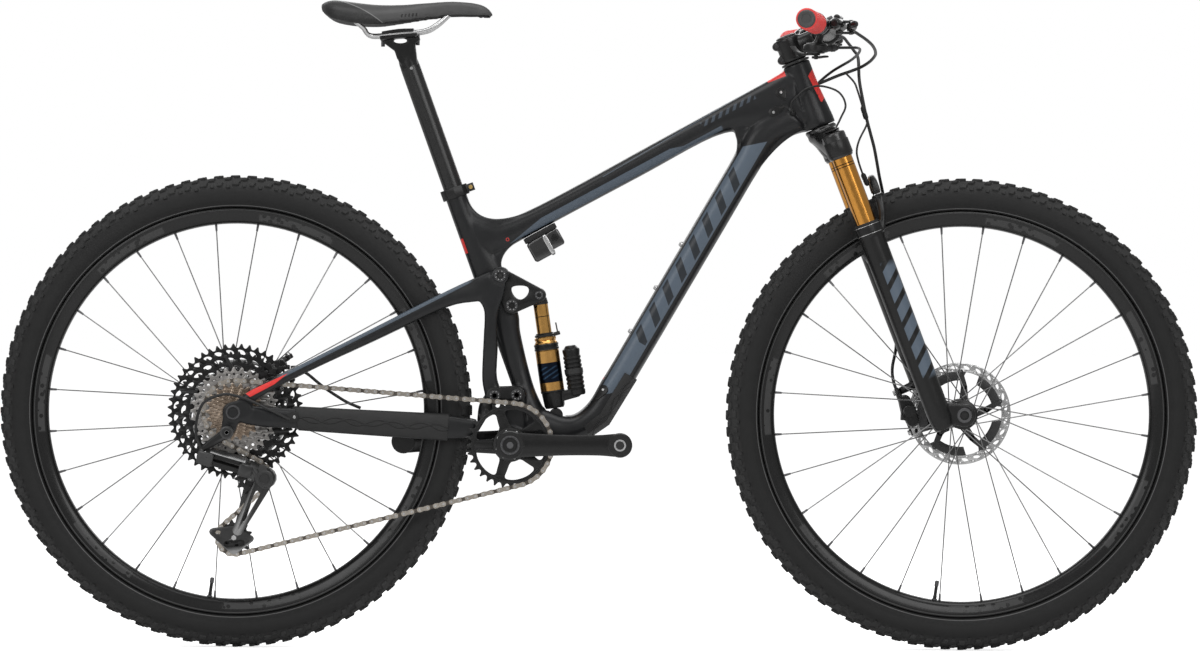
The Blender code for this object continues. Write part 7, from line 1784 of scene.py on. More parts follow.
    def build(self) -> None:
        """Makes and dresses the frame's pieces."""
        body = self.down_tube().join(self.top_tube(), self.seat_tube(), self.webs(), self.shell())
        shell = add_piece("frame_monocoque", body, CHARCOAL, "front_frame",
            make=Make(voxel=self.grain, relax=14, sharp=60.0), cut=self.slot())
        self.details(shell)
        self.guard()
        self.clamp()
        self.battery()


@dataclass
class Swingarm:
    """The rear triangle with its guard, housing port and axle."""

    points: int = 28
    grain: float = 0.0016
    upper: float = 0.0328

    def ring(self, top: Vector, bottom: Vector, middle: float, half: float, side: int,
            power: float = 2.6) -> list[Vector]:
        """One ring of a stay on this side."""
        return oval(top, bottom, half, y=side * middle, power=power, points=self.points)

    def chainstay(self, side: int, grow: float = 0.0) -> list[list[Vector]]:
        """Smooth rings of one chainstay from the dropout to the yoke."""
        r, b = PLACE.rear, PLACE.bracket
        low_top, low_bottom = r.at(0.0962, 0.0065), r.at(0.1, -0.0253)
        high_top, high_bottom = b.at(-0.095, 0.0445), b.at(-0.098, 0.0078)
        stations = [(r.at(0.01, 0.013), r.at(0.01, -0.016), 0.0785, 0.0042),
            (r.at(0.04, 0.01), r.at(0.045, -0.0225), 0.0755, 0.0065), (low_top, low_bottom, 0.066, 0.0075),
            (low_top.lerp(high_top, 0.45), low_bottom.lerp(high_bottom, 0.45), 0.05, 0.009),
            (low_top.lerp(high_top, 0.8), low_bottom.lerp(high_bottom, 0.8), 0.0425, 0.0085),
            (high_top, high_bottom, 0.0395, 0.007), (b.at(-0.054, 0.037), b.at(-0.056, 0.012), 0.0385, 0.0065)]
        return spread([self.ring(*station, side, 3.0) for station in stations], grow)

    def seatstay(self, side: int) -> Shape:
        """One seatstay from the dropout to the upper pivot."""
        r, b = PLACE.rear, PLACE.bracket
        low_top, low_bottom = r.at(0.0959, 0.0705), r.at(0.1071, 0.0595)
        high_top, high_bottom = b.at(-0.1072, 0.2347), b.at(-0.1, 0.2122)
        stations = [(r.at(0.002, 0.015), r.at(0.018, -0.002), 0.079, 0.004),
            (r.at(0.025, 0.033), r.at(0.04, 0.022), 0.077, 0.005), (low_top, low_bottom, 0.066, 0.0065),
            (low_top.lerp(high_top, 0.5), low_bottom.lerp(high_bottom, 0.5), 0.047, 0.007),
            (high_top, high_bottom, 0.038, 0.007), (b.at(-0.0571, 0.2586), b.at(-0.042, 0.224), self.upper, 0.0058),
            (b.at(-0.025, 0.2725), b.at(-0.012, 0.248), self.upper, 0.0052)]
        return loft([self.ring(*station, side) for station in stations], 6)

    def upright(self, side: int) -> Shape:
        """The column between the two pivots."""
        b = PLACE.bracket
        stations = [(b.at(-0.005, 0.26), b.at(-0.03, 0.254), self.upper, 0.005),
            (b.at(-0.012, 0.23), b.at(-0.05, 0.228), self.upper, 0.0055),
            (b.at(-0.021, 0.2), b.at(-0.0417, 0.205), self.upper, 0.0055),
            (b.at(-0.0212, 0.15), b.at(-0.0435, 0.15), self.upper - 0.002, 0.0055),
            (b.at(-0.0225, 0.105), b.at(-0.045, 0.102), 0.024, 0.006),
            (b.at(-0.014, 0.079), b.at(-0.04, 0.074), 0.022, 0.0075)]
        return loft([self.ring(*station, side, 3.0) for station in stations], 5)

    def ends(self) -> Shape:
        """Dropouts, derailleur hanger, pivot lugs and yoke."""
        r, b = PLACE.rear, PLACE.bracket
        inner, thick = 0.0743, 0.0095
        upper_pivot, lower_pivot = b.at(-0.0172, 0.2625), b.at(-0.025, 0.0756)
        shape = Shape()
        for side in (-1, 1):
            edge = belt([(r.origin, 0.0165), (r.at(0.014, 0.004), 0.0155)])
            shape.join(plate([edge], side * inner, side * (inner + thick), 0.0012))
            shape.join(across(upper_pivot, side * 0.027, side * 0.0395, 0.0138, steps=40))
        shape.join(plate([belt([(r.at(-0.0089, -0.031), 0.01), (r.origin, 0.015)])], -0.0823, -0.0745, 0.001))
        yoke = [self.ring(b.at(-0.038, 0.04), b.at(-0.053, 0.015), 0.0, 0.04, 1, 4.0),
            self.ring(b.at(-0.018, 0.068), b.at(-0.05, 0.06), 0.0, 0.029, 1, 4.0),
            self.ring(b.at(-0.016, 0.08), b.at(-0.034, 0.084), 0.0, 0.029, 1, 4.0)]
        shape.join(loft(yoke, 5), across(lower_pivot, -0.03, 0.03, 0.0125, steps=36))
        return shape

    def guard(self) -> None:
        """The moulded sleeve over the right chainstay."""
        r, b = PLACE.rear, PLACE.bracket
        finish = GuardRubber("chainstay_rubber", grey(0.011), 0.58, grain=Grain.MOULDED, depth=0.0009,
            start=r.at(0.098, -0.0095), end=b.at(-0.0965, 0.026))
        rings = smooth_rings(self.chainstay(-1, 0.0027)[2:6], 8)
        add_piece("chainstay_sleeve", skin(rings), finish, "chainstay_guard", make=Make(bevel=0.0006, sharp=50.0))

    def port(self) -> None:
        """The housing port on the right chainstay with its screw."""
        r = PLACE.rear
        edge = belt([(r.at(0.093, -0.0075), 0.0085), (r.at(0.08, -0.0105), 0.0045)], 32)
        cover = plate([edge], -0.0778, -0.073, 0.0008)
        screw = across(r.at(0.0945, -0.007), -0.079, -0.0772, 0.0024, steps=18, edge=0.0004)
        add_trim("housing_port", cover, RUBBER, "swingarm")
        add_trim("housing_screw", screw, BOLT_SILVER, "swingarm")

    def axle(self) -> None:
        """The through axle with its hollow end on the right and its head on the left."""
        origin = PLACE.rear.origin
        reach = 0.0838
        shaft = lathe([(-reach + 0.0016, 0.004), (-reach + 0.001, 0.0066), (-reach + 0.0024, 0.007), (reach, 0.007),
                (reach, 0.009), (reach + 0.004, 0.0095), (reach + 0.005, 0.0085), (reach + 0.005, 0.0034),
                (reach - 0.001, 0.0032), (reach - 0.001, 0.0)], origin, Y, 40)
        add_piece("rear_through_axle", shaft, SATIN_BLACK, "rear_axle")
        ring = lathe([(-reach - 0.0002, 0.0078), (-reach - 0.0016, 0.0084), (-reach - 0.0016, 0.0104),
                (-reach + 0.0004, 0.0116), (-reach + 0.0004, 0.0078)], origin, Y, 40, closed=True)
        add_trim("axle_washer", ring, HUB_BLACK, "swingarm")

    def build(self) -> None:
        """Makes and dresses the swingarm's pieces."""
        body = Shape()
        for side in (-1, 1):
            body.join(loft(self.chainstay(side), 6), self.seatstay(side), self.upright(side))
        body.join(self.ends())
        add_piece("swingarm_monocoque", body, STAY_CHARCOAL_AND_HIGHLIGHT, "swingarm",
            make=Make(voxel=self.grain, relax=12, sharp=60.0))
        self.guard()
        self.port()
        self.axle()


@dataclass
class Suspension:
    """The two links, the shock and their pivot caps."""

    def cap(self, centre: Vector, out: float, radius: float, side: int) -> Shape:
        """A pivot cap with a ring of notches and a hollow middle."""
        face = lathe([(0.0, 0.0), (0.0, radius * 0.34), (0.0012, radius * 0.42), (0.0012, radius * 0.6),
                (0.0004, radius * 0.66), (0.0004, radius * 0.76), (0.0013, radius * 0.82), (0.0011, radius * 0.96),
                (0.0, radius), (-0.0012, radius), (-0.0012, 0.0)], centre + Y * (out * side), Y * side, 40)
        for k in range(8):
            angle = math.tau * k / 8
            spot = centre + Vector((math.cos(angle), 0.0, math.sin(angle))) * radius * 0.71
            face.join(across(spot, side * out, side * (out + 0.0014), radius * 0.1, steps=8))
        return face

    def links(self) -> None:
        """The upper and lower links with their caps."""
        b = PLACE.bracket
        frame, swing, shock = b.at(0.001, 0.2157), b.at(-0.0172, 0.2625), b.at(0.0432, 0.232)
        outline = belt([(frame, 0.0128), (swing, 0.0118), (shock, 0.0104)], 64)
        window = eased(flat([b.at(x, z) for x, z in ((0.0, 0.246), (0.023, 0.247), (0.0285, 0.24), (0.024, 0.23),
                (0.015, 0.224), (0.0065, 0.227), (-0.0005, 0.237))]), 6)
        link = Shape()
        for low, high in ((-0.026, -0.0175), (0.0175, 0.026)):
            link.join(plate([outline, window], low, high, 0.0012))
        web = frame.lerp(shock, 0.66)
        link.join(block(web - Z * 0.0045, (0.0045, 0.039, 0.01), (shock - frame)))
        for place, reach in ((frame, 0.0195), (shock, 0.0195)):
            link.join(across(place, -reach, reach, 0.0043, steps=24))
        for side in (-1, 1):
            link.join(across(swing, side * 0.022, side * 0.0398, 0.0043, steps=24))
        add_piece("upper_link_plates", link, SATIN_BLACK, "upper_link", make=Make(sharp=32.0))
        dress_node("lower_link", SATIN_BLACK, Make(bevel=0.0009, sharp=30.0))
        caps = {"upper_link": ((frame, 0.0267, 0.0096), (shock, 0.0266, 0.0066)),
            "lower_link": ((b.at(0.0093, 0.0768), 0.0405, 0.009), (b.at(-0.025, 0.0756), 0.0405, 0.009)),
            "swingarm": ((swing, 0.0396, 0.01),)}
        for node, places in caps.items():
            shape = Shape().join(*(self.cap(*place, side) for side in (-1, 1) for place in places))
            add_trim(f"{node}_caps", shape, HUB_BLACK, node, make=Make(sharp=28.0))
            bright = Shape()
            for centre, out, radius in places:
                for side in (-1, 1):
                    for k in range(8):
                        angle = math.tau * (k + 0.5) / 8
                        spot = centre + Vector((math.cos(angle), 0.0, math.sin(angle))) * radius * 0.71
                        bright.join(across(spot, side * (out + 0.0002), side * (out + 0.0013), radius * 0.115,
                                steps=12, edge=0.0002))
            add_trim(f"{node}_cap_notches", bright, BOLT_SILVER, node)

    def shock(self) -> None:
        """The shock: can with its rings, base, reservoir and bronze shaft."""
        base, top = PLACE.bracket.at(0.0702, 0.0452), PLACE.bracket.at(0.0432, 0.232)
        run = (top - base).normalized()
        ahead = Vector((run.z, 0.0, -run.x))
        place = Datum(base, run, ahead)
        length = (top - base).length
        axis = Panel(base, top)
        bronze = Bronze("shock_bronze", (0.6, 0.33, 0.1), 0.22, 1.0, gloss=0.5, axis=axis, label=(0.0515, 0.0825),
            grain=Grain.FINE, depth=0.000004, uneven=0.05)
        can = lathe([(0.038, 0.0), (0.038, 0.018), (0.0388, 0.0185), (0.101, 0.0185), (0.1018, 0.0178),
                (0.112, 0.0178), (0.114, 0.0176), (0.116, 0.016), (0.1175, 0.0158), (0.1185, 0.0168),
                (0.1215, 0.0168), (0.1225, 0.0156), (0.1225, 0.0)], base, run, 64)
        collar = lathe([(0.1022, 0.015), (0.1022, 0.0188), (0.103, 0.0192), (0.105, 0.0192), (0.1055, 0.0187),
                (0.109, 0.0187), (0.1095, 0.0192), (0.1115, 0.0192), (0.1122, 0.0188), (0.1122, 0.015)], base, run,
            64, closed=True)
        collar.join(lathe([(0.1228, 0.0112), (0.1228, 0.015), (0.124, 0.0158), (0.1262, 0.0158), (0.127, 0.015),
                (0.128, 0.0136), (0.129, 0.0136), (0.129, 0.0112)], base, run, 48, closed=True))
        foot = lathe([(0.011, 0.0), (0.011, 0.014), (0.015, 0.0158), (0.035, 0.0176), (0.0365, 0.0187),
                (0.0384, 0.0187), (0.0384, 0.0)], base, run, 56)
        eye = across(base, -0.012, 0.012, 0.0108, steps=40, edge=0.001)
        lever = rod(place.at(0.125, 0.014), place.at(0.1265, 0.024), 0.003, steps=16, edge=0.0005)
        lever.join(rod(place.at(0.1262, 0.0205), place.at(0.143, 0.0195), 0.0011, steps=12, edge=0.0003))
        far = 0.037
        reservoir = Shape()
        profile = [(0.026, 0.0), (0.026, 0.012), (0.0275, 0.0134)]
        for k in range(9):
            at = 0.031 + 0.0066 * k
            profile += [(at, 0.0138), (at + 0.0036, 0.0138), (at + 0.0042, 0.0128), (at + 0.0058, 0.0128)]
        profile += [(0.096, 0.0137), (0.0985, 0.0132), (0.1, 0.011), (0.104, 0.0078), (0.1046, 0.005), (0.1046, 0.0)]
        reservoir.join(lathe(profile, place.at(0.0, far), run, 48))
        bridge = plate([belt([(place.at(0.0265, 0.0), 0.0085), (place.at(0.0305, far), 0.0075)])], -0.0105, 0.0105,
            0.0025)
        band = lathe([(0.06, 0.0139), (0.06, 0.0146), (0.068, 0.0146), (0.068, 0.0139)], place.at(0.0, far), run, 48,
            closed=True)
        add_piece("shock_air_can", can, bronze, "shock_can", make=CRISP)
        add_piece("shock_base", foot.join(eye, bridge, collar, lever), SATIN_BLACK, "shock_can", make=CRISP)
        add_piece("shock_reservoir", reservoir.join(band), SATIN_BLACK, "shock_can", make=CRISP)
        shine = Bronze("shaft_bronze", (0.62, 0.34, 0.1), 0.16, 1.0, gloss=0.5, axis=axis, rings=(0.155,),
            grain=Grain.FINE, depth=0.000003, uneven=0.05)
        shaft = rod(place.at(0.07, 0.0), place.at(length - 0.01, 0.0), 0.0113, steps=56)
        head = lathe([(length - 0.015, 0.0), (length - 0.015, 0.0118), (length - 0.0135, 0.0122),
                (length - 0.005, 0.0108), (length - 0.005, 0.0)], base, run, 48)
        head.join(across(top, -0.0163, 0.0163, 0.0107, steps=40, edge=0.001))
        add_piece("shock_slider", shaft, shine, "shock_shaft")
        add_piece("shock_head", head, SATIN_BLACK, "shock_shaft", make=CRISP)

    def build(self) -> None:
        """Makes and dresses the suspension's pieces."""
        self.links()
        self.shock()


@dataclass
class Fork:
    """Crown, stanchions, lower legs with their arch, and front axle."""

    ahead: float = PLACE.fork_ahead
    out: float = 0.067
    seal: float = 0.1686
    foot: float = 0.5075
    grain: float = 0.0015

    def leg(self, side: int, profile: list[tuple[float, float]], steps: int = 56) -> Shape:
        """A turned form on the axis of one leg."""
        return lathe(profile, PLACE.steer.at(0.0, self.ahead, side * self.out), PLACE.steer.first, steps)

    def crown(self) -> None:
        """The crown with its sockets, steerer and crown race."""
        s = PLACE.steer
        stations = ((-1.0, 0.0205, 0.056, 0.0185), (-0.8, 0.017, 0.052, 0.02), (-0.45, 0.0075, 0.034, 0.0225),
            (0.0, 0.005, 0.022, 0.024))
        rings = []
        for share, top, bottom, depth in stations + stations[2::-1]:
            side = share if len(rings) < 4 else -share
            middle = s.at((top + bottom) / 2, self.ahead * abs(side), side * self.out)
            ring = []
            for k in range(28):
                wide, tall = squared(math.tau * k / 28, 2 / 3)
                ring.append(middle + s.second * (wide * depth) + s.first * (tall * (bottom - top) / 2))
            rings.append(ring)
        body = loft(rings, 6)
        for side in (-1, 1):
            body.join(self.leg(side, [(0.0165, 0.0), (0.0165, 0.015), (0.0185, 0.0188), (0.056, 0.0192),
                    (0.058, 0.018), (0.058, 0.0)]))
        body.join(lathe([(0.0008, 0.0), (0.0008, 0.0245), (0.004, 0.0255), (0.012, 0.0225), (0.012, 0.0)], s.origin,
                s.first, 48))
        add_piece("crown_forging", body, CROWN_BLACK, "fork_crown", make=Make(voxel=self.grain, relax=8, sharp=60.0))
        steerer = lathe([(-0.1474, 0.0), (-0.1474, 0.0143), (0.005, 0.0143), (0.005, 0.0)], s.origin, s.first, 40)
        add_piece("steerer_tube", steerer, SATIN_BLACK, "fork_crown")
        bands = Shape()
        for side in (-1, 1):
            bands.join(self.leg(side, [(0.03, 0.0191), (0.03, 0.0198), (0.0306, 0.0201), (0.0534, 0.0201),
                    (0.054, 0.0198), (0.054, 0.0186)]))
        cap = self.leg(-1, [(0.016, 0.0), (0.015, 0.01), (0.013, 0.013), (0.012, 0.013), (0.0112, 0.0095),
                (0.0112, 0.0)])
        add_piece("crown_bands", bands.join(cap), SATIN_BLACK, "fork_crown", make=CRISP)

    def stanchions(self) -> None:
        """The two bronze upper tubes with their thin sag marks."""
        axis = Panel(PLACE.steer.at(0.0, self.ahead), PLACE.steer.at(1.0, self.ahead))
        bronze = Bronze("stanchion_bronze", (0.56, 0.26, 0.055), 0.17, 1.0, gloss=0.5, axis=axis,
            rings=(0.068, 0.072), grain=Grain.FINE, depth=0.000003, uneven=0.05)
        for label, side in (("left", 1), ("right", -1)):
            tube = self.leg(side, [(0.0225, 0.0), (0.0225, 0.016), (0.362, 0.016), (0.362, 0.0135), (0.342, 0.0135),
                    (0.342, 0.0)], 72)
            add_piece(f"stanchion_{label}_tube", tube, bronze, f"stanchion_{label}", make=CRISP)

    def arch(self) -> Shape:
        """The brace over the tyre."""
        s = PLACE.steer
        half = ((-1.0, 0.183, 0.03, 0.013, 0.0065), (-0.92, 0.156, 0.04, 0.0115, 0.0062),
            (-0.7, 0.13, 0.045, 0.0095, 0.0062), (-0.35, 0.112, 0.0465, 0.0085, 0.0062),
            (0.0, 0.106, 0.047, 0.0082, 0.0062))
        rings = []
        for share, along, ahead, tall, deep in half + half[3::-1]:
            side = share if len(rings) < 5 else -share
            middle = s.at(along, ahead, side * self.out * 0.97)
            lean = max(0.0, abs(side) - 0.3) / 0.7
            rise = (s.first * (1.0 - lean * 0.8) - Y * math.copysign(lean * 0.9, -side)).normalized()
            rise = rise if side else s.first
            ring = []
            for k in range(20):
                up, out = squared(math.tau * k / 20, 0.8)
                ring.append(middle + rise * tall * up + s.second * deep * out)
            rings.append(ring)
        return loft(rings, 6)

    def lowers(self) -> None:
        """The lower legs, melted into their arch, mounts and dropouts."""
        s, front = PLACE.steer, PLACE.front.origin
        body = self.arch()
        caliper = PLACE.front_caliper
        for side in (-1, 1):
            body.join(self.leg(side, [(self.seal, 0.0), (self.seal, 0.02), (self.seal + 0.0012, 0.0212),
                    (self.seal + 0.015, 0.0215), (self.seal + 0.018, 0.02), (0.3, 0.0196), (0.465, 0.0188),
                    (0.49, 0.0182), (self.foot - 0.003, 0.015), (self.foot, 0.0105), (self.foot, 0.0)]))
            edge = belt([(front, 0.0175), (s.at(0.48, self.ahead + 0.002), 0.015)])
            body.join(plate([edge], side * 0.0553, side * 0.073, 0.0015))
            body.join(rod(s.at(0.172, 0.029, side * self.out), s.at(0.198, 0.024, side * self.out), 0.0085, 0.006, 24,
                    0.002))
            body.join(rod(s.at(0.185, 0.018, side * self.out), s.at(0.186, 0.03, side * self.out), 0.012, 0.009, 24,
                    0.002))
        for along in (-0.033, 0.033):
            leg, seat = caliper.at(along * 1.05, -0.0255), caliper.at(along, 0.0006)
            leg.y, seat.y = self.out - 0.004, 0.0535
            body.join(rod(leg, seat, 0.007, 0.0062, 24, 0.0004))
        add_piece("fork_lower_casting", body, FORK_BLACK, "fork_lowers",
            make=Make(voxel=self.grain, relax=8, sharp=60.0))
        seals = Shape()
        for side in (-1, 1):
            seals.join(self.leg(side, [(self.seal - 0.003, 0.0163), (self.seal - 0.0036, 0.0185),
                    (self.seal - 0.001, 0.02), (self.seal + 0.0004, 0.02), (self.seal + 0.0004, 0.0163)], 56))
            seals.join(self.leg(side, [(self.foot - 0.0005, 0.0), (self.foot - 0.0005, 0.008),
                    (self.foot + 0.0035, 0.0074), (self.foot + 0.004, 0.006), (self.foot + 0.004, 0.0)], 24))
        add_piece("fork_seals", seals, RUBBER, "fork_lowers", make=CRISP)
        lines = Shape()
        for side in (-1, 1):
            for at in (self.seal + 0.0006, self.seal + 0.0138):
                lines.join(self.leg(side, [(at, 0.02), (at, 0.0219), (at + 0.0009, 0.0219), (at + 0.0009, 0.02)], 56))
        add_trim("fork_seal_lines", lines, BOLT_SILVER, "fork_lowers", make=CRISP)

    def axle(self) -> None:
        """The front through axle."""
        reach = 0.073
        shaft = lathe([(-reach - 0.0004, 0.0), (-reach - 0.0004, 0.0055), (-reach + 0.001, 0.0068), (reach, 0.007),
                (reach + 0.0003, 0.0092), (reach + 0.0036, 0.0098), (reach + 0.0045, 0.0088),
                (reach + 0.0045, 0.0034), (reach, 0.0032), (reach, 0.0)], PLACE.front.origin, Y, 40)
        ring = lathe([(-reach - 0.0012, 0.0072), (-reach - 0.0012, 0.0108), (-reach + 0.0004, 0.012),
                (-reach + 0.0004, 0.0072)], PLACE.front.origin, Y, 40, closed=True)
        add_piece("front_through_axle", shaft, SATIN_BLACK, "front_axle", make=CRISP)
        add_trim("front_axle_ring", ring, HUB_BLACK, "fork_lowers")

    def build(self) -> None:
        """Makes and dresses the fork's pieces."""
        self.crown()
        self.stanchions()
        self.lowers()
        self.axle()


# --- Cockpit --------------------------------------------------------------------------------
@dataclass(frozen=True)
class GripFinish(Finish):
    """Red rubber, a little darker in worn patches."""

    def base(self, shader: Shader) -> Field:
        """The red, a little darker and dustier in patches."""
        worn = shader.noise(45.0, 3.0).above(0.55, 0.12)
        return shader.mix(worn * 0.5, self.colour, scaled(self.colour, 0.62))


GRIP_RED = GripFinish("grip_red", (0.66, 0.05, 0.046), 0.55, gloss=0.35, grain=Grain.MOULDED, depth=0.00008)
# cockpit_black's lightened edges are a painted highlight, partly wear.
COCKPIT_BLACK = Finish("cockpit_black", grey(0.008), 0.22, 0.3, gloss=0.5, edge_wear_and_highlight=0.4, edge_wear_and_highlight_colour=grey(0.1))
SHIFTER_BLACK = Finish("shifter_plastic", grey(0.009), 0.38, gloss=0.3, grain=Grain.MOULDED, depth=0.00004)
CAP_GREY = Finish("grip_end_grey", grey(0.045), 0.42, gloss=0.4, grain=Grain.MOULDED, depth=0.00004)


@dataclass
class Cockpit:
    """Stem, handlebar, grips, brake levers and shifter."""

    rise: float = 0.1289
    stem_length: float = 0.061
    stem_angle: float = 26.0
    bar_half: float = 0.38
    bend: float = 0.1
    sweep: float = 9.0
    grip_length: float = 0.13
    grip_radius: float = 0.0162
    clamp_out: float = 0.225
    shifter_out: float = 0.19
    clamp: Vector = field(init=False)

    def __post_init__(self) -> None:
        """Finds the middle of the handlebar clamp."""
        self.clamp = PLACE.steer.at(-self.rise, 0.0) + slope(self.stem_angle) * self.stem_length

    def bar(self, out: float, side: int, ahead: float = 0.0, above: float = 0.0) -> Vector:
        """A place on the handlebar's axis this far out, moved ahead and above it."""
        beyond = max(out - self.bend, 0.0)
        back = math.tan(math.radians(self.sweep)) * beyond
        point = self.clamp + Vector((ahead - back, 0.0, 0.012 * beyond + above))
        point.y = side * out
        return point

    def run(self, side: int) -> Vector:
        """The outward direction of the handlebar at the grips."""
        return (self.bar(0.35, side) - self.bar(0.2, side)).normalized()

    def brake(self, side: int, out: float, ahead: float, above: float) -> Vector:
        """A place of the brake lever group, measured from the handlebar."""
        return self.bar(self.clamp_out + out, side, ahead, above)

    def shift(self, ahead: float, above: float, out: float = 0.0) -> Vector:
        """A place of the shifter, measured from its own middle."""
        return self.bar(self.shifter_out + out, -1, ahead - 0.0085, above - 0.034)

    def stem(self) -> None:
        """The top cap, clamp body, arm and bolted bar clamp."""
        s, low = PLACE.steer, -0.1057
        run, up = slope(self.stem_angle), slope(self.stem_angle + 90.0)
        centre = s.at(-self.rise, 0.0)
        body = lathe([(-self.rise + 0.019, 0.0), (-self.rise + 0.019, 0.019), (-self.rise + 0.016, 0.0198),
                (-self.rise - 0.0165, 0.0198), (-self.rise - 0.019, 0.0188), (-self.rise - 0.019, 0.0)], s.origin,
            s.first, 48)
        rings = []
        for share, tall, wide in ((0.0, 0.0165, 0.0165), (0.3, 0.0152, 0.014), (0.62, 0.0142, 0.0135),
                (0.9, 0.0155, 0.019)):
            middle = centre + run * self.stem_length * share
            rings.append(oval(middle + up * tall, middle - up * tall, wide, power=3.0))
        body.join(loft(rings, 5), across(self.clamp, -0.0225, 0.0225, 0.0212, steps=48, edge=0.0015))
        for offset in (-0.0115, 0.0115):
            place = s.at(-self.rise + offset, -0.019)
            body.join(across(place, -0.01, 0.01, 0.0068, steps=24, edge=0.001))
        add_piece("stem_forging", body, COCKPIT_BLACK, "stem", make=Make(voxel=0.0013, relax=5, sharp=60.0))
        trim = lathe([(low, 0.0), (low, 0.0225), (low - 0.003, 0.0225), (low - 0.0038, 0.0192),
                (-self.rise + 0.0215, 0.0188), (-self.rise + 0.0205, 0.0178), (-self.rise + 0.0193, 0.0178),
                (-self.rise + 0.0193, 0.0)], s.origin, s.first, 48)
        top = -self.rise - 0.0194
        trim.join(lathe([(top, 0.0), (top, 0.0165), (top - 0.0022, 0.016), (top - 0.0038, 0.012),
                (top - 0.004, 0.006), (top - 0.0018, 0.005), (top - 0.0018, 0.0)], s.origin, s.first, 48))
        add_trim("stem_spacer_and_cap", trim, SATIN_BLACK, "stem", make=CRISP)
        bolts, gap = Shape(), Shape()
        for side in (-1, 1):
            for angle in (50.0, -50.0):
                out = slope(self.stem_angle + angle) * 0.02
                place = self.clamp + out + Y * side * 0.016
                bolts.join(rod(place - run * 0.0135, place + run * 0.0058, 0.0044, steps=24, edge=0.0008))
            for offset in (-0.0115, 0.0115):
                place = s.at(-self.rise + offset, -0.019)
                bolts.join(across(place, side * 0.0098, side * 0.0116, 0.0036, steps=24, edge=0.0004))
        for side in (-1, 1):
            gap.join(block(self.clamp + run * 0.0035 + Y * side * 0.0219, (0.0011, 0.0012, 0.039), run))
        add_trim("stem_bolts", bolts, HUB_BLACK, "stem", make=CRISP)
        add_trim("stem_clamp_split", gap, RUBBER, "stem")

    def handlebar(self) -> None:
        """The bar, thick in the clamp and swept back to the grips."""
        rings = []
        outs = [0.0, 0.02, 0.035, 0.045, 0.056, 0.068, 0.08, 0.09, 0.098, 0.106, 0.116, 0.13, 0.16, 0.24, 0.3]
        outs.append(self.bar_half)
        for side, row in ((-1, outs[::-1]), (1, outs[1:])):
            for out in row:
                share = min(max((out - 0.035) / 0.095, 0.0), 1.0)
                share = share * share * (3 - 2 * share)
                radius = 0.0159 + (0.0111 - 0.0159) * share
                tangent = Y if out < self.bend else self.run(side) * side
                rings.append(ring_about(self.bar(out, side), tangent, radius, 40))
        add_piece("handlebar_tube", skin(rings), COCKPIT_BLACK, "handlebar")

    def grip(self, label: str, side: int) -> None:
        """A ribbed sleeve with its clamp ring, bolt and end cap."""
        run = self.run(side)
        start = self.bar_half + 0.004 - self.grip_length * abs(run.y)
        origin = self.bar(start, side)
        radius, end = self.grip_radius, self.grip_length
        profile = [(0.01, 0.012), (0.01, radius - 0.0004), (0.0112, radius)]
        at = 0.015
        while at < end - 0.015:
            profile += [(at, radius), (at + 0.0005, radius - 0.001), (at + 0.0013, radius - 0.001),
                (at + 0.0018, radius)]
            at += 0.0036
        profile += [(end - 0.0085, radius + 0.0002), (end - 0.0045, radius), (end - 0.0032, radius - 0.0012),
            (end - 0.003, 0.012)]
        add_piece(f"grip_{label}_sleeve", lathe(profile, origin, run, 48, closed=True), GRIP_RED, f"grip_{label}",
            make=Make(sharp=50.0))
        ring = lathe([(0.0, 0.0118), (0.0, radius - 0.0004), (0.001, radius + 0.0006), (0.0085, radius + 0.0006),
                (0.0095, radius - 0.0002), (0.0095, 0.0118)], origin, run, 48, closed=True)
        cap = lathe([(end - 0.004, 0.0), (end - 0.004, radius - 0.0026), (end - 0.0014, radius - 0.0028),
                (end - 0.0002, radius - 0.0048), (end - 0.0008, 0.0075), (end - 0.0016, 0.0068), (end - 0.0016, 0.0)],
            origin, run, 48)
        add_trim(f"grip_{label}_ring", ring, COCKPIT_BLACK, f"grip_{label}", make=CRISP)
        add_trim(f"grip_{label}_end", cap, CAP_GREY, f"grip_{label}", make=CRISP)

    def brake_lever(self, label: str, side: int) -> None:
        """A master cylinder with its clamp, reservoir lid, adjuster and hooked blade."""
        node, run = f"brake_body_{label}", self.run(side)
        inner, outer = self.brake(side, -0.047, 0.03, 0.001), self.brake(side, 0.033, 0.027, 0.001)
        way = (outer - inner).normalized()
        centre = self.brake(side, 0.0, 0.0, 0.0)
        body = lathe([(-0.006, 0.0115), (-0.006, 0.0144), (-0.0048, 0.0153), (0.0048, 0.0153), (0.006, 0.0144),
                (0.006, 0.0115)], centre, run, 40, closed=True)
        rings = [ring_about(inner + way * at, way, radius, 28)
            for at, radius in ((0.0, 0.0068), (0.006, 0.0086), (0.018, 0.0098), (0.04, 0.0102), (0.06, 0.0098),
                (0.072, 0.0088), (0.08, 0.0062))]
        body.join(loft(rings, 4))
        near, far = self.brake(side, 0.0, 0.012, 0.0), self.brake(side, 0.0, 0.0275, 0.0005)
        bridge = ((near, 0.0078), (near.lerp(far, 0.5), 0.0066), (far, 0.0086))
        ahead_way = (far - near).normalized()
        body.join(loft([ring_about(place, ahead_way, radius, 24) for place, radius in bridge], 4))
        pivot = self.brake(side, -0.01, 0.0475, -0.003)
        for offset in (-0.0085, 0.0085):
            ear = belt([(pivot, 0.006), (pivot - X * 0.015, 0.0085)], 40)
            shape = plate([ear], -0.0019, 0.0019, 0.0005)
            turn = Matrix.Translation(pivot + Z * offset) @ Matrix.Rotation(math.pi / 2, 4, "X")
            back = Matrix.Translation(Vector((-pivot.x, 0.0, -pivot.z)))
            body.join(shape.placed(turn @ back))
        add_piece(f"brake_{label}_cylinder", body, COCKPIT_BLACK, node, make=Make(voxel=0.001, relax=3, sharp=50.0))
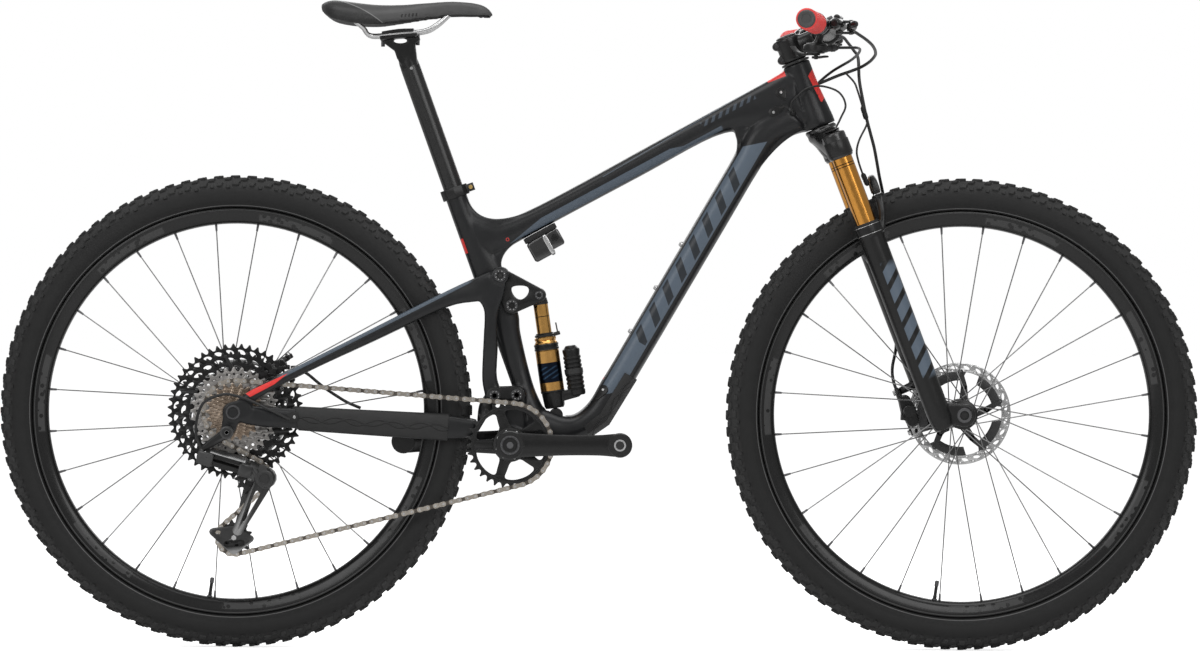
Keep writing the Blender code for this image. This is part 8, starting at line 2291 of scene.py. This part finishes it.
        lid = rod(self.brake(side, -0.02, 0.03, 0.0105), self.brake(side, 0.015, 0.0285, 0.0105), 0.005, steps=24,
            edge=0.002)
        nut = rod(inner - way * 0.012, inner + way * 0.002, 0.0046, 0.0058, steps=24, edge=0.0005)
        pin = rod(pivot - Z * 0.0112, pivot + Z * 0.0112, 0.003, steps=20, edge=0.0004)
        add_trim(f"brake_{label}_lid", lid.join(nut, pin), SATIN_BLACK, node, make=CRISP)
        screw = rod(self.brake(side, -0.001, -0.0105, 0.0085), self.brake(side, -0.001, -0.0125, 0.0125), 0.0028,
            steps=20, edge=0.0004)
        add_trim(f"brake_{label}_screw", screw, BOLT_SILVER, node)
        stations = ((-0.01, 0.0475, 0.0055, 0.004), (0.0, 0.0528, 0.0055, 0.0036), (0.01, 0.0556, 0.0056, 0.0034),
            (0.023, 0.0565, 0.0056, 0.0034), (0.045, 0.056, 0.0058, 0.0034), (0.058, 0.0566, 0.0058, 0.0034),
            (0.068, 0.059, 0.0056, 0.0034), (0.075, 0.0635, 0.0052, 0.0032), (0.078, 0.0664, 0.0038, 0.0026))
        rings = []
        for index, (out, ahead, tall, deep) in enumerate(stations):
            middle = self.brake(side, out, ahead, -0.003)
            low, high = stations[max(index - 1, 0)], stations[min(index + 1, len(stations) - 1)]
            along = self.brake(side, high[0], high[1], 0.0) - self.brake(side, low[0], low[1], 0.0)
            along.z = 0.0
            aside = along.normalized().cross(Z)
            rings.append([middle + aside * math.cos(math.tau * k / 24) * deep + Z * math.sin(math.tau * k / 24) * tall
                    for k in range(24)])
        blade = loft(rings, 4)
        blade.join(rod(pivot - Z * 0.006, pivot + Z * 0.006, 0.0062, steps=32, edge=0.001))
        add_piece(f"brake_{label}_blade", blade, COCKPIT_BLACK, f"brake_blade_{label}")
        holes = Shape()
        for out in (0.03, 0.04, 0.05):
            at = self.brake(side, out, 0.0564, -0.003)
            holes.join(rod(at + X * 0.003, at + X * 0.0037, 0.0028, steps=24, edge=0.0003))
        add_trim(f"brake_{label}_dimples", holes, RUBBER, f"brake_blade_{label}")

    def shifter(self) -> None:
        """The trigger shifter with its strap, housing, adjuster and two levers."""
        centre = self.shift(0.0, 0.0)
        body = lathe([(-0.005, 0.0115), (-0.005, 0.0138), (-0.0038, 0.0146), (0.0038, 0.0146), (0.005, 0.0138),
                (0.005, 0.0115)], self.bar(self.shifter_out, -1), self.run(-1), 40, closed=True)
        rings = [ring_about(centre + Z * at, Z, radius, 40) for at, radius in ((-0.0062, 0.014), (-0.0058, 0.0178),
                (-0.004, 0.0192), (0.004, 0.0192), (0.0066, 0.0172), (0.0086, 0.012))]
        neck = [ring_about(self.shift(0.0, 0.005), Z, 0.01, 24), ring_about(self.shift(0.004, 0.013), Z, 0.0064, 24),
            ring_about(self.shift(0.0075, 0.0225), Z, 0.006, 24)]
        barrel = lathe([(0.0, 0.0), (0.0, 0.0056), (0.01, 0.0054), (0.011, 0.006), (0.0165, 0.006), (0.0175, 0.005),
                (0.02, 0.0046), (0.0224, 0.0036), (0.0224, 0.0)], self.shift(0.014, 0.0002),
            (self.shift(0.033, 0.002, -0.012) - self.shift(0.014, 0.0)), 28)
        body.join(skin(rings), loft(neck, 4), rod(self.shift(0.0, -0.0165), centre, 0.0034, steps=20))
        add_piece("shifter_housing", body, SHIFTER_BLACK, "shifter_body",
            make=Make(voxel=0.0009, relax=3, sharp=50.0))
        lid = lathe([(0.0, 0.0), (0.0, 0.0128), (0.001, 0.0136), (0.0016, 0.0128), (0.0016, 0.0)],
            centre - Z * 0.0076, Z, 40)
        add_trim("shifter_lid", lid.join(barrel), HUB_BLACK, "shifter_body", make=CRISP)
        thumb = ((-0.004, 0.0, 0.0062, 0.0), (-0.012, -0.003, 0.0056, 0.0), (-0.02, -0.006, 0.0052, 0.0),
            (-0.03, -0.012, 0.0064, 0.004), (-0.0375, -0.0178, 0.007, 0.0115))
        release = ((0.004, 0.0, 0.0056, 0.0), (0.008, 0.008, 0.005, 0.0), (0.012, 0.016, 0.0046, 0.0),
            (0.0178, 0.0258, 0.0052, 0.0))
        for node, stations, above, tall in (("shift_thumb_lever", thumb, -0.0085, 0.0019),
                ("shift_release_lever", release, -0.0135, 0.0017)):
            rings = []
            for index, (ahead, out, half, lift) in enumerate(stations):
                before, after = stations[max(index - 1, 0)], stations[min(index + 1, len(stations) - 1)]
                along = self.shift(after[0], above, after[1]) - self.shift(before[0], above, before[1])
                along.z = 0.0
                aside = along.normalized().cross(Z) * half
                middle = self.shift(ahead, above + lift, out)
                turns = [squared(math.tau * k / 20, 0.6) for k in range(20)]
                rings.append([middle + aside * wide + Z * tall * up for wide, up in turns])
            pivot = self.shift(0.0, above)
            shape = loft(rings, 4).join(rod(pivot - Z * tall, pivot + Z * tall, 0.0065, steps=28))
            add_piece(f"{node}_blade", shape, SHIFTER_BLACK, node)

    def build(self) -> None:
        """Makes and dresses the cockpit's pieces."""
        self.stem()
        self.handlebar()
        for label, side in (("left", 1), ("right", -1)):
            self.grip(label, side)
            self.brake_lever(label, side)
        self.shifter()


# --- Seat -----------------------------------------------------------------------------------
@dataclass(frozen=True)
class SaddleCover(Finish):
    """A matt charcoal cover with a rough dark side panel and a row of small slits."""

    def side_panel(self, shader: Shader) -> Field:
        """Where the darker, rougher side panel lies."""
        return 1.0 - self.past_seam(shader).above(0.0, 0.0008)

    def past_seam(self, shader: Shader) -> Field:
        """How far a place lies above the curved seam that runs down from the tail."""
        line = Panel(Vector((-0.415, 0.0, 1.0085)), Vector((-0.3405, 0.0, 0.974)))
        along, above = line.along(shader), line.above(shader)
        share = along / 0.0821
        return above - share * (1.0 - share) * 0.02

    def base(self, shader: Shader) -> Field:
        """The cover with its darker sides, its seam and its slits."""
        tone = shader.mix(shader.noise(60.0, 4.0), scaled(self.colour, 0.8), scaled(self.colour, 1.25))
        speck = shader.noise(900.0, 2.0).above(0.56, 0.05)
        side = shader.mix(speck, grey(0.006), grey(0.02))
        tone = shader.mix(self.side_panel(shader), tone, side)
        seam = self.past_seam(shader).between(-0.0006, 0.0006, 0.0004)
        return shader.mix(self.slits(shader), shader.mix(seam, tone, grey(0.16)), grey(0.006))

    def slits(self, shader: Shader) -> Field:
        """A row of short slanted slits by the middle of the side."""
        line = Panel(Vector((-0.3116, 0.0, 0.983)), Vector((-0.2831, 0.0, 0.9866)))
        along, above = line.along(shader), line.above(shader)
        step = ((along - above * 0.3) / 0.0057 % 1.0).between(0.3, 0.66, 0.08)
        return step * along.between(0.0, 0.0285) * (above + along * 0.03).between(-0.0022, 0.0026)

    def height(self, shader: Shader) -> Field:
        """A fine pebble on top, coarser at the sides, with the slits sunk in."""
        fine = shader.noise(1600.0, 3.0) * 0.5
        rough = shader.cells(800.0) * 1.4
        side = self.side_panel(shader)
        return fine * (1.0 - side) + rough * side - self.slits(shader) * 8.0


@dataclass
class Seat:
    """Seatpost, rails and the padded saddle.

    Attributes:
        exposed: how much of the post stands out of the frame.
        inserted: how much of it is inside.
        radius: the post's radius.
        rail: the rails' radius.
        length: the saddle's length.
        width: its greatest width.
        rear: its tail, behind the post's head.
        pressure: the push of the padding on its cover.
        swell_frames: how long the cover settles.
        held_edge: the height of the cover's edge that stays put.
        most_swell: how far the cover may move.
    """

    exposed: float = 0.229
    inserted: float = 0.115
    radius: float = 0.01545
    rail: float = 0.0035
    length: float = 0.27
    width: float = 0.134
    rear: float = -0.1308
    pressure: float = 4.0
    swell_frames: int = 20
    held_edge: float = 0.006
    most_swell: float = 0.0012

    def rail_at(self, ahead: float, above: float, out: float = 0.0) -> Vector:
        """A place on the rails' straight part."""
        return PLACE.saddle.at(ahead, 0.0279 + ahead * 0.1015 + above, out)

    def post(self) -> None:
        """The post with its forged head, bolts and cradle."""
        t = PLACE.seat
        e = self.exposed
        body = rod(t.at(-self.inserted, 0.0), t.at(e - 0.025, 0.0), self.radius, steps=56)
        neck = [oval(t.at(e - up, front), t.at(e - down, -back), half, power=power)
            for up, front, down, back, half, power in ((0.048, 0.0154, 0.048, 0.0154, 0.0154, 2.0),
                (0.03, 0.0152, 0.03, 0.0152, 0.0148, 2.2), (0.016, 0.015, 0.018, 0.0152, 0.0142, 2.4),
                (0.004, 0.013, 0.008, 0.0135, 0.0132, 2.6))]
        head = loft(neck, 5)
        rim = flat([Vector((x, 0.0, z)) for x, z in ((-0.285, 0.908), (-0.2869, 0.9264), (-0.2888, 0.9411),
                (-0.2812, 0.9479), (-0.2825, 0.954), (-0.3425, 0.952), (-0.343, 0.9462), (-0.3332, 0.9391),
                (-0.321, 0.9302), (-0.3168, 0.918), (-0.31, 0.908))])
        gap = flat([Vector((-0.312 + 0.0108 * math.cos(turn), 0.0, 0.9462 + 0.0041 * math.sin(turn)))
                for turn in (math.tau * k / 24 for k in range(24))])
        head.join(plate([rim, gap], -0.0135, 0.0135, 0.0012))
        cradle = (((-0.039, -0.0005), (-0.0375, -0.0085), 0.027), ((-0.01, -0.0005), (-0.01, -0.007), 0.027),
            ((0.0205, -0.0005), (0.019, -0.0085), 0.027))
        head.join(loft(ovals(self.rail_at, cradle, 5.0), 3))
        post_black = Finish("seatpost_black", grey(0.011), 0.28, 0.3, gloss=0.6, grain=Grain.BRUSHED, depth=0.000004)
        add_piece("seatpost_tube", body, post_black, "seatpost")
        add_piece("seatpost_head", head, SATIN_BLACK, "seatpost", make=Make(voxel=0.0012, relax=5, sharp=60.0))
        bolts = Shape()
        for place in (Vector((-0.3392, 0.0, 0.9395)), Vector((-0.285, 0.0, 0.942))):
            bolts.join(rod(place - Z * 0.0025, place + Z * 0.014, 0.003, steps=20, edge=0.0004))
        screw = Vector((-0.2942, 0.0, 0.9033))
        bolts.join(across(screw, -0.0152, -0.012, 0.0036, steps=24, edge=0.0005))
        add_trim("seatpost_bolts", bolts, HUB_BLACK, "seatpost")
        caps = across(screw, -0.0166, -0.0148, 0.0026, steps=20, edge=0.0003)
        add_trim("seatpost_screw", caps, BOLT_SILVER, "seatpost")

    def rails(self) -> None:
        """The bent rails and the upper clamp."""
        steel = Finish("rail_steel", grey(0.5), 0.26, 1.0, grain=Grain.BRUSHED, depth=0.00001)
        rails, half = Shape(), 0.022
        ends = []
        for side in (-1, 1):
            route = [PLACE.saddle.at(-0.0778, 0.0465, side * 0.0415), PLACE.saddle.at(-0.0648, 0.0362, side * 0.0335),
                self.rail_at(-0.0518, 0.001, side * half), self.rail_at(-0.0098, 0.0, side * half),
                self.rail_at(0.0302, 0.0, side * half), PLACE.saddle.at(0.0492, 0.0402, side * half * 0.9),
                PLACE.saddle.at(0.0692, 0.0574, side * half * 0.55)]
            path = smooth_route(route, 0.004)
            ends.append(path[-1])
            rails.join(sweep(path, self.rail, 20))
        rails.join(sweep(ends, self.rail * 0.98, 20))
        add_piece("saddle_rail_pair", rails, steel, "saddle_rails")
        top = (((-0.035, 0.006), (-0.035, 0.0008), 0.027), ((-0.01, 0.0076), (-0.01, 0.0008), 0.027),
            ((0.014, 0.006), (0.014, 0.0008), 0.027))
        add_trim("saddle_clamp", loft(ovals(self.rail_at, top, 5.0), 3), SATIN_BLACK, "saddle_rails")

    def form(self, inset: float, floor: float) -> Shape:
        """The saddle's closed form.

        Args:
            inset: how far it is drawn in all round.
            floor: the share of its height at which its underside is cut off.

        Returns:
            The form.
        """
        stations = ((0.0, 0.0732, 0.0602, 0.42), (0.035, 0.0777, 0.0512, 0.78), (0.09, 0.0787, 0.0442, 0.96),
            (0.19, 0.0752, 0.0402, 1.0), (0.33, 0.0717, 0.0392, 0.82), (0.47, 0.0722, 0.0442, 0.58),
            (0.62, 0.0757, 0.0502, 0.4), (0.77, 0.0782, 0.0542, 0.31), (0.9, 0.0762, 0.0547, 0.27),
            (0.965, 0.0702, 0.0542, 0.22), (1.0, 0.0602, 0.0547, 0.11))
        rings = []
        for share, top, bottom, wide in stations:
            x = self.rear + inset + (self.length - 2 * inset) * share
            half = max(self.width / 2 * wide - inset, 0.003)
            top, tall = top - inset, top - bottom
            dish = 0.003 if 0.1 < share < 0.7 else 0.0006
            low = top - tall * floor
            section = [(0.0, top - dish), (0.22, top - dish * 0.45), (0.44, top - tall * 0.01),
                (0.66, top - tall * 0.07), (0.82, top - tall * 0.19), (0.93, top - tall * 0.34),
                (0.985, top - tall * 0.5), (1.0, top - tall * 0.7), (0.97, max(top - tall * 0.88, low)), (0.9, low),
                (0.55, low + tall * 0.28), (0.0, low + tall * 0.34)]
            right = [PLACE.saddle.at(x, z, -out * half) for out, z in section]
            left = [PLACE.saddle.at(x, z, out * half) for out, z in section[-2:0:-1]]
            rings.append(right + left)
        return loft(rings, 5)

    def swell(self, pad: bpy.types.Object, most: float) -> None:
        """Lets a pad swell as a stretched cover does, by no more than a set amount.

        Args:
            pad: the pad's piece.
            most: how far a point may move.
        """
        rest = [vertex.co.copy() for vertex in pad.data.vertices]
        firm = pad.vertex_groups.new(name="edge")
        low = min(point.z for point in rest)
        firm.add([k for k, point in enumerate(rest) if point.z < low + self.held_edge], 1.0, "REPLACE")
        cloth = pad.modifiers.new("Swell", "CLOTH")
        cloth.settings.use_pressure = True
        cloth.settings.uniform_pressure_force = self.pressure
        cloth.settings.vertex_group_mass = "edge"
        cloth.settings.effector_weights.gravity = 0.0
        cloth.settings.quality = 5
        cloth.point_cache.frame_start = 1
        cloth.point_cache.frame_end = self.swell_frames
        for frame_number in range(1, self.swell_frames + 1):
            bpy.context.scene.frame_set(frame_number)
        posed = pad.evaluated_get(bpy.context.evaluated_depsgraph_get()).to_mesh()
        moved = [vertex.co.copy() for vertex in posed.vertices]
        pad.modifiers.clear()
        pad.vertex_groups.clear()
        bpy.context.scene.frame_set(1)
        for vertex, start, end in zip(pad.data.vertices, rest, moved):
            shift = end - start
            if shift.length > most:
                shift = shift.normalized() * most
            vertex.co = start + shift

    def saddle(self) -> None:
        """The padded cover over its moulded shell."""
        cover = SaddleCover("saddle_cover", grey(0.044), 0.5, gloss=0.4, grain=Grain.LEATHER, depth=0.0001)
        pad = add_piece("saddle_pad", self.form(0.0011, 0.92), cover, "saddle",
            make=Make(voxel=0.003, relax=1, sharp=80.0))
        self.swell(pad, self.most_swell)
        work_mesh(pad, Make(relax=2, subdivide=1))
        pad.data.shade_smooth()
        shell = self.form(0.005, 0.83)
        add_piece("saddle_shell", shell, SHIFTER_BLACK, "saddle", make=Make(voxel=0.0018, relax=4, sharp=60.0))

    def build(self) -> None:
        """Makes and dresses the seat's pieces."""
        self.post()
        self.rails()
        self.saddle()


# --- Brakes and cables ----------------------------------------------------------------------
# The caliper silver's lighter edges are a painted highlight, partly wear.
CALIPER_SILVER = Finish("caliper_silver", grey(0.32), 0.34, 1.0, grain=Grain.BRUSHED, depth=0.00002, edge_wear_and_highlight=0.3,
    edge_wear_and_highlight_colour=grey(0.6))


@dataclass
class Brakes:
    """The two calipers on their posts."""

    spread: float = 0.033
    half: float = 0.013
    front: Datum = field(init=False)
    rear: Datum = field(init=False)

    def __post_init__(self) -> None:
        """Finds the caliper's places on the fork leg and on the seatstay."""
        r = PLACE.rear
        self.front = PLACE.front_caliper
        low, high = r.at(0.025, 0.033), r.at(0.0959, 0.0705)
        run = (high - low).normalized()
        out = run.cross(Y)
        self.rear = Datum(low.lerp(high, 0.46) + out * 0.015 + Y * 0.06, run, out)

    def caliper(self, label: str, place: Datum, side_step: float, axle: Vector, inlet: Sequence[Vector]) -> None:
        """A two-piston caliper.

        Args:
            label: which wheel it stops.
            place: its datum.
            side_step: how far out its mounting ears stand.
            axle: the wheel's axis.
            inlet: the ends of its hose inlet.
        """
        node = f"{label}_caliper"
        body = Shape()
        centre = axle + Y * place.origin.y
        toward = (centre - place.origin).normalized()
        side_way = toward.cross(Y)
        for side in (-1, 1):
            rings = []
            for out, grow in ((0.0017, 0.94), (0.0032, 1.0), (0.009, 1.0), (self.half - 0.0006, 0.84)):
                outline = belt([(place.at(-0.0165, 0.0), 0.0098 * grow), (place.at(0.0, 0.0), 0.0122 * grow),
                        (place.at(0.0165, 0.0), 0.0098 * grow)], 44)
                rings.append([Vector((x, place.origin.y + side * out, z)) for x, z in outline])
            body.join(skin(rings))
            body.join(across(place.at(0.0, 0.0), side * (self.half - 0.0016), side * (self.half + 0.0011), 0.0088,
                    steps=40, edge=0.0006))
        back = place.origin - toward * 0.0078
        body.join(block(back, (0.03, 0.021, 0.0072), side_way))
        ears, bolts = Shape(), Shape()
        for along in (-self.spread, self.spread):
            seat, high = place.at(along, 0.0013, side_step), place.at(along, 0.0085, side_step)
            root = place.at(along * 0.45, 0.0045, side_step * 0.5)
            ears.join(rod(seat, high, 0.0068, steps=32, edge=0.0008))
            ears.join(rod(root, (seat + high) / 2, 0.0052, 0.0046, steps=24, edge=0.001))
            bolts.join(rod(place.at(along, 0.0083, side_step), place.at(along, 0.0125, side_step), 0.0044, steps=24,
                    edge=0.0006))
            bolts.join(lathe([(0.0082, 0.0), (0.0082, 0.0062), (0.0092, 0.0062), (0.0092, 0.0)],
                    place.at(along, 0.0, side_step), place.second, 28))
        ears.join(rod(inlet[0], inlet[1], 0.0044, 0.0036, steps=24, edge=0.0005))
        rings = Shape()
        for side in (-1, 1):
            rings.join(lathe([(self.half + 0.0004, 0.0), (self.half + 0.0004, 0.0042), (self.half + 0.0016, 0.005),
                    (self.half + 0.0017, 0.0078), (self.half + 0.0008, 0.0084), (self.half - 0.0004, 0.0084),
                    (self.half - 0.0004, 0.0)], place.origin, Y * side, 36))
        add_piece(f"{label}_caliper_body", body, SATIN_BLACK, node, make=Make(sharp=32.0))
        add_piece(f"{label}_caliper_ears", ears, SATIN_BLACK, node, make=Make(sharp=32.0))
        add_trim(f"{label}_caliper_bolts", bolts, BOLT_SILVER, node)
        add_trim(f"{label}_caliper_caps", rings, CALIPER_SILVER, node, make=CRISP)
        pads = Shape()
        for side in (-1, 1):
            pads.join(block(place.at(0.0, 0.0, side * 0.003) + toward * 0.004, (0.024, 0.0018, 0.012), side_way))
        add_trim(f"{label}_brake_pads", pads, CALIPER_SILVER, node)

    def build(self) -> None:
        """Makes and dresses both calipers."""
        self.caliper("front", self.front, 0.011, PLACE.front.origin,
            (self.front.at(0.016, 0.004, -0.006), self.front.at(0.0304, 0.006, -0.006)))
        self.caliper("rear", self.rear, 0.0095, PLACE.rear.origin,
            (self.rear.at(0.014, -0.002, -0.006), self.rear.at(0.028, -0.01, -0.006)))


@dataclass
class Cables:
    """Hoses, housings and wires, each on one smooth route."""

    cockpit: Cockpit
    brakes: Brakes
    hose: float = 0.0025
    housing: float = 0.0022
    wire: float = 0.0016

    def cable(self, node: str, route: Sequence[Vector], radius: float, spacing: float,
            bends: tuple[str, str] | None = None) -> None:
        """One cable along its route.

        Args:
            node: the solid that it stands for.
            route: its places, from its first end to its last.
            radius: its radius.
            spacing: how close the smooth route's places lie before it is refined.
            bends: the two bodies that its ends would follow; only whether it is given is used, and then the cable is
                taken off its body and kept fixed where it lies.
        """
        rough = smooth_route(route, spacing)
        path = smooth_route(rough, 0.004)
        piece = add_piece(f"{node}_run", sweep(path, radius, 14), HOSE_BLACK, node)
        if bends:
            piece.parent = None
            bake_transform(piece)
        length = sum((end - start).length for start, end in zip(path, path[1:]))

    def build(self) -> None:
        """Makes and dresses every cable."""
        c, s, h, r = self.cockpit, PLACE.steer, PLACE.head, PLACE.rear
        left = c.brake(1, -0.059, 0.0303, 0.001) - c.run(1) * 0.0003
        right = c.brake(-1, -0.059, 0.0303, 0.001) - c.run(-1) * 0.0003
        side = 0.067 + 0.0198 + self.hose + 0.0003
        ports = (s.at(-0.061, -0.033, 0.0262), s.at(-0.033, -0.048, 0.0262))
        self.cable("front_brake_hose", [left, left + Vector((0.012, -0.035, -0.003)),
                *s.each((-0.08, 0.097, 0.06), (-0.048, 0.086, 0.044), (0.013, 0.075, 0.04), (0.06, 0.07, 0.042),
                (0.105, 0.062, 0.048), (0.136, 0.0575, 0.058), (0.168, 0.05, 0.076), (0.205, 0.032, side + 0.001),
                (0.26, 0.015, side), (0.33, 0.005, side), (0.365, -0.006, side - 0.005), (0.393, -0.024, 0.064),
                (0.413, -0.031, 0.044)), self.brakes.front.at(0.0308, 0.006, -0.006)], self.hose, 0.03,
            ("steering", "fork_lower"))
        self.cable("rear_brake_hose", [right, right + Vector((0.015, 0.035, -0.004)),
                *h.each((0.0757, 0.1267, -0.07), (0.0845, 0.1106, -0.015), (0.0657, 0.0947, 0.025),
                (0.031, 0.0817, 0.036), (0.0018, 0.0695, 0.0335), (-0.0323, 0.0577, 0.0335)), ports[0] + Y * 0.005],
            self.hose, 0.022, ("steering", "frame"))
        start = c.shift(0.033 + 0.0003, 0.002, -0.0122)
        self.cable("shift_housing", [start, start + Vector((0.025, 0.018, 0.001)),
                *h.each((0.0577, 0.1177, -0.085), (0.0567, 0.1117, -0.03), (0.0457, 0.1027, 0.018),
                (0.0217, 0.0887, 0.044), (-0.0043, 0.0667, 0.047), (-0.0343, 0.0327, 0.043)), ports[1] + Y * 0.005],
            self.housing, 0.022, ("steering", "frame"))
        self.cable("suspension_wire", [s.at(-0.0345, -0.033, -0.0306),
                *h.each((-0.0463, 0.0347, -0.0345), (-0.0218, 0.0583, -0.034), (0.0007, 0.0623, -0.034),
                (0.0274, 0.0531, -0.036), (0.0379, 0.0327, -0.045), (0.0302, 0.0127, -0.055)),
                s.at(0.0145, 0.0155, -0.0666)], self.wire, 0.022, ("frame", "steering"))
        rear = self.brakes.rear
        self.cable("rear_brake_hose_rear", [*r.each((0.1914, 0.0042, 0.053), (0.1704, 0.013, 0.0535),
                (0.1354, 0.035, 0.0545), (0.1094, 0.056, 0.0545)), rear.at(0.038, -0.016, -0.006),
                rear.at(0.029, -0.0107, -0.006)], self.hose, 0.022)
        self.cable("rear_shift_housing", [*r.each((0.0874, -0.011, -0.0778), (0.0554, 0.005, -0.087),
                (0.0204, 0.021, -0.0905), (-0.014, 0.028, -0.0915), (-0.0426, 0.017, -0.0915),
                (-0.0546, -0.008, -0.091), (-0.0561, -0.033, -0.09), (-0.0498, -0.052, -0.088))], self.housing, 0.022)
        joints = ((h.at(0.066, 0.0329), h.at(0.0728, 0.0112)),
            (h.at(0.0656, -0.0723, -0.022), h.at(0.0743, -0.0919, -0.023)))
        plugs = Shape()
        for start, end in joints:
            long = (end - start).length
            plugs.join(lathe([(0.0, 0.0018), (0.003, 0.004), (long * 0.45, 0.0042), (long * 0.5, 0.0036),
                    (long * 0.55, 0.0042), (long - 0.003, 0.004), (long, 0.0018)], start, end - start, 24))
        add_trim("sensor_plugs", plugs, RUBBER, "sensor_wire")
        self.cable("sensor_wire", [*h.each((0.04, 0.0841, 0.005), (0.053, 0.07, 0.002), (0.0584, 0.0569),
                (0.066, 0.0329), (0.0728, 0.0112), (0.0724, 0.0021), (0.0614, -0.0198, -0.008),
                (0.057, -0.0373, -0.015), (0.0591, -0.0525, -0.02), (0.0656, -0.0723, -0.022),
                (0.0743, -0.0919, -0.023))], self.wire, 0.022)


# --- Studio ---------------------------------------------------------------------------------
@dataclass
class Studio:
    """A white room with a pale floor, soft lamps and the side view's camera.

    Attributes:
        distance: from the camera to what it looks at.
        rise: the camera's height above level, in degrees.
        roll: its turn about its own axis, in degrees.
        lens: its focal length, in millimetres.
        look: what it looks at.
        ambient: the surround's strength for light and reflections.
        floor_half: half the floor's side.
        floor_glow: how bright the floor is to the eye by itself.
    """

    distance: float = 8.5
    rise: float = 0.6
    roll: float = 0.26
    lens: float = 163.5
    look: Vector = field(default_factory=lambda: Vector((0.001, 0.0, 0.4985)))
    ambient: float = 0.46
    floor_half: float = 30.0
    floor_glow: float = 0.66

    def camera(self) -> None:
        """The camera that looks at the drive side."""
        lift = math.radians(self.rise)
        data = bpy.data.cameras.new("camera")
        data.lens = self.lens
        data.sensor_width = 36.0
        camera = bpy.data.objects.new("camera", data)
        bpy.context.scene.collection.objects.link(camera)
        camera.location = self.look + Vector((0.0, -math.cos(lift), math.sin(lift))) * self.distance
        toward = (self.look - camera.location).to_track_quat("-Z", "Y")
        camera.rotation_euler = (toward.to_matrix() @ Matrix.Rotation(math.radians(self.roll), 3, "Z")).to_euler()
        bpy.context.scene.camera = camera

    def world(self) -> None:
        """A white surround for the eye and for rays through glass, and a softer one for light and reflections."""
        world = bpy.data.worlds.new("room")
        bpy.context.scene.world = world
        world.use_nodes = True
        tree = world.node_tree
        background = tree.nodes["Background"]
        path = tree.nodes.new("ShaderNodeLightPath")
        most = tree.nodes.new("ShaderNodeMath")
        most.operation = "MAXIMUM"
        tree.links.new(path.outputs["Is Camera Ray"], most.inputs[0])
        tree.links.new(path.outputs["Is Transmission Ray"], most.inputs[1])
        blend = tree.nodes.new("ShaderNodeMix")
        blend.data_type = "FLOAT"
        blend.inputs[2].default_value = self.ambient
        blend.inputs[3].default_value = 1.0
        tree.links.new(most.outputs[0], blend.inputs[0])
        tree.links.new(blend.outputs[0], background.inputs["Strength"])
        background.inputs["Color"].default_value = (1.0, 1.0, 1.0, 1.0)

    def floor(self) -> None:
        """A pale floor that keeps the bike's shadow."""
        corners = [(X * x + Y * y) * self.floor_half for x, y in ((-1, -1), (1, -1), (1, 1), (-1, 1))]
        shape = Shape(corners, [(0, 1, 2, 3)])
        item = bpy.data.objects.new("floor", shape.mesh("floor"))
        bpy.context.scene.collection.objects.link(item)
        shader = Shader("pale_floor")
        shader.set("Base Color", grey(0.86))
        shader.set("Roughness", 0.9)
        shader.set("Specular IOR Level", 0.0)
        shader.set("Emission Color", shader.node("ShaderNodeLightPath", output="Is Camera Ray"))
        shader.set("Emission Strength", self.floor_glow)
        item.data.materials.append(shader.material)

    def lamp(self, name: str, place: Vector, size: tuple[float, float], power: float) -> None:
        """A soft lamp aimed at the middle of the bike."""
        data = bpy.data.lights.new(name, "AREA")
        data.shape = "RECTANGLE"
        data.size, data.size_y = size
        data.energy = power
        lamp = bpy.data.objects.new(name, data)
        bpy.context.scene.collection.objects.link(lamp)
        lamp.location = place
        lamp.rotation_euler = (self.look - place).to_track_quat("-Z", "Y").to_euler()

    def build(self) -> None:
        """Sets up camera, surround, floor and lamps."""
        bpy.context.scene.view_settings.view_transform = "Standard"
        self.camera()
        self.world()
        self.floor()
        for name, place, size, power in (("overhead", (0.0, -0.6, 3.4), (3.6, 2.0), 62.0),
                ("front_high", (1.6, -3.2, 2.2), (2.4, 1.6), 38.0),
                ("rear_high", (-1.9, -2.8, 1.8), (2.0, 1.6), 27.0), ("behind", (0.0, 2.8, 1.8), (3.0, 1.4), 26.0)):
            self.lamp(name, Vector(place), size, power)


def main() -> None:
    """Builds and dresses every sub-assembly in order."""
    logging.basicConfig(level=logging.INFO, format="%(message)s")
    Studio().build()
    front_wheel().build()
    rear_wheel().build()
    Drivetrain().build()
    MainFrame().build()
    Swingarm().build()
    Suspension().build()
    Fork().build()
    cockpit, brakes = Cockpit(), Brakes()
    cockpit.build()
    Seat().build()
    brakes.build()
    Cables(cockpit, brakes).build()


if __name__ == "__main__":
    main()
